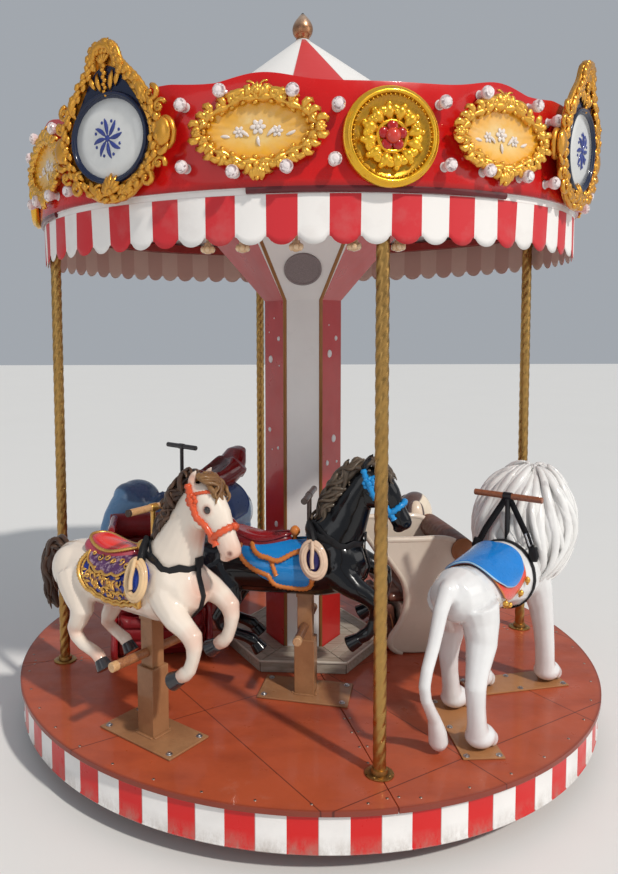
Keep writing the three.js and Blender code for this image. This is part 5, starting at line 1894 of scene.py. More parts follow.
class CAROUSEL_OT_lion(RiderMaker):
    """White lion with flowing mane, azure blanket, black straps and wooden bar"""

    bl_idname = "carousel.lion"
    bl_label = "Lion"

    def execute(self, context):
        body = begin("lion_body")
        limb([(-0.430, 0, 0.530, 0.045), (-0.400, 0, 0.535, 0.082), (-0.340, 0, 0.533, 0.102),
              (-0.23, 0, 0.517, 0.101), (-0.06, 0, 0.520, 0.113), (0.020, 0, 0.514, 0.123, 0.96),
              (0.110, 0, 0.504, 0.141, 0.90), (0.180, 0, 0.514, 0.140, 0.90), (0.24, 0, 0.550, 0.118),
              (0.30, 0, 0.58, 0.09)], 20)
        for hand in (-1, 1):
            ball(0.205, hand * 0.068, 0.515, 0.085, 0.064, 0.112, 18, 12)
        limb([(-0.385, 0, 0.585, 0.036), (-0.430, 0, 0.575, 0.032), (-0.480, 0, 0.515, 0.027),
              (-0.530, 0, 0.410, 0.0235), (-0.580, 0, 0.335, 0.0215), (-0.597, 0, 0.285, 0.021),
              (-0.585, 0, 0.235, 0.0205), (-0.555, 0, 0.190, 0.021), (-0.520, 0, 0.140, 0.024),
              (-0.495, 0, 0.085, 0.033), (-0.484, 0, 0.040, 0.036), (-0.482, 0, 0.014, 0.020)], 14)
        legs = (
            [(-0.315, -0.060, 0.510, 0.092, 0.85), (-0.305, -0.072, 0.440, 0.078, 0.85),
             (-0.325, -0.085, 0.365, 0.056), (-0.375, -0.093, 0.290, 0.042), (-0.402, -0.098, 0.235, 0.038),
             (-0.398, -0.100, 0.170, 0.034), (-0.390, -0.100, 0.110, 0.035),
             (-0.378, -0.100, 0.050, 0.042)],
            [(-0.295, 0.060, 0.510, 0.092, 0.85), (-0.245, 0.072, 0.440, 0.078, 0.85),
             (-0.205, 0.085, 0.365, 0.056), (-0.203, 0.093, 0.290, 0.042), (-0.203, 0.098, 0.235, 0.038),
             (-0.188, 0.100, 0.170, 0.034), (-0.174, 0.100, 0.110, 0.035), (-0.158, 0.100, 0.050, 0.042)],
            [(0.225, -0.068, 0.500, 0.080, 0.85), (0.250, -0.080, 0.420, 0.062),
             (0.270, -0.090, 0.340, 0.050), (0.288, -0.096, 0.250, 0.043), (0.298, -0.100, 0.170, 0.040),
             (0.306, -0.100, 0.100, 0.040), (0.312, -0.100, 0.050, 0.043)],
            [(0.200, 0.068, 0.500, 0.080, 0.85), (0.160, 0.080, 0.420, 0.062), (0.130, 0.088, 0.340, 0.050),
             (0.100, 0.092, 0.250, 0.043), (0.084, 0.095, 0.170, 0.040), (0.077, 0.095, 0.100, 0.040),
             (0.072, 0.095, 0.050, 0.043)],
        )
        for leg in legs:
            limb(leg, 14)
        for x, y in ((-0.352, -0.100), (-0.132, 0.100), (0.338, -0.100), (0.100, 0.095)):
            ball(x - 0.006, y, 0.048, 0.064, 0.054, 0.041, 18, 12)
            for k in range(4):
                ball(x + 0.034 - 0.006 * abs(k - 1.5), y + (k - 1.5) * 0.024, 0.034, 0.028, 0.0165, 0.027, 12,
                     8)
        ball(0.300, 0, 0.668, 0.150, 0.172, 0.215, 24, 16)
        ball(0.430, 0, 0.672, 0.110, 0.090, 0.105, 20, 14)
        ball(0.525, 0, 0.635, 0.058, 0.052, 0.044, 18, 12)
        end(body)
        melt(body, 0.006, 7, 0.5)
        coat = painted("lion_white", (0.78, 0.775, 0.77), 0.18, 0.8, dirt=0.06)
        # Grey painted shade in the creases of the white coat
        coat.blend(coat.ramp(coat.pointiness(), 0.488, 0.45, 0.0, 0.5), (0.40, 0.38, 0.38))
        self.straps(body)
        self.blankets()
        set_rider(body, LION, coat.material, ["lion"])
        self.mane()
        self.face()
        self.fittings()
        return {"FINISHED"}

    spine = staticmethod(barrel((-0.262, 0.514, 0.106), (-0.06, 0.522, 0.113), (0.05, 0.526, 0.121),
                                (0.12, 0.53, 0.126)))
    girth = 0.115

    def mane(self):
        rng = random.Random(41)
        piece = begin("lion_mane")
        ball(0.300, 0, 0.672, 0.142, 0.164, 0.210, 24, 16)
        for count, grow, shift in ((44, 0.97, 0.0), (38, 1.05, 0.5), (24, 1.11, 0.25)):
            for k in range(count):
                turn = 2 * math.pi * (k + shift) / count
                ahead = abs((turn + math.pi) % (2 * math.pi) - math.pi)
                fall = rng.uniform(2.2, 2.7) if ahead > 0.8 else rng.uniform(0.7, 0.95)
                phase = rng.uniform(0, 6.28)
                size = rng.uniform(0.012, 0.021)
                rise = rng.uniform(0.10, 0.42)
                sway = rng.uniform(0.14, 0.32)
                stations = []
                for j in range(12):
                    share = j / 11
                    tilt = rise + (fall + 0.16 - rise) * share
                    swing = turn + sway * (0.4 + share) * math.sin(phase * 0.3 + turn * 2 + share * 6.5)
                    flare = grow * (1 + 0.09 * share ** 3 + 0.045 * math.sin(phase + share * 9))
                    stations.append((
                        0.300 + 0.158 * flare * math.sin(tilt) * math.cos(swing) + 0.078 * math.cos(tilt),
                        0.182 * flare * math.sin(tilt) * math.sin(swing),
                        0.672 + 0.222 * flare * math.cos(tilt),
                        max(0.003, size * math.sin(math.pi * (0.16 + 0.80 * share))), 1.35,
                    ))
                limb(stations, 6, (-math.sin(turn), math.cos(turn), 0.01))
        end(piece, angle=80)
        thin(subdivide(piece), KEEP_RELIEF)
        hair = painted("lion_hair", (0.80, 0.79, 0.77), 0.2, 0.7, dirt=0.08, grain=0.1)
        # Dark grey painted shade in the hollows between the locks
        hair.blend(hair.ramp(hair.pointiness(), 0.49, 0.40, 0.0, 0.85), (0.22, 0.21, 0.22))
        streak = hair.noise(16.0, 3.0, stretch=(1, 1, 0.15))
        hair.blend(hair.ramp(streak, 0.60, 0.72, 0.0, 0.5), (0.36, 0.34, 0.34)).bump(streak, 0.3, 0.002)
        set_rider(piece, LION, hair.material)

    def face(self):
        piece = begin("lion_eyes")
        for hand in (-1, 1):
            ball(0.512, hand * 0.040, 0.706, 0.013, 0.011, 0.012, 14, 10)
        ball(0.578, 0, 0.652, 0.014, 0.024, 0.013, 16, 10)
        end(piece)
        dark = painted("lion_features", (0.06, 0.035, 0.03), 0.15, 0.9, dirt=0.2, scale=40.0)
        set_rider(piece, LION, dark.material)

    def straps(self, body):
        piece = begin("lion_straps")
        ring = [(0.088, 0.15 * math.sin(k / 28 * 2 * math.pi),
                 0.53 + 0.15 * math.cos(k / 28 * 2 * math.pi)) for k in range(29)]
        strap(snug(body, ring, 0.003), 0.026, (1, 0, 0), 0.003)
        chest = [(0.10, -0.13, 0.60), (0.17, -0.13, 0.57), (0.24, -0.12, 0.56), (0.30, -0.06, 0.55),
                 (0.32, 0, 0.55), (0.30, 0.06, 0.55), (0.24, 0.12, 0.56), (0.17, 0.13, 0.57),
                 (0.10, 0.13, 0.60)]
        strap(snug(body, chest, 0.003), 0.024, (0, 0, 1), 0.003)
        for hand in (-1, 1):
            side = [(0.118, hand * 0.010, 0.806), (0.112, hand * 0.045, 0.745), (0.104, hand * 0.085, 0.675),
                    (0.094, hand * 0.112, 0.612)]
            strap(side, 0.027, (0.15, 0.86, hand * 0.48), 0.003)
            limb([(0.096, hand * 0.112, 0.632, 0.014, 1.3), (0.092, hand * 0.119, 0.600, 0.016, 1.3),
                  (0.090, hand * 0.121, 0.578, 0.010, 1.2)], 8)
        end(piece, angle=40)
        web = painted("webbing_black", (0.010, 0.010, 0.012), 0.5, 0.1, dirt=0.2, grain=0.6, scale=24.0)
        set_rider(piece, LION, web.material)
        buckle = begin("lion_buckle")
        for share in (0.0, 1.0):
            spot = Vector((0.107, -0.082, 0.682)).lerp(Vector((0.101, -0.101, 0.640)), share)
            rod(spot - Vector((0.019, 0.004, 0)), spot + Vector((0.019, -0.004, 0)), 0.0040, 10)
        for edge in (-0.018, 0.018):
            rod((0.107 + edge, -0.085, 0.682), (0.101 + edge, -0.104, 0.640), 0.0040, 10)
        rod((0.088, -0.096, 0.662), (0.120, -0.096, 0.662), 0.0028, 8)
        end(buckle)
        set_rider(buckle, LION, self.bolt_steel())

    def blankets(self):
        azure = painted("blanket_azure", (0.003, 0.20, 0.62), 0.24, 0.6, dirt=0.08, grain=0.4)
        rust = painted("blanket_red", (0.72, 0.045, 0.018), 0.24, 0.6, dirt=0.1, grain=0.3)
        layers = (
            ("lion_underblanket", rust, [(-0.236, 0), (-0.238, 0.08), (-0.222, 0.14), (-0.185, 0.19)],
             [(0.004, 0), (0.014, 0.06), (0.014, 0.11), (0.002, 0.165)],
             lambda s: 0.050 * math.sin(math.pi * s) * (1 - 0.5 * s), 0.004, 0.006, []),
            ("lion_azure", azure, [(-0.247, 0), (-0.257, 0.06), (-0.240, 0.11), (-0.180, 0.150)],
             [(-0.006, 0), (0.012, 0.05), (0.012, 0.09), (-0.020, 0.135)],
             lambda s: 0.022 * math.sin(math.pi * s), 0.013, 0.010, ["lion_blanket"]),
        )
        for name, finish, back, front, drop, lift, thick, kept in layers:
            cloth = flat_cloth(name, back, front, drop, lift, thick, 36, 44, True)
            set_rider(wrap(cloth, -1, self.spine, self.girth), LION, finish.material, kept)
            edge = begin(f"{name}_hem")
            limb([(*p, 0.0032) for p in cloth_edge(back, front, drop, lift)], 8)
            end(edge, angle=70)
            pale = painted(f"{name}_hem_paint", (0.42, 0.66, 0.86) if kept else (0.62, 0.20, 0.05), 0.3, 0.5,
                           dirt=0.2)
            set_rider(both_sides(edge, self.spine, self.girth), LION, pale.material)
        bells = begin("lion_bells")
        for x, w in ((0.004, 0.168), (-0.040, 0.205), (-0.110, 0.236), (-0.178, 0.205)):
            ball(x, -0.010, -w - 0.010, 0.0105, 0.0105, 0.0120, 14, 10)
            ball(x, -0.010, -w - 0.022, 0.0050, 0.0050, 0.0060, 8, 6)
            hoop((x, -0.010, -w - 0.002), 0.0045, 0.0018, (math.pi / 2, 0, 0), 12, 6)
        end(bells, angle=70)
        set_rider(both_sides(bells, self.spine, self.girth), LION, gilded("bell_gold"))

    def fittings(self):
        bar = begin("lion_bar")
        rod((0.118, -0.14, 0.82), (0.118, 0.14, 0.82), 0.0128, 24)
        end(bar)
        round_edges(bar, 0.003, 3)
        set_rider(bar, LION, self.wood_finish("bar_brown", (0.30, 0.10, 0.045), (0.16, 0.05, 0.02)),
                  ["lion_handle"])
        post = begin("lion_bar_post")
        rod((0.118, 0, 0.57), (0.118, 0, 0.812), 0.0102, 16)
        rod((0.118, -0.017, 0.82), (0.118, 0.017, 0.82), 0.0155, 24)
        end(post)
        set_rider(post, LION, painted("post_black", (0.015, 0.015, 0.018), 0.3, 0.4, dirt=0.2).material)
        copper = painted("plate_bronze", (0.42, 0.19, 0.075), 0.34, 0.35, wear=(0.22, 0.09, 0.04), dirt=0.2,
                         scale=9.0).material
        steel = self.bolt_steel()
        for name, x, turn in (("lion_plate_rear", -0.262, 42), ("lion_plate_front", 0.215, -38)):
            slab = begin(f"{name}_skin")
            block(-0.215, 0.215, -0.075, 0.075, 0.0004, 0.0062)
            end(slab)
            round_edges(slab, 0.0018)
            set_rider(place(slab, x, 0, 0, turn), LION, copper, [name])
            bolts = begin(f"{name}_bolts")
            for u in (-0.198, 0.0, 0.198):
                for v in (-0.058, 0.058):
                    rod((u, v, 0.006), (u, v, 0.0075), 0.0115, 20)
                    rod((u, v, 0.0075), (u, v, 0.0120), 0.0070, 6)
            end(bolts)
            set_rider(place(bolts, x, 0, 0, turn), LION, steel)


class CAROUSEL_OT_elephant(RiderMaker):
    """Light blue elephant with dark blue cap and blanket and a maroon tub saddle"""

    bl_idname = "carousel.elephant"
    bl_label = "Elephant"

    def execute(self, context):
        body = begin("elephant_body")
        limb([(-0.455, 0, 0.440, 0.060), (-0.420, 0, 0.445, 0.110), (-0.350, 0, 0.455, 0.158),
              (-0.180, 0, 0.452, 0.184), (0.02, 0, 0.450, 0.180), (0.160, 0, 0.470, 0.150),
              (0.250, 0, 0.520, 0.110)], 24)
        limb([(0.430, 0, 0.610, 0.078), (0.490, 0, 0.560, 0.060), (0.527, 0, 0.500, 0.048),
              (0.540, 0, 0.440, 0.042), (0.540, 0, 0.360, 0.036), (0.515, 0, 0.295, 0.031),
              (0.502, 0, 0.255, 0.028), (0.520, 0, 0.215, 0.025)], 16)
        ball(0.345, 0, 0.605, 0.138, 0.115, 0.132, 24, 16)
        ball(0.400, 0, 0.660, 0.075, 0.080, 0.070, 20, 12)
        for x, y in self.feet:
            limb([(x, y, 0.400, 0.070), (x, y, 0.250, 0.060), (x, y, 0.100, 0.054), (x, y, 0.040, 0.058),
                  (x, y, 0.002, 0.060)], 18)
        for hand in (-1, 1):
            ball(0.285, hand * 0.126, 0.575, 0.088, 0.017, 0.112, 20, 14, (0, 0, hand * -0.18))
        end(body)
        melt(body, 0.007, 7, 0.5)
        for vert in body.data.vertices:
            vert.co.z = max(vert.co.z, 0.0008)
        mark(body, "cap",
             lambda co: 0.5 + 5 * min(co.z - 0.668 + 0.25 * abs(co.y), 0.452 - co.x, co.x - 0.215))
        coat = painted("elephant_blue", tuple(self.colours.coat_blue), 0.22, 0.7, dirt=0.1)
        # Darker blue painted shade in the hollows of the skin
        coat.blend(coat.ramp(coat.pointiness(), 0.49, 0.45, 0.0, 0.5), (0.05, 0.12, 0.28))
        coat.blend(coat.ramp(coat.attribute("cap"), 0.47, 0.52), (0.050, 0.105, 0.225))
        set_rider(body, ELEPHANT, coat.material, ["elephant"])
        features = begin("elephant_features")
        for hand in (-1, 1):
            ball(0.464, hand * 0.070, 0.600, 0.012, 0.010, 0.012, 14, 10)
        end(features)
        eye = painted("elephant_eye", (0.03, 0.02, 0.02), 0.1, 0.9, dirt=0.2)
        set_rider(features, ELEPHANT, eye.material)
        nails = begin("elephant_nails")
        for x, y in self.feet:
            for turn in (-0.7, 0.0, 0.7):
                ball(x + 0.057 * math.cos(turn), y + 0.057 * math.sin(turn), 0.020, 0.010, 0.014, 0.017, 12,
                     8, (0, 0, turn))
        end(nails)
        set_rider(nails, ELEPHANT, painted("nail_white", (0.70, 0.68, 0.64), 0.25, 0.6).material)
        self.blanket()
        self.tub()
        handle = begin("elephant_grip")
        rod((0.030, -0.11, 0.870), (0.030, 0.11, 0.870), 0.0128, 24)
        rod((0.030, 0, 0.55), (0.030, 0, 0.862), 0.0102, 16)
        rod((0.030, -0.018, 0.870), (0.030, 0.018, 0.870), 0.0150, 24)
        end(handle)
        round_edges(handle, 0.002, 2)
        grip = self.wood_finish("grip_black", (0.045, 0.035, 0.035), (0.02, 0.016, 0.016))
        set_rider(handle, ELEPHANT, grip, ["elephant_handle"])
        return {"FINISHED"}

    spine = staticmethod(barrel((-0.420, 0.445, 0.128), (-0.350, 0.455, 0.162), (-0.180, 0.452, 0.187),
                                (0.02, 0.450, 0.184), (0.16, 0.470, 0.156)))
    girth = 0.185
    feet = ((-0.310, -0.100), (-0.310, 0.100), (0.140, -0.095), (0.140, 0.095))

    def blanket(self):
        back = [(-0.330, 0), (-0.338, 0.12), (-0.335, 0.21), (-0.290, 0.265)]
        front = [(0.004, 0), (0.008, 0.12), (0.004, 0.21), (-0.030, 0.265)]

        def drop(s):
            return 0.014 * math.sin(math.pi * s)

        deep = painted("blanket_navy", (0.006, 0.035, 0.17), 0.28, 0.6, dirt=0.12, grain=0.4)
        cloth = flat_cloth("elephant_cloth", back, front, drop, 0.006, 0.010, 36, 48, True)
        set_rider(wrap(cloth, -1, self.spine, self.girth), ELEPHANT, deep.material,
                  ["elephant_saddle"])
        hem = begin("elephant_hem")
        limb([(*p, 0.0060) for p in cloth_edge(back, front, drop, 0.008)], 10)
        end(hem, angle=70)
        edge = painted("hem_navy", (0.02, 0.07, 0.26), 0.3, 0.5, dirt=0.2, grain=0.3)
        set_rider(both_sides(hem, self.spine, self.girth), ELEPHANT, edge.material)

    def tub(self):
        tub = begin("elephant_tub")
        limb([(-0.350, 0, 0.655, 0.040, 2.2), (-0.355, 0, 0.690, 0.060, 1.9), (-0.330, 0, 0.705, 0.078, 1.45),
              (-0.270, 0, 0.672, 0.086, 1.22), (-0.200, 0, 0.655, 0.084, 1.15),
              (-0.140, 0, 0.664, 0.070, 1.15), (-0.095, 0, 0.690, 0.052, 1.25),
              (-0.070, 0, 0.705, 0.030, 1.5)], 24)
        limb([(-0.345, 0, 0.700, 0.062, 1.55), (-0.375, 0, 0.745, 0.052, 1.75),
              (-0.400, 0, 0.785, 0.038, 1.9), (-0.428, 0, 0.797, 0.024, 2.2),
              (-0.445, 0, 0.780, 0.012, 2.2)], 24)
        end(tub)
        melt(tub, 0.006, 6, 0.5)
        for vert in tub.data.vertices:
            inner = 1 - ((vert.co.x + 0.215) / 0.130) ** 2 - (vert.co.y / 0.072) ** 2
            if inner > 0 and vert.co.z > 0.690:
                vert.co.z -= 0.042 * min(1.0, inner * 1.5)
        mark(tub, "share",
             lambda co: 1 - ((co.x + 0.215) / 0.140) ** 2 - (co.y / 0.080) ** 2 if co.z > 0.665 else 0)
        red = painted("tub_maroon", (0.19, 0.006, 0.009), 0.2, 0.8, dirt=0.12)
        # The hollow of the seat darkens to near black as painted shade inside the tub
        red.blend(red.ramp(red.attribute("share"), 0.05, 0.5, 0.0, 0.85), (0.055, 0.006, 0.008))
        set_rider(tub, ELEPHANT, red.material)


class CAROUSEL_OT_puppy(RiderMaker):
    """Low seated puppy with drooping ears"""

    bl_idname = "carousel.puppy"
    bl_label = "Puppy"

    def execute(self, context):
        body = begin("puppy_body")
        limb([(0, 0, 0.002, 0.085), (0, 0, 0.06, 0.095), (0, 0, 0.18, 0.093), (0, 0, 0.30, 0.078),
              (0.005, 0, 0.42, 0.068), (0.010, 0, 0.50, 0.06)], 20)
        ball(0.012, 0, 0.505, 0.093, 0.088, 0.118, 22, 14)
        ball(0.072, 0, 0.462, 0.052, 0.058, 0.050, 18, 12)
        for hand in (-1, 1):
            limb([(0.045, hand * 0.050, 0.330, 0.036), (0.080, hand * 0.050, 0.220, 0.033),
                  (0.098, hand * 0.048, 0.110, 0.029), (0.100, hand * 0.048, 0.035, 0.031)], 12)
            ball(0.116, hand * 0.048, 0.026, 0.038, 0.030, 0.025, 14, 10)
            ball(-0.010, hand * 0.072, 0.085, 0.080, 0.048, 0.084, 16, 12)
            ball(0.062, hand * 0.098, 0.024, 0.046, 0.026, 0.023, 14, 10)
        limb([(-0.080, 0, 0.045, 0.026), (-0.125, 0, 0.035, 0.022), (-0.150, 0, 0.060, 0.018),
              (-0.155, 0, 0.095, 0.010)], 12)
        end(body)
        melt(body, 0.005, 7, 0.5)
        mark(body, "crown", lambda co: 0.5 + 6 * min(co.z - 0.588 - 0.9 * (co.x - 0.02), 0.04))
        mark(body, "chest", lambda co: 0.5 + 6 * min(0.415 - co.z, co.z - 0.265 - 0.8 * abs(co.y)))
        line = [(0.120, 0.432), (0.100, 0.418), (0.075, 0.412), (0.045, 0.418), (0.020, 0.434)]
        coat = painted("puppy_cream", (0.80, 0.70, 0.56), 0.22, 0.6, dirt=0.08)
        coat.blend(coat.ramp(coat.attribute("chest"), 0.47, 0.53), (0.46, 0.24, 0.20))
        coat.blend(coat.ramp(coat.attribute("crown"), 0.47, 0.53), (0.125, 0.085, 0.080))
        marks = begin("puppy_lines")
        limb([(*p, 0.0030) for p in snug(body, [(x, -0.12, z) for x, z in line], 0.0)], 8, (0, 0.01, 1))
        for hand in (-1, 1):
            lid = [(0.052, 0.500), (0.062, 0.494), (0.075, 0.492), (0.088, 0.496)]
            limb([(*p, 0.0028) for p in snug(body, [(x, hand * 0.12, z) for x, z in lid], 0.0)], 8,
                 (0, 0.01, 1))
        limb([(*p, 0.0030) for p in snug(body, [(x, 0.12, z) for x, z in line], 0.0)], 8, (0, 0.01, 1))
        ball(0.118, 0, 0.480, 0.012, 0.017, 0.012, 14, 10)
        end(marks, angle=70)
        set_rider(marks, PUPPY, painted("puppy_brown", (0.085, 0.035, 0.025), 0.25, 0.6, dirt=0.2).material)
        set_rider(body, PUPPY, coat.material, ["puppy"])
        for label, colour, grow, out in (("ears", (0.125, 0.085, 0.080), 1.0, 0.0),
                                         ("ear_linings", (0.76, 0.62, 0.48), 0.70, 0.012)):
            ears = begin(f"puppy_{label}")
            for hand in (-1, 1):
                limb([(-0.004, hand * (0.060 + out), 0.590, 0.010, 1.6),
                      (-0.010, hand * (0.084 + out), 0.575, 0.016 * grow, 2.4),
                      (-0.014, hand * (0.102 + out), 0.540, 0.017 * grow, 2.7),
                      (-0.012, hand * (0.112 + out), 0.490, 0.017 * grow, 2.7),
                      (-0.006, hand * (0.114 + out), 0.440, 0.015 * grow, 2.4),
                      (0.002, hand * (0.110 + out), 0.405, 0.009 * grow, 2.0)], 14, (1, 0, 0))
            end(ears, angle=80)
            subdivide(ears)
            paint = painted(f"puppy_{label}_paint", colour, 0.25, 0.6, dirt=0.12)
            if out:
                paint.blend(paint.ramp(paint.axis(2), DECK_TOP + 0.530, DECK_TOP + 0.450, 0.0, 0.9),
                            (0.72, 0.34, 0.17))
            set_rider(ears, PUPPY, paint.material)
        return {"FINISHED"}


class HorseMaker(RiderMaker):
    """What both jumping horses share: hair, harness, saddle, handle and stand."""

    spine = staticmethod(barrel((-0.30, 0.560, 0.1150), (-0.18, 0.553, 0.1085), (-0.05, 0.553, 0.1065),
                                (0.06, 0.560, 0.1120), (0.15, 0.585, 0.115)))
    girth = 0.118
    blush_spots = (
        (0.402, 0, 0.745, 0.092), (0.250, -0.036, 1.0, 0.034), (0.250, 0.036, 1.0, 0.034),
        (0.290, -0.085, 0.462, 0.055), (0.312, 0.085, 0.533, 0.055), (-0.200, -0.085, 0.262, 0.055),
        (-0.200, 0.085, 0.222, 0.055), (0.230, -0.085, 0.315, 0.055), (0.252, 0.085, 0.383, 0.055),
        (-0.345, -0.085, 0.343, 0.055), (-0.345, 0.085, 0.303, 0.055), (0.245, 0, 0.600, 0.080),
        (-0.280, 0, 0.450, 0.100), (0.165, -0.075, 0.490, 0.065), (0.165, 0.075, 0.490, 0.065),
        (0.250, 0, 0.800, 0.065), (0.322, -0.045, 0.902, 0.026), (0.322, 0.045, 0.902, 0.026),
    )

    def hair(self, name, seed, rider, material, slot):
        rng = random.Random(seed)
        mane = begin(f"{name}_mane")
        path = [(0.268, 0, 0.996), (0.215, 0, 0.984), (0.168, 0, 0.950), (0.128, 0, 0.900), (0.098, 0, 0.845),
                (0.074, 0, 0.785), (0.058, 0, 0.730), (0.050, 0, 0.690)]
        limb([(*p, r, 1.2) for p, r in zip(path, (0.010, 0.022, 0.030, 0.034, 0.033, 0.030, 0.025, 0.012))],
             12)
        locks(rng, path, 34, 0.42, 0.0125, 0.036, 0.030, 0.7)
        locks(rng, path, 14, 0.30, 0.0100, 0.044, 0.036, 0.9)
        end(mane, angle=80)
        thin(subdivide(mane), KEEP_LOCKS)
        set_rider(mane, rider, material)
        tail = begin(f"{name}_tail")
        path = [(-0.462, 0, 0.592), (-0.505, 0, 0.635), (-0.560, 0, 0.632), (-0.602, 0, 0.580),
                (-0.618, 0, 0.510), (-0.612, 0, 0.440), (-0.590, 0, 0.385), (-0.562, 0, 0.345)]
        limb([(*p, r) for p, r in zip(path, (0.016, 0.024, 0.028, 0.030, 0.030, 0.027, 0.020, 0.008))], 12)
        locks(rng, path, 26, 0.55, 0.0135, 0.026, 0.024, 0.6)
        end(tail, angle=80)
        thin(subdivide(tail), KEEP_LOCKS)
        set_rider(tail, rider, material)

    def forelock(self, name, seed, rider, material, slot):
        rng = random.Random(seed)
        piece = begin(f"{name}_forelock")
        path = [(0.236, 0, 0.988), (0.262, 0, 1.006), (0.298, 0, 1.002), (0.326, 0, 0.978), (0.345, 0, 0.948),
                (0.356, 0, 0.918)]
        limb([(*p, r, 1.4) for p, r in zip(path, (0.012, 0.016, 0.016, 0.012, 0.008, 0.003))], 10)
        locks(rng, path, 22, 0.60, 0.0092, 0.034, 0.010, 1.1, 7, 11)
        end(piece, angle=80)
        thin(subdivide(piece), KEEP_LOCKS)
        set_rider(piece, rider, material)

    def harness(self, name, body, rider, black):
        straps = begin(f"{name}_straps")
        centre, ahead = Vector((0.118, 0, 0.702)), Vector((0.97, 0, -0.24)) * 0.12
        ring = circle_spots(centre, ahead, Vector((0, 0.12, 0)), 20)
        strap(snug(body, ring, 0.0035), 0.030, (0.24, 0, 0.97), 0.0032)
        chest = [(0.27, 0, 0.690), (0.28, 0, 0.660), (0.28, 0, 0.625), (0.265, 0, 0.580), (0.240, 0, 0.540),
                 (0.20, 0, 0.505)]
        strap(snug(body, chest, 0.0030), 0.024, (0, 1, 0), 0.003)
        for hand in (-1, 1):
            path = [(0.020, hand * 0.012, 0.760), (0.055, hand * 0.060, 0.745), (0.090, hand * 0.110, 0.720),
                    (0.130, hand * 0.120, 0.700)]
            strap(snug(body, path, 0.0055), 0.026, (0.3, 0, 0.95), 0.003)
            limb([(0.020, hand * 0.030, 0.752, 0.010, 1.7), (0.040, hand * 0.070, 0.722, 0.015, 1.5),
                  (0.052, hand * 0.098, 0.685, 0.012, 1.6)], 8)
        x, _, z = snug(body, [(0.27, 0, 0.690)], 0.006)[0]
        block(x - 0.004, x + 0.004, -0.017, 0.017, z - 0.016, z + 0.016)
        end(straps, angle=40)
        set_rider(straps, rider, black)

    def halter(self, name, body, rider, paint, slot):
        piece = begin(f"{name}_halter")
        centre, over = Vector((0.358, 0, 0.818)), Vector((0.81, 0, 0.587)) * 0.06
        ring = circle_spots(centre, over, Vector((0, 0.06, 0)), 18)
        braid(snug(body, ring, 0.005), 0.0118, 0.019, lateral=(0.587, 0, -0.81))
        for hand in (-1, 1):
            cheek = [(0.232, 0.070, 0.975), (0.238, 0.075, 0.950), (0.255, 0.080, 0.915),
                     (0.282, 0.080, 0.875), (0.312, 0.075, 0.838), (0.335, 0.070, 0.805),
                     (0.350, 0.062, 0.780)]
            braid(snug(body, [(x, hand * y, z) for x, y, z in cheek], 0.005), 0.0118, 0.019,
                  lateral=(0, 0, 1))
            brow = [(0.240, 0.080, 0.945), (0.280, 0.070, 0.960), (0.318, 0.040, 0.965),
                    (0.335, 0.012, 0.960)]
            braid(snug(body, [(x, hand * y, z) for x, y, z in brow], 0.003), 0.0062, 0.012, lateral=(0, 0, 1))
            x, y, z = snug(body, [(0.252, hand * 0.080, 0.925)], 0.004)[0]
            for k in range(8):
                turn = math.pi * k / 4
                ball(x + 0.0185 * math.cos(turn), y + hand * 0.002, z + 0.0185 * math.sin(turn), 0.0095,
                     0.0072, 0.0095, 8, 6)
            ball(x, y + hand * 0.006, z, 0.0130, 0.0095, 0.0130, 12, 8)
        end(piece, angle=80)
        set_rider(piece, rider, paint)

    def eyes(self, name, rider):
        piece = self.eye(f"{name}_eyes")
        dark = Finish("eye_dark", (0.018, 0.010, 0.008), 0.05, coat=1.0)
        dark.blend(dark.ramp(dark.noise(160.0), 0.5, 0.7, 0.0, 0.5), (0.06, 0.03, 0.02))
        set_rider(piece, rider, dark.material)

    def coil(self, name, rider, cord, inside):
        """The looped rope that hangs at each shoulder, round its coloured pad."""
        ropes = begin(f"{name}_rope_coils")
        for hand in (-1, 1):
            for size, gap, thick in ((1.04, 0.003, 0.0092), (0.91, 0.009, 0.0092), (0.76, 0.010, 0.0088)):
                path = []
                for k in range(43):
                    turn = 2 * math.pi * k / 40
                    rise = 0.064 * size * math.sin(turn)
                    path.append((0.052 + 0.046 * size * math.cos(turn) - rise * 0.15,
                                 hand * (0.121 + gap - rise * 0.34), 0.628 + rise))
                limb([(*p, thick) for p in path], 12, (0, 1, 0))
            loop = [(0.052, hand * 0.150, 0.60), (0.048, hand * 0.146, 0.63), (0.050, hand * 0.138, 0.66),
                    (0.046, hand * 0.120, 0.70)]
            limb([(*p, 0.0078) for p in soften(loop, 2)], 12, (1, 0, 0))
        end(ropes, angle=80)
        set_rider(ropes, rider, cord)
        pads = begin(f"{name}_coil_pads")
        for hand in (-1, 1):
            ball(0.052, hand * 0.104, 0.628, 0.040, 0.028, 0.060, 20, 12, (hand * 0.34, 0, 0))
        end(pads, angle=80)
        set_rider(pads, rider, inside)

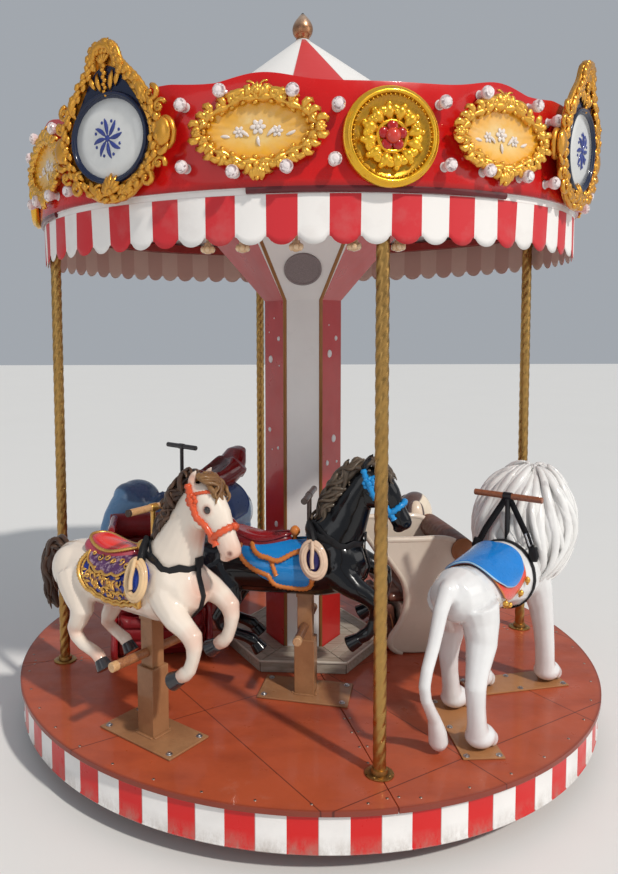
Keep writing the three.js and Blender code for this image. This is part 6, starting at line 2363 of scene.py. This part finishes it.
    def seat(self, name, rider, paint, rim, knob):
        seat = begin(f"{name}_seat")
        limb([(-0.318, 0, 0.668, 0.022, 1.9), (-0.305, 0, 0.668, 0.038, 1.75),
              (-0.280, 0, 0.660, 0.048, 1.55), (-0.235, 0, 0.648, 0.056, 1.32),
              (-0.180, 0, 0.642, 0.058, 1.22), (-0.130, 0, 0.645, 0.054, 1.15),
              (-0.090, 0, 0.656, 0.040, 1.10), (-0.055, 0, 0.668, 0.024, 1.0)], 24)
        end(seat)
        subdivide(seat, 2)
        for vert in seat.data.vertices:
            inner = 1 - ((vert.co.x + 0.185) / 0.115) ** 2 - (vert.co.y / 0.056) ** 2
            if inner > 0 and vert.co.z > 0.66:
                vert.co.z -= 0.012 * min(1.0, inner * 1.6)
            vert.co.z += 0.009
        mark(seat, "share",
             lambda co: 1 - ((co.x + 0.185) / 0.125) ** 2 - (co.y / 0.064) ** 2 if co.z > 0.655 else 0)
        set_rider(seat, rider, paint)
        edge = begin(f"{name}_seat_rim")
        path = []
        for k in range(61):
            turn = 2 * math.pi * k / 60
            x = -0.183 + 0.128 * math.cos(turn)
            share = (x + 0.311) / 0.256
            path.append((x, 0.071 * math.sin(turn) * (1.1 - 0.35 * share),
                         0.709 - 0.048 * math.sin(math.pi * share) ** 1.5 * 0.55 - 0.012 * share))
        braid(path, 0.0062, 0.011, lateral=(0, 0, 1))
        end(edge, angle=80)
        set_rider(edge, rider, rim)
        pommel = begin(f"{name}_pommel")
        lathe([(0, -0.020), (0.010, -0.018), (0.009, 0.0), (0.014, 0.004), (0.021, 0.014), (0.0215, 0.024),
               (0.016, 0.035), (0.007, 0.042), (0, 0.043)], 20, (-0.044, 0, 0.685))
        end(pommel, angle=80)
        set_rider(pommel, rider, knob)

    def handle(self, name, rider, wood, post, cap):
        for label, build, material in (("grip", self.grip, wood), ("grip_caps", self.grip_caps, cap),
                                       ("grip_post", self.grip_post, post)):
            piece = begin(f"{name}_{label}")
            build()
            end(piece)
            round_edges(piece, 0.002, 2)
            kept = [f"{name}_handle"] if label == "grip" else []
            set_rider(piece, rider, material, kept)

    def grip(self):
        rod((0.015, -0.113, 0.858), (0.015, 0.113, 0.858), 0.0128, 24)

    def grip_caps(self):
        for hand in (-1, 1):
            rod((0.015, hand * 0.112, 0.858), (0.015, hand * 0.125, 0.858), 0.0132, 24)

    def grip_post(self):
        rod((0.015, 0, 0.640), (0.015, 0, 0.848), 0.0098, 16)
        rod((0.015, -0.016, 0.858), (0.015, 0.016, 0.858), 0.0152, 24)
        rod((0.015, 0, 0.690), (0.015, 0, 0.700), 0.016, 24, 0.012)

    def stand(self, name, rider, steel):
        low = 0.0005 - rider[2]
        piece = begin(f"{name}_post")
        block(-0.185, 0.185, -0.1025, 0.1025, low, low + 0.008)
        block(-0.041, 0.041, -0.041, 0.041, low + 0.007, 0.265)
        block(-0.030, 0.030, -0.030, 0.030, 0.25, 0.475)
        block(-0.034, 0.034, -0.034, 0.034, 0.44, 0.462)
        for x, y in ((-0.047, 0), (0.047, 0), (0, -0.047), (0, 0.047)):
            long = 0.041 if x == 0 else 0.006
            wide = 0.041 if y == 0 else 0.006
            block(x - long, x + long, y - wide, y + wide, low + 0.007, low + 0.012)
        end(piece)
        round_edges(piece, 0.0024, 3)
        set_rider(piece, rider, steel, [f"{name}_stand"])
        bolts = begin(f"{name}_bolts")
        for x in (-0.160, 0.160):
            for y in (-0.078, 0.078):
                rod((x, y, low + 0.008), (x, y, low + 0.0095), 0.0125, 20)
                rod((x, y, low + 0.0095), (x, y, low + 0.0145), 0.0080, 6)
        end(bolts)
        round_edges(bolts, 0.0008, 1)
        set_rider(bolts, rider, self.bolt_steel())

    def footrest(self, name, rider, wood, end_wood):
        piece = begin(f"{name}_foot_dowel")
        rod((0, -0.172, 0.320), (0, 0.172, 0.320), 0.0172, 24)
        end(piece)
        round_edges(piece, 0.002)
        set_rider(piece, rider, wood, [f"{name}_footrest"])
        tips = begin(f"{name}_foot_tips")
        for hand in (-1, 1):
            rod((0, hand * 0.171, 0.320), (0, hand * 0.200, 0.320), 0.0178, 24)
        end(tips)
        round_edges(tips, 0.003, 3)
        set_rider(tips, rider, end_wood)


class CAROUSEL_OT_cream_horse(HorseMaker):
    """Cream jumping horse with brown mane, orange halter, red seat and gold-worked saddle cloth"""

    bl_idname = "carousel.cream_horse"
    bl_label = "Cream horse"

    def execute(self, context):
        name, rider = "cream_horse", CREAM_HORSE
        body = self.horse_form("cream_horse_body")
        mark(body, "blush", near(self.blush_spots))
        mark(body, "dark", near(((0.405, -0.026, 0.764, 0.015), (0.405, 0.026, 0.764, 0.015),
                                 (0.262, -0.054, 1.0, 0.012), (0.262, 0.054, 1.0, 0.012),
                                 (0.320, -0.0435, 0.9015, 0.021), (0.320, 0.0435, 0.9015, 0.021))))
        coat = painted("cream_coat", tuple(self.colours.coat_cream), 0.17, 0.8, dirt=0.05, grain=0.1,
                       scale=6.0)
        blush = coat.ramp(coat.attribute("blush"), 0.0, 1.0, 0.0, 0.85)
        coat.blend(blush, (0.64, 0.25, 0.15))
        # Brown painted shade in the hollows of the body
        coat.blend(coat.ramp(coat.pointiness(), 0.49, 0.42, 0.0, 0.7), (0.42, 0.24, 0.15))
        coat.blend(coat.ramp(coat.attribute("dark"), 0.1, 0.7, 0.0, 0.9), (0.16, 0.045, 0.03))
        coat.blend(coat.ramp(coat.noise(34.0, 8.0, 0.75), 0.66, 0.72, 0.0, 0.55), (0.30, 0.20, 0.15))
        black = painted("strap_black", (0.012, 0.012, 0.014), 0.42, 0.1, dirt=0.2, grain=0.5,
                        scale=20.0).material
        gold = gilded("saddle_gold", (0.74, 0.42, 0.10))
        brown = self.hair_finish("hair_brown", (0.036, 0.017, 0.012), (0.19, 0.100, 0.055))
        self.harness(name, body, rider, black)
        orange = painted("halter_orange", (0.72, 0.10, 0.030), 0.28, 0.5, dirt=0.2, scale=30.0)
        self.halter(name, body, rider, orange.material, "saddle_red")
        set_rider(body, rider, coat.material, [name])
        self.hair(name, 11, rider, brown, "brown_wood")
        # The forelock is deep brown; its golden crests are a painted highlight
        highlit_forelock = self.hair_finish("forelock_highlit", (0.13, 0.055, 0.022), (0.58, 0.33, 0.12))
        self.forelock(name, 5, rider, highlit_forelock, "brown_wood")
        self.eyes(name, rider)
        hoof = painted("hoof_black", (0.03, 0.03, 0.034), 0.18, 0.8, wear=(0.5, 0.5, 0.52), dirt=0.2,
                       scale=18.0).material
        set_rider(self.hooves(f"{name}_hooves"), rider, hoof)
        red = painted("seat_red", (0.70, 0.018, 0.016), 0.20, 0.7, dirt=0.05)
        red.blend(red.ramp(red.attribute("share"), 0.0, 0.35, 1.0, 0.0), (0.42, 0.05, 0.08))
        red.blend(red.ramp(red.attribute("share"), 0.30, 0.75, 0.0, 0.9), (0.90, 0.030, 0.008))
        self.seat(name, rider, red.material, gold, gold)
        self.saddle_cloth(name, rider, gold)
        cord = painted("rope_cream", (0.76, 0.52, 0.29), 0.3, 0.4, dirt=0.15, scale=22.0)
        cord.blend(cord.ramp(cord.pointiness(), 0.5, 0.44), (0.42, 0.20, 0.05))
        self.coil(name, rider, cord.material, painted("pad_blue", (0.010, 0.045, 0.33), 0.22, 0.7).material)
        wood = self.wood_finish("grip_wood", (0.62, 0.36, 0.17), (0.42, 0.20, 0.08))
        dark = painted("grip_cap_dark", (0.05, 0.028, 0.02), 0.45, 0.2).material
        self.handle(name, rider, wood, gold, dark)
        self.stand(name, rider, self.post_finish())
        self.footrest(name, rider, self.wood_finish("dowel_brown", (0.36, 0.15, 0.06), (0.20, 0.07, 0.03)),
                      self.wood_finish("dowel_tip", (0.64, 0.38, 0.18), (0.46, 0.24, 0.10)))
        return {"FINISHED"}

    def saddle_cloth(self, name, rider, gold):
        back = [(-0.225, 0.010), (-0.262, 0.070), (-0.280, 0.120), (-0.270, 0.165), (-0.235, 0.198)]
        front = [(0.045, 0.010), (0.062, 0.070), (0.068, 0.120), (0.068, 0.170), (0.060, 0.215)]

        def drop(s):
            return 0.026 * math.sin(math.pi * min(1.0, s * 1.15)) + 0.0035 * math.sin(s * 40)

        blue = painted("cloth_royal", (0.008, 0.030, 0.30), 0.22, 0.7, dirt=0.1)
        blue.blend(blue.ramp(blue.noise(30.0, 4.0, 0.6, distortion=0.8), 0.50, 0.56, 0.0, 0.85),
                   (0.42, 0.20, 0.10))
        cloth = both_sides(flat_cloth(f"{name}_cloth", back, front, drop, 0.005, 0.006), self.spine,
                           self.girth)
        set_rider(cloth, rider, blue.material, [f"{name}_saddle"])
        work = begin(f"{name}_goldwork")
        for scale, radius in ((1.0, 0.0085), (0.90, 0.0045), (0.70, 0.0036)):
            edge = [(-0.10 + (x + 0.10) * scale, y, -0.10 + (z + 0.10) * scale)
                    for x, y, z in cloth_edge(back, front, drop, 0.010)]
            braid(edge, radius, 0.011, lateral=(0, 1, 0))
        for x, w, heading, size, hand in (
            (-0.215, 0.150, 0.5, 0.018, 1), (-0.170, 0.178, 2.5, 0.016, -1), (-0.125, 0.190, 0.2, 0.017, 1),
            (-0.080, 0.196, 3.0, 0.015, -1), (-0.035, 0.195, 0.4, 0.016, 1),
            (-0.190, 0.120, 1.0, 0.014, -1), (-0.100, 0.155, 2.0, 0.016, 1),
            (-0.055, 0.150, 0.9, 0.014, -1), (0.000, 0.175, 2.2, 0.015, 1), (-0.145, 0.145, 4.0, 0.014, -1),
        ):
            scroll(x, -w, heading, size, -0.008, hand, 1.1, 0.22)
        rng = random.Random(3)
        for k in range(36):
            x, w = -0.235 + 0.0072 * k, 0.125 + 0.075 * rng.random() * math.sin(math.pi * (0.2 + k / 50))
            leaf(x, -w, rng.uniform(0, 6.28), 0.026, 0.0058, 0.006, rng.uniform(-1.4, 1.4), -0.008, 6)
        end(work, angle=70)
        set_rider(both_sides(work, self.spine, self.girth), rider, gold)
        flap_back = [(-0.245, 0.020), (-0.262, 0.065), (-0.245, 0.105), (-0.205, 0.118)]
        flap_front = [(-0.020, 0.020), (-0.012, 0.060), (-0.020, 0.095), (-0.045, 0.110)]

        def flap_drop(s):
            return 0.010 * abs(math.sin(3 * math.pi * s)) + 0.010 * math.sin(math.pi * s)

        purple = painted("flap_purple", (0.095, 0.028, 0.11), 0.3, 0.5, dirt=0.25, scale=26.0)
        purple.blend(purple.ramp(purple.noise(55.0, 4.0), 0.5, 0.62, 0.0, 0.7), (0.42, 0.30, 0.36))
        flap = both_sides(flat_cloth(f"{name}_flap", flap_back, flap_front, flap_drop, 0.013, 0.007),
                          self.spine, self.girth)
        set_rider(flap, rider, purple.material)
        trim = begin(f"{name}_flap_trim")
        braid(cloth_edge(flap_back, flap_front, flap_drop, 0.0165), 0.0050, 0.010)
        for k in range(6):
            scroll(-0.222 + 0.036 * k, -0.072 - 0.010 * (k % 2), 0.8 + k, 0.0135, -0.015, (-1) ** k, 1.1,
                   0.24)
        end(trim, angle=70)
        set_rider(both_sides(trim, self.spine, self.girth), rider, gold)


class CAROUSEL_OT_black_horse(HorseMaker):
    """Black jumping horse with grey-brown mane, blue halter, maroon seat and two-tier blue cloth"""

    bl_idname = "carousel.black_horse"
    bl_label = "Black horse"

    def execute(self, context):
        name, rider = "black_horse", BLACK_HORSE
        body = self.horse_form("black_horse_body")
        coat = painted("black_coat", (0.0030, 0.0032, 0.0045), 0.16, 0.45, dirt=0.03, grain=0.1, scale=6.0)
        coat.blend(coat.ramp(coat.noise(3.0, 6.0), 0.5, 0.8, 0.0, 0.5), (0.006, 0.008, 0.018))
        black = painted("strap_black_2", (0.012, 0.012, 0.014), 0.42, 0.1, dirt=0.2, grain=0.5,
                        scale=20.0).material
        self.harness(name, body, rider, black)
        azure = painted("halter_blue", (0.010, 0.26, 0.62), 0.25, 0.6, dirt=0.12, scale=30.0).material
        self.halter(name, body, rider, azure, "lion_blue")
        set_rider(body, rider, coat.material, [name])
        grey = self.hair_finish("hair_grey", (0.055, 0.040, 0.028), (0.24, 0.18, 0.125))
        self.hair(name, 23, rider, grey, "brown_wood")
        self.forelock(name, 8, rider, grey, "brown_wood")
        self.eyes(name, rider)
        set_rider(self.hooves(f"{name}_hooves"), rider, coat.material)
        maroon = painted("seat_maroon", (0.20, 0.008, 0.012), 0.22, 0.7, dirt=0.15)
        maroon.blend(maroon.ramp(maroon.attribute("share"), 0.1, 0.6, 0.0, 0.6), (0.30, 0.012, 0.016))
        trim = painted("braid_orange", (0.64, 0.20, 0.040), 0.32, 0.4, dirt=0.15, scale=30.0)
        # Darker painted shade in the hollows of the plait
        trim.blend(trim.ramp(trim.pointiness(), 0.5, 0.44), (0.22, 0.05, 0.01))
        self.seat(name, rider, maroon.material, maroon.material, trim.material)
        self.tiers(name, rider, trim.material)
        cord = painted("rope_pale", (0.72, 0.52, 0.38), 0.3, 0.4, dirt=0.15, scale=22.0)
        cord.blend(cord.ramp(cord.pointiness(), 0.5, 0.44), (0.40, 0.19, 0.07))
        self.coil(name, rider, cord.material, painted("pad_dark", (0.020, 0.014, 0.10), 0.22, 0.7).material)
        dark = self.wood_finish("grip_dark", (0.050, 0.030, 0.024), (0.028, 0.018, 0.014))
        self.handle(name, rider, dark, dark, dark)
        self.stand(name, rider, self.post_finish())
        self.footrest(name, rider, self.wood_finish("dowel_dark", (0.20, 0.085, 0.04), (0.10, 0.04, 0.02)),
                      self.wood_finish("dowel_pale", (0.55, 0.32, 0.16), (0.38, 0.19, 0.08)))
        return {"FINISHED"}

    def tiers(self, name, rider, trim):
        azure = painted("cloth_azure", (0.004, 0.22, 0.60), 0.20, 0.7, dirt=0.06, grain=0.3)
        tiers = (
            ([(-0.225, 0.020), (-0.262, 0.080), (-0.255, 0.120), (-0.205, 0.165), (-0.130, 0.190)],
             [(0.030, 0.020), (0.042, 0.080), (0.046, 0.150), (0.046, 0.215), (0.030, 0.238), (0.000, 0.243)],
             lambda s: 0.046 * (1 - math.exp(-7 * s)) * (1 - s), 0.005, True),
            ([(-0.200, 0.020), (-0.212, 0.060), (-0.195, 0.100), (-0.160, 0.118)],
             [(0.020, 0.020), (0.022, 0.050), (0.010, 0.080), (-0.020, 0.092)],
             lambda s: 0.030 * math.sin(math.pi * s) ** 2 * (1 - 0.5 * s), 0.014, False),
        )
        for k, (back, front, drop, lift, main) in enumerate(tiers):
            cloth = both_sides(flat_cloth(f"{name}_cloth_{k + 1}", back, front, drop, lift, 0.007),
                               self.spine, self.girth)
            set_rider(cloth, rider, azure.material, [f"{name}_saddle"] if main else [])
            edge = begin(f"{name}_braid_{k + 1}")
            braid(cloth_edge(back, front, drop, lift + 0.003), 0.0100, 0.015)
            if main:
                braid([(-0.130 + 0.004 * j, -lift - 0.004, -0.110 - 0.010 * j) for j in range(9)], 0.0090,
                      0.015)
            end(edge, angle=70)
            set_rider(both_sides(edge, self.spine, self.girth), rider, trim)
        cantle = begin(f"{name}_cantle")
        limb([(-0.300, -0.080, 0.655, 0.018), (-0.320, -0.066, 0.690, 0.022), (-0.332, -0.035, 0.716, 0.025),
              (-0.336, 0, 0.724, 0.026), (-0.332, 0.035, 0.716, 0.025), (-0.320, 0.066, 0.690, 0.022),
              (-0.300, 0.080, 0.655, 0.018)], 14, (1, 0, 0))
        end(cantle, angle=70)
        set_rider(cantle, rider, painted("cantle_maroon", (0.22, 0.010, 0.014), 0.2, 0.7, dirt=0.15).material)


class BenchMaker(RiderMaker):
    """What both benches share: a moulded shell, sewn pads and a roll along the back."""

    def swell(self, pad, cap):
        """Fills a pad by cloth simulation, a point moving no further than cap."""
        modify(pad, "REMESH", mode="VOXEL", voxel_size=0.006, use_smooth_shade=True)
        start = [vert.co.copy() for vert in pad.data.vertices]
        pick(pad)
        fill = pad.modifiers.new("fill", "CLOTH")
        fill.settings.use_pressure = True
        fill.settings.uniform_pressure_force = 4.0
        fill.settings.effector_weights.gravity = 0
        fill.settings.quality = 5
        fill.point_cache.frame_start, fill.point_cache.frame_end = 1, 20
        for frame in range(1, 21):
            bpy.context.scene.frame_set(frame)
        bpy.ops.object.modifier_apply(modifier="fill")
        bpy.context.scene.frame_set(1)
        for vert, spot in zip(pad.data.vertices, start):
            move = vert.co - spot
            if move.length > cap:
                vert.co = spot + move.normalized() * cap
        return subdivide(pad)

    def pad(self, name, length, width, thick, seams, pinch=0.004):
        """A flat pad on the XY plane, its sides pulled in between its corners, with sewn channels."""
        pad = begin(name)
        bpy.ops.mesh.primitive_grid_add(x_subdivisions=24, y_subdivisions=28, size=1)
        mesh = edit_mesh()
        for vert in mesh.verts:
            s, t = vert.co.x * 2, vert.co.y * 2
            vert.co = Vector((s * (length / 2 - pinch * (1 - t * t)), t * (width / 2 - pinch * (1 - s * s)),
                              0))
        refresh()
        end(pad)
        modify(pad, "SOLIDIFY", thickness=thick, offset=0)
        modify(pad, "BEVEL", width=thick * 0.42, segments=4, limit_method="ANGLE",
               angle_limit=math.radians(50))
        self.swell(pad, 0.010)
        for vert in pad.data.vertices:
            if vert.co.z > 0:
                across = max(0.0, 1 - (2 * vert.co.y / width) ** 4)
                edge = across * max(0.0, 1 - (2 * vert.co.x / length) ** 4)
                channel = max([0.0] + [1 - ((vert.co.x - seam) / 0.010) ** 2 for seam in seams])
                vert.co.z += 0.007 * edge - 0.010 * channel * min(1.0, edge * 3)
        return thin(pad, KEEP_PAD)

    def piping(self, name, length, width, seams, height):
        """The welt round a pad and the stitches along its channels."""
        piece = begin(name)
        half_l, half_w = length / 2 - 0.001, width / 2 - 0.001
        corners = soften([(-half_l, -half_w, 0), (half_l, -half_w, 0), (half_l, half_w, 0),
                          (-half_l, half_w, 0)], 3, True)
        limb([(*p, 0.0032) for p in [*corners, corners[0]]], 8, (0, 0, 1))
        for seam in seams:
            for k in range(int(width / 0.012) - 2):
                y = -half_w + 0.016 + 0.012 * k
                ball(seam, y, height, 0.0012, 0.0040, 0.0010, 6, 4)
        end(piece, angle=70)
        return piece

    def leather(self, name, colour, deep):
        skin = painted(name, colour, 0.42, 0.15, dirt=0.25, grain=0.0, scale=9.0)
        folds = skin.noise(14.0, 5.0, 0.6, stretch=(1, 0.35, 1), distortion=1.4)
        skin.blend(skin.ramp(folds, 0.52, 0.72, 0.0, 0.8), deep)
        skin.bump(folds, 0.7, 0.006).bump(skin.noise(420.0, 2.0), 0.25, 0.0005)
        return skin.material

    def settle(self, piece, centre, tilt, rider, material, slot, replaces=()):
        pick(piece)
        piece.matrix_world = Matrix.Translation(centre) @ Matrix.Rotation(tilt, 4, "Y")
        bpy.ops.object.transform_apply(location=True, rotation=True, scale=True)
        return set_rider(piece, rider, material, replaces)

    def bench(self, name, rider, height, depth, shell_paint, slot, pad_paint, pad_slot, disc_paint):
        side = [(-0.150, 0.0008), (0.095, 0.0008), (0.148, 0.030), (0.146, 0.075), (0.104, 0.130),
                (0.074, 0.205), (0.070, 0.270), (0.084, height - 0.195), (0.124, height - 0.135),
                (0.168, height - 0.070), (0.208, height - 0.022), (0.196, height), (0.030, height - 0.006),
                (-0.125, height), (-0.215, height - 0.060), (-0.229, height - 0.112), (-0.190, 0.230)]
        outline = soften([(x * depth, z) for x, z in side], 3, True)
        shell = begin(f"{name}_moulding")
        for y in (-0.230, 0.201):
            plate([tuple(p) for p in outline], 0.029, y)
        core = [(-0.148, 0.004), (0.060, 0.004), (0.096, 0.120), (0.096, 0.226), (-0.146, 0.226),
                (-0.181, height - 0.130), (-0.186, height - 0.115), (-0.226, height - 0.113)]
        plate([(x * depth, z) for x, z in core], 0.404, -0.202)
        end(shell)
        round_edges(shell, 0.0105, 4)
        for y in (-0.2155, 0.2155):
            rim = begin(f"{name}_rim")
            path = soften([(x * depth, y, z) for x, z in side[1:15]], 3)
            limb([(*p, 0.0165) for p in path], 14, (0, 1, 0))
            end(rim, angle=80)
            shell = join(shell, rim)
        set_rider(shell, rider, shell_paint, [f"{name}_shell"])
        run, rise = 0.292 * depth, 0.040 * depth
        tilt = math.atan2(height - 0.40, -rise) - math.pi
        pads = (
            ("seat_pad", run, 0.392, 0.028, (0.010 * depth, 0.246 + 0.003), 0.0,
             (-0.07 * depth, 0.07 * depth), [f"{name}_cushion"]),
            ("back_pad", height - 0.405, 0.392, 0.026, (-0.149 * depth, 0.270 + (height - 0.40) / 2), tilt,
             (0.0,), []),
            ("front_pad", 0.172, 0.392, 0.032, (0.133 * depth, 0.135), math.radians(-80) + math.pi,
             (-0.03, 0.03), []),
        )
        for label, length, width, thick, (x, z), turn, seams, kept in pads:
            welt = self.piping(f"{name}_{label}_welt", length, width, seams, thick / 2 + 0.001)
            piece = self.pad(f"{name}_{label}", length, width, thick, seams)
            self.settle(piece, (x, 0, z), turn, rider, pad_paint, pad_slot, kept)
            self.settle(welt, (x, 0, z), turn, rider, disc_paint, pad_slot)
        arms = begin(f"{name}_arm_pads")
        for hand in (-1, 1):
            block(-0.125 * depth, 0.085 * depth, hand * 0.1995, hand * 0.184, 0.262, height - 0.110)
        end(arms)
        modify(arms, "BEVEL", width=0.006, segments=3)
        subdivide(arms, 2)
        set_rider(arms, rider, pad_paint)
        self.roll(name, rider, height, depth, pad_paint, pad_slot, disc_paint)

    def roll(self, name, rider, height, depth, pad_paint, slot, disc_paint):
        x, z = -0.185 * depth, height - 0.055
        roll = begin(f"{name}_bolster")
        stations = [(x, -0.236, z, 0.030)]
        for k in range(33):
            y = -0.2352 + 0.4704 * k / 32
            near_end = min(k, 32 - k) / 16
            stations.append((x, y, z,
                             0.0562 + 0.0022 * math.sin(math.pi * near_end / 2) + 0.0008 * math.sin(k * 2.4)))
        stations.append((x, 0.236, z, 0.030))
        limb(stations, 40, (1, 0, 0))
        end(roll, angle=60)
        subdivide(roll)
        set_rider(roll, rider, pad_paint, [f"{name}_roll"])
        ends = begin(f"{name}_bolster_ends")
        for hand in (-1, 1):
            limb([(x, hand * 0.230, z, 0.049), (x, hand * 0.2375, z, 0.049), (x, hand * 0.2400, z, 0.044),
                  (x, hand * 0.2412, z, 0.020)], 40, (1, 0, 0))
            hoop((x, hand * 0.2360, z), 0.0520, 0.0036, (math.pi / 2, 0, 0), 48, 10)
        end(ends)
        set_rider(ends, rider, disc_paint)


class CAROUSEL_OT_cream_bench(BenchMaker):
    """Cream moulded bench with brown leather pads and a roll along its back"""

    bl_idname = "carousel.cream_bench"
    bl_label = "Cream bench"

    def execute(self, context):
        cream = painted("bench_cream", (0.74, 0.64, 0.53), 0.2, 0.7, dirt=0.10, scale=5.0)
        # Darker towards the deck: painted shade on the lower shell
        cream.blend(cream.ramp(cream.axis(2), DECK_TOP + 0.16, DECK_TOP, 0.0, 0.45), (0.33, 0.24, 0.17))
        brown = self.leather("leather_brown", (0.150, 0.060, 0.040), (0.055, 0.022, 0.016))
        copper = painted("disc_copper", (0.34, 0.135, 0.055), 0.36, 0.3, dirt=0.3, grain=0.6,
                         scale=12.0).material
        self.bench("cream_bench", CREAM_BENCH, 0.535, 1.0, cream.material, "cream_gloss", brown,
                   "brown_leather", copper)
        toe = begin("cream_bench_toe")
        limb([(0.085, 0.150, 0.012, 0.010), (0.130, 0.165, 0.020, 0.020), (0.175, 0.180, 0.026, 0.018),
              (0.195, 0.186, 0.028, 0.008)], 12, (0, 0, 1))
        end(toe, angle=80)
        set_rider(toe, CREAM_BENCH, painted("toe_red", (0.62, 0.055, 0.018), 0.3, 0.5).material)
        return {"FINISHED"}


class CAROUSEL_OT_red_bench(BenchMaker):
    """Maroon moulded bench with pads and a roll of the same colour"""

    bl_idname = "carousel.red_bench"
    bl_label = "Red bench"

    def execute(self, context):
        maroon = painted("bench_maroon", (0.26, 0.008, 0.012), 0.22, 0.7, dirt=0.12, scale=5.0)
        # Darker towards the deck: painted shade on the lower shell
        maroon.blend(maroon.ramp(maroon.axis(2), DECK_TOP + 0.16, DECK_TOP, 0.0, 0.45), (0.10, 0.012, 0.012))
        hide = self.leather("leather_maroon", (0.20, 0.010, 0.014), (0.075, 0.005, 0.008))
        disc = painted("disc_maroon", (0.30, 0.010, 0.014), 0.32, 0.4, dirt=0.3, grain=0.5,
                       scale=12.0).material
        self.bench("red_bench", RED_BENCH, 0.620, 0.78, maroon.material, "bench_maroon", hide,
                   "maroon_leather", disc)
        return {"FINISHED"}


OPERATORS = (
    CAROUSEL_OT_stage,
    CAROUSEL_OT_underframe,
    CAROUSEL_OT_deck,
    CAROUSEL_OT_skirt,
    CAROUSEL_OT_plinth,
    CAROUSEL_OT_column,
    CAROUSEL_OT_speaker,
    CAROUSEL_OT_poles,
    CAROUSEL_OT_tent,
    CAROUSEL_OT_finial,
    CAROUSEL_OT_valance,
    CAROUSEL_OT_boards,
    CAROUSEL_OT_lamps,
    CAROUSEL_OT_medallions,
    CAROUSEL_OT_shields,
    CAROUSEL_OT_cream_horse,
    CAROUSEL_OT_black_horse,
    CAROUSEL_OT_lion,
    CAROUSEL_OT_elephant,
    CAROUSEL_OT_cream_bench,
    CAROUSEL_OT_red_bench,
    CAROUSEL_OT_puppy,
)


class CAROUSEL_PT_panel(bpy.types.Panel):
    """Lists the carousel's sizes, paints and pieces"""

    bl_idname = "CAROUSEL_PT_panel"
    bl_label = "Carousel"
    bl_space_type = "VIEW_3D"
    bl_region_type = "UI"
    bl_category = "Carousel"

    def draw(self, context):
        for group in (context.scene.carousel_sizes, context.scene.carousel_colours):
            for name in group.bl_rna.properties.keys():
                if name not in ("rna_type", "name"):
                    self.layout.prop(group, name)
        for operator in OPERATORS:
            self.layout.operator(operator.bl_idname)


CLASSES = (CarouselSizes, CarouselColours, *OPERATORS, CAROUSEL_PT_panel)


def register():
    for cls in CLASSES:
        bpy.utils.register_class(cls)
    bpy.types.Scene.carousel_sizes = PointerProperty(type=CarouselSizes)
    bpy.types.Scene.carousel_colours = PointerProperty(type=CarouselColours)


def unregister():
    del bpy.types.Scene.carousel_colours
    del bpy.types.Scene.carousel_sizes
    for cls in reversed(CLASSES):
        bpy.utils.unregister_class(cls)


def main():
    register()
    for operator in OPERATORS:
        group, name = operator.bl_idname.split(".")
        getattr(getattr(bpy.ops, group), name)()
    deselect()
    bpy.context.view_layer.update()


if __name__ == "__main__":
    main()
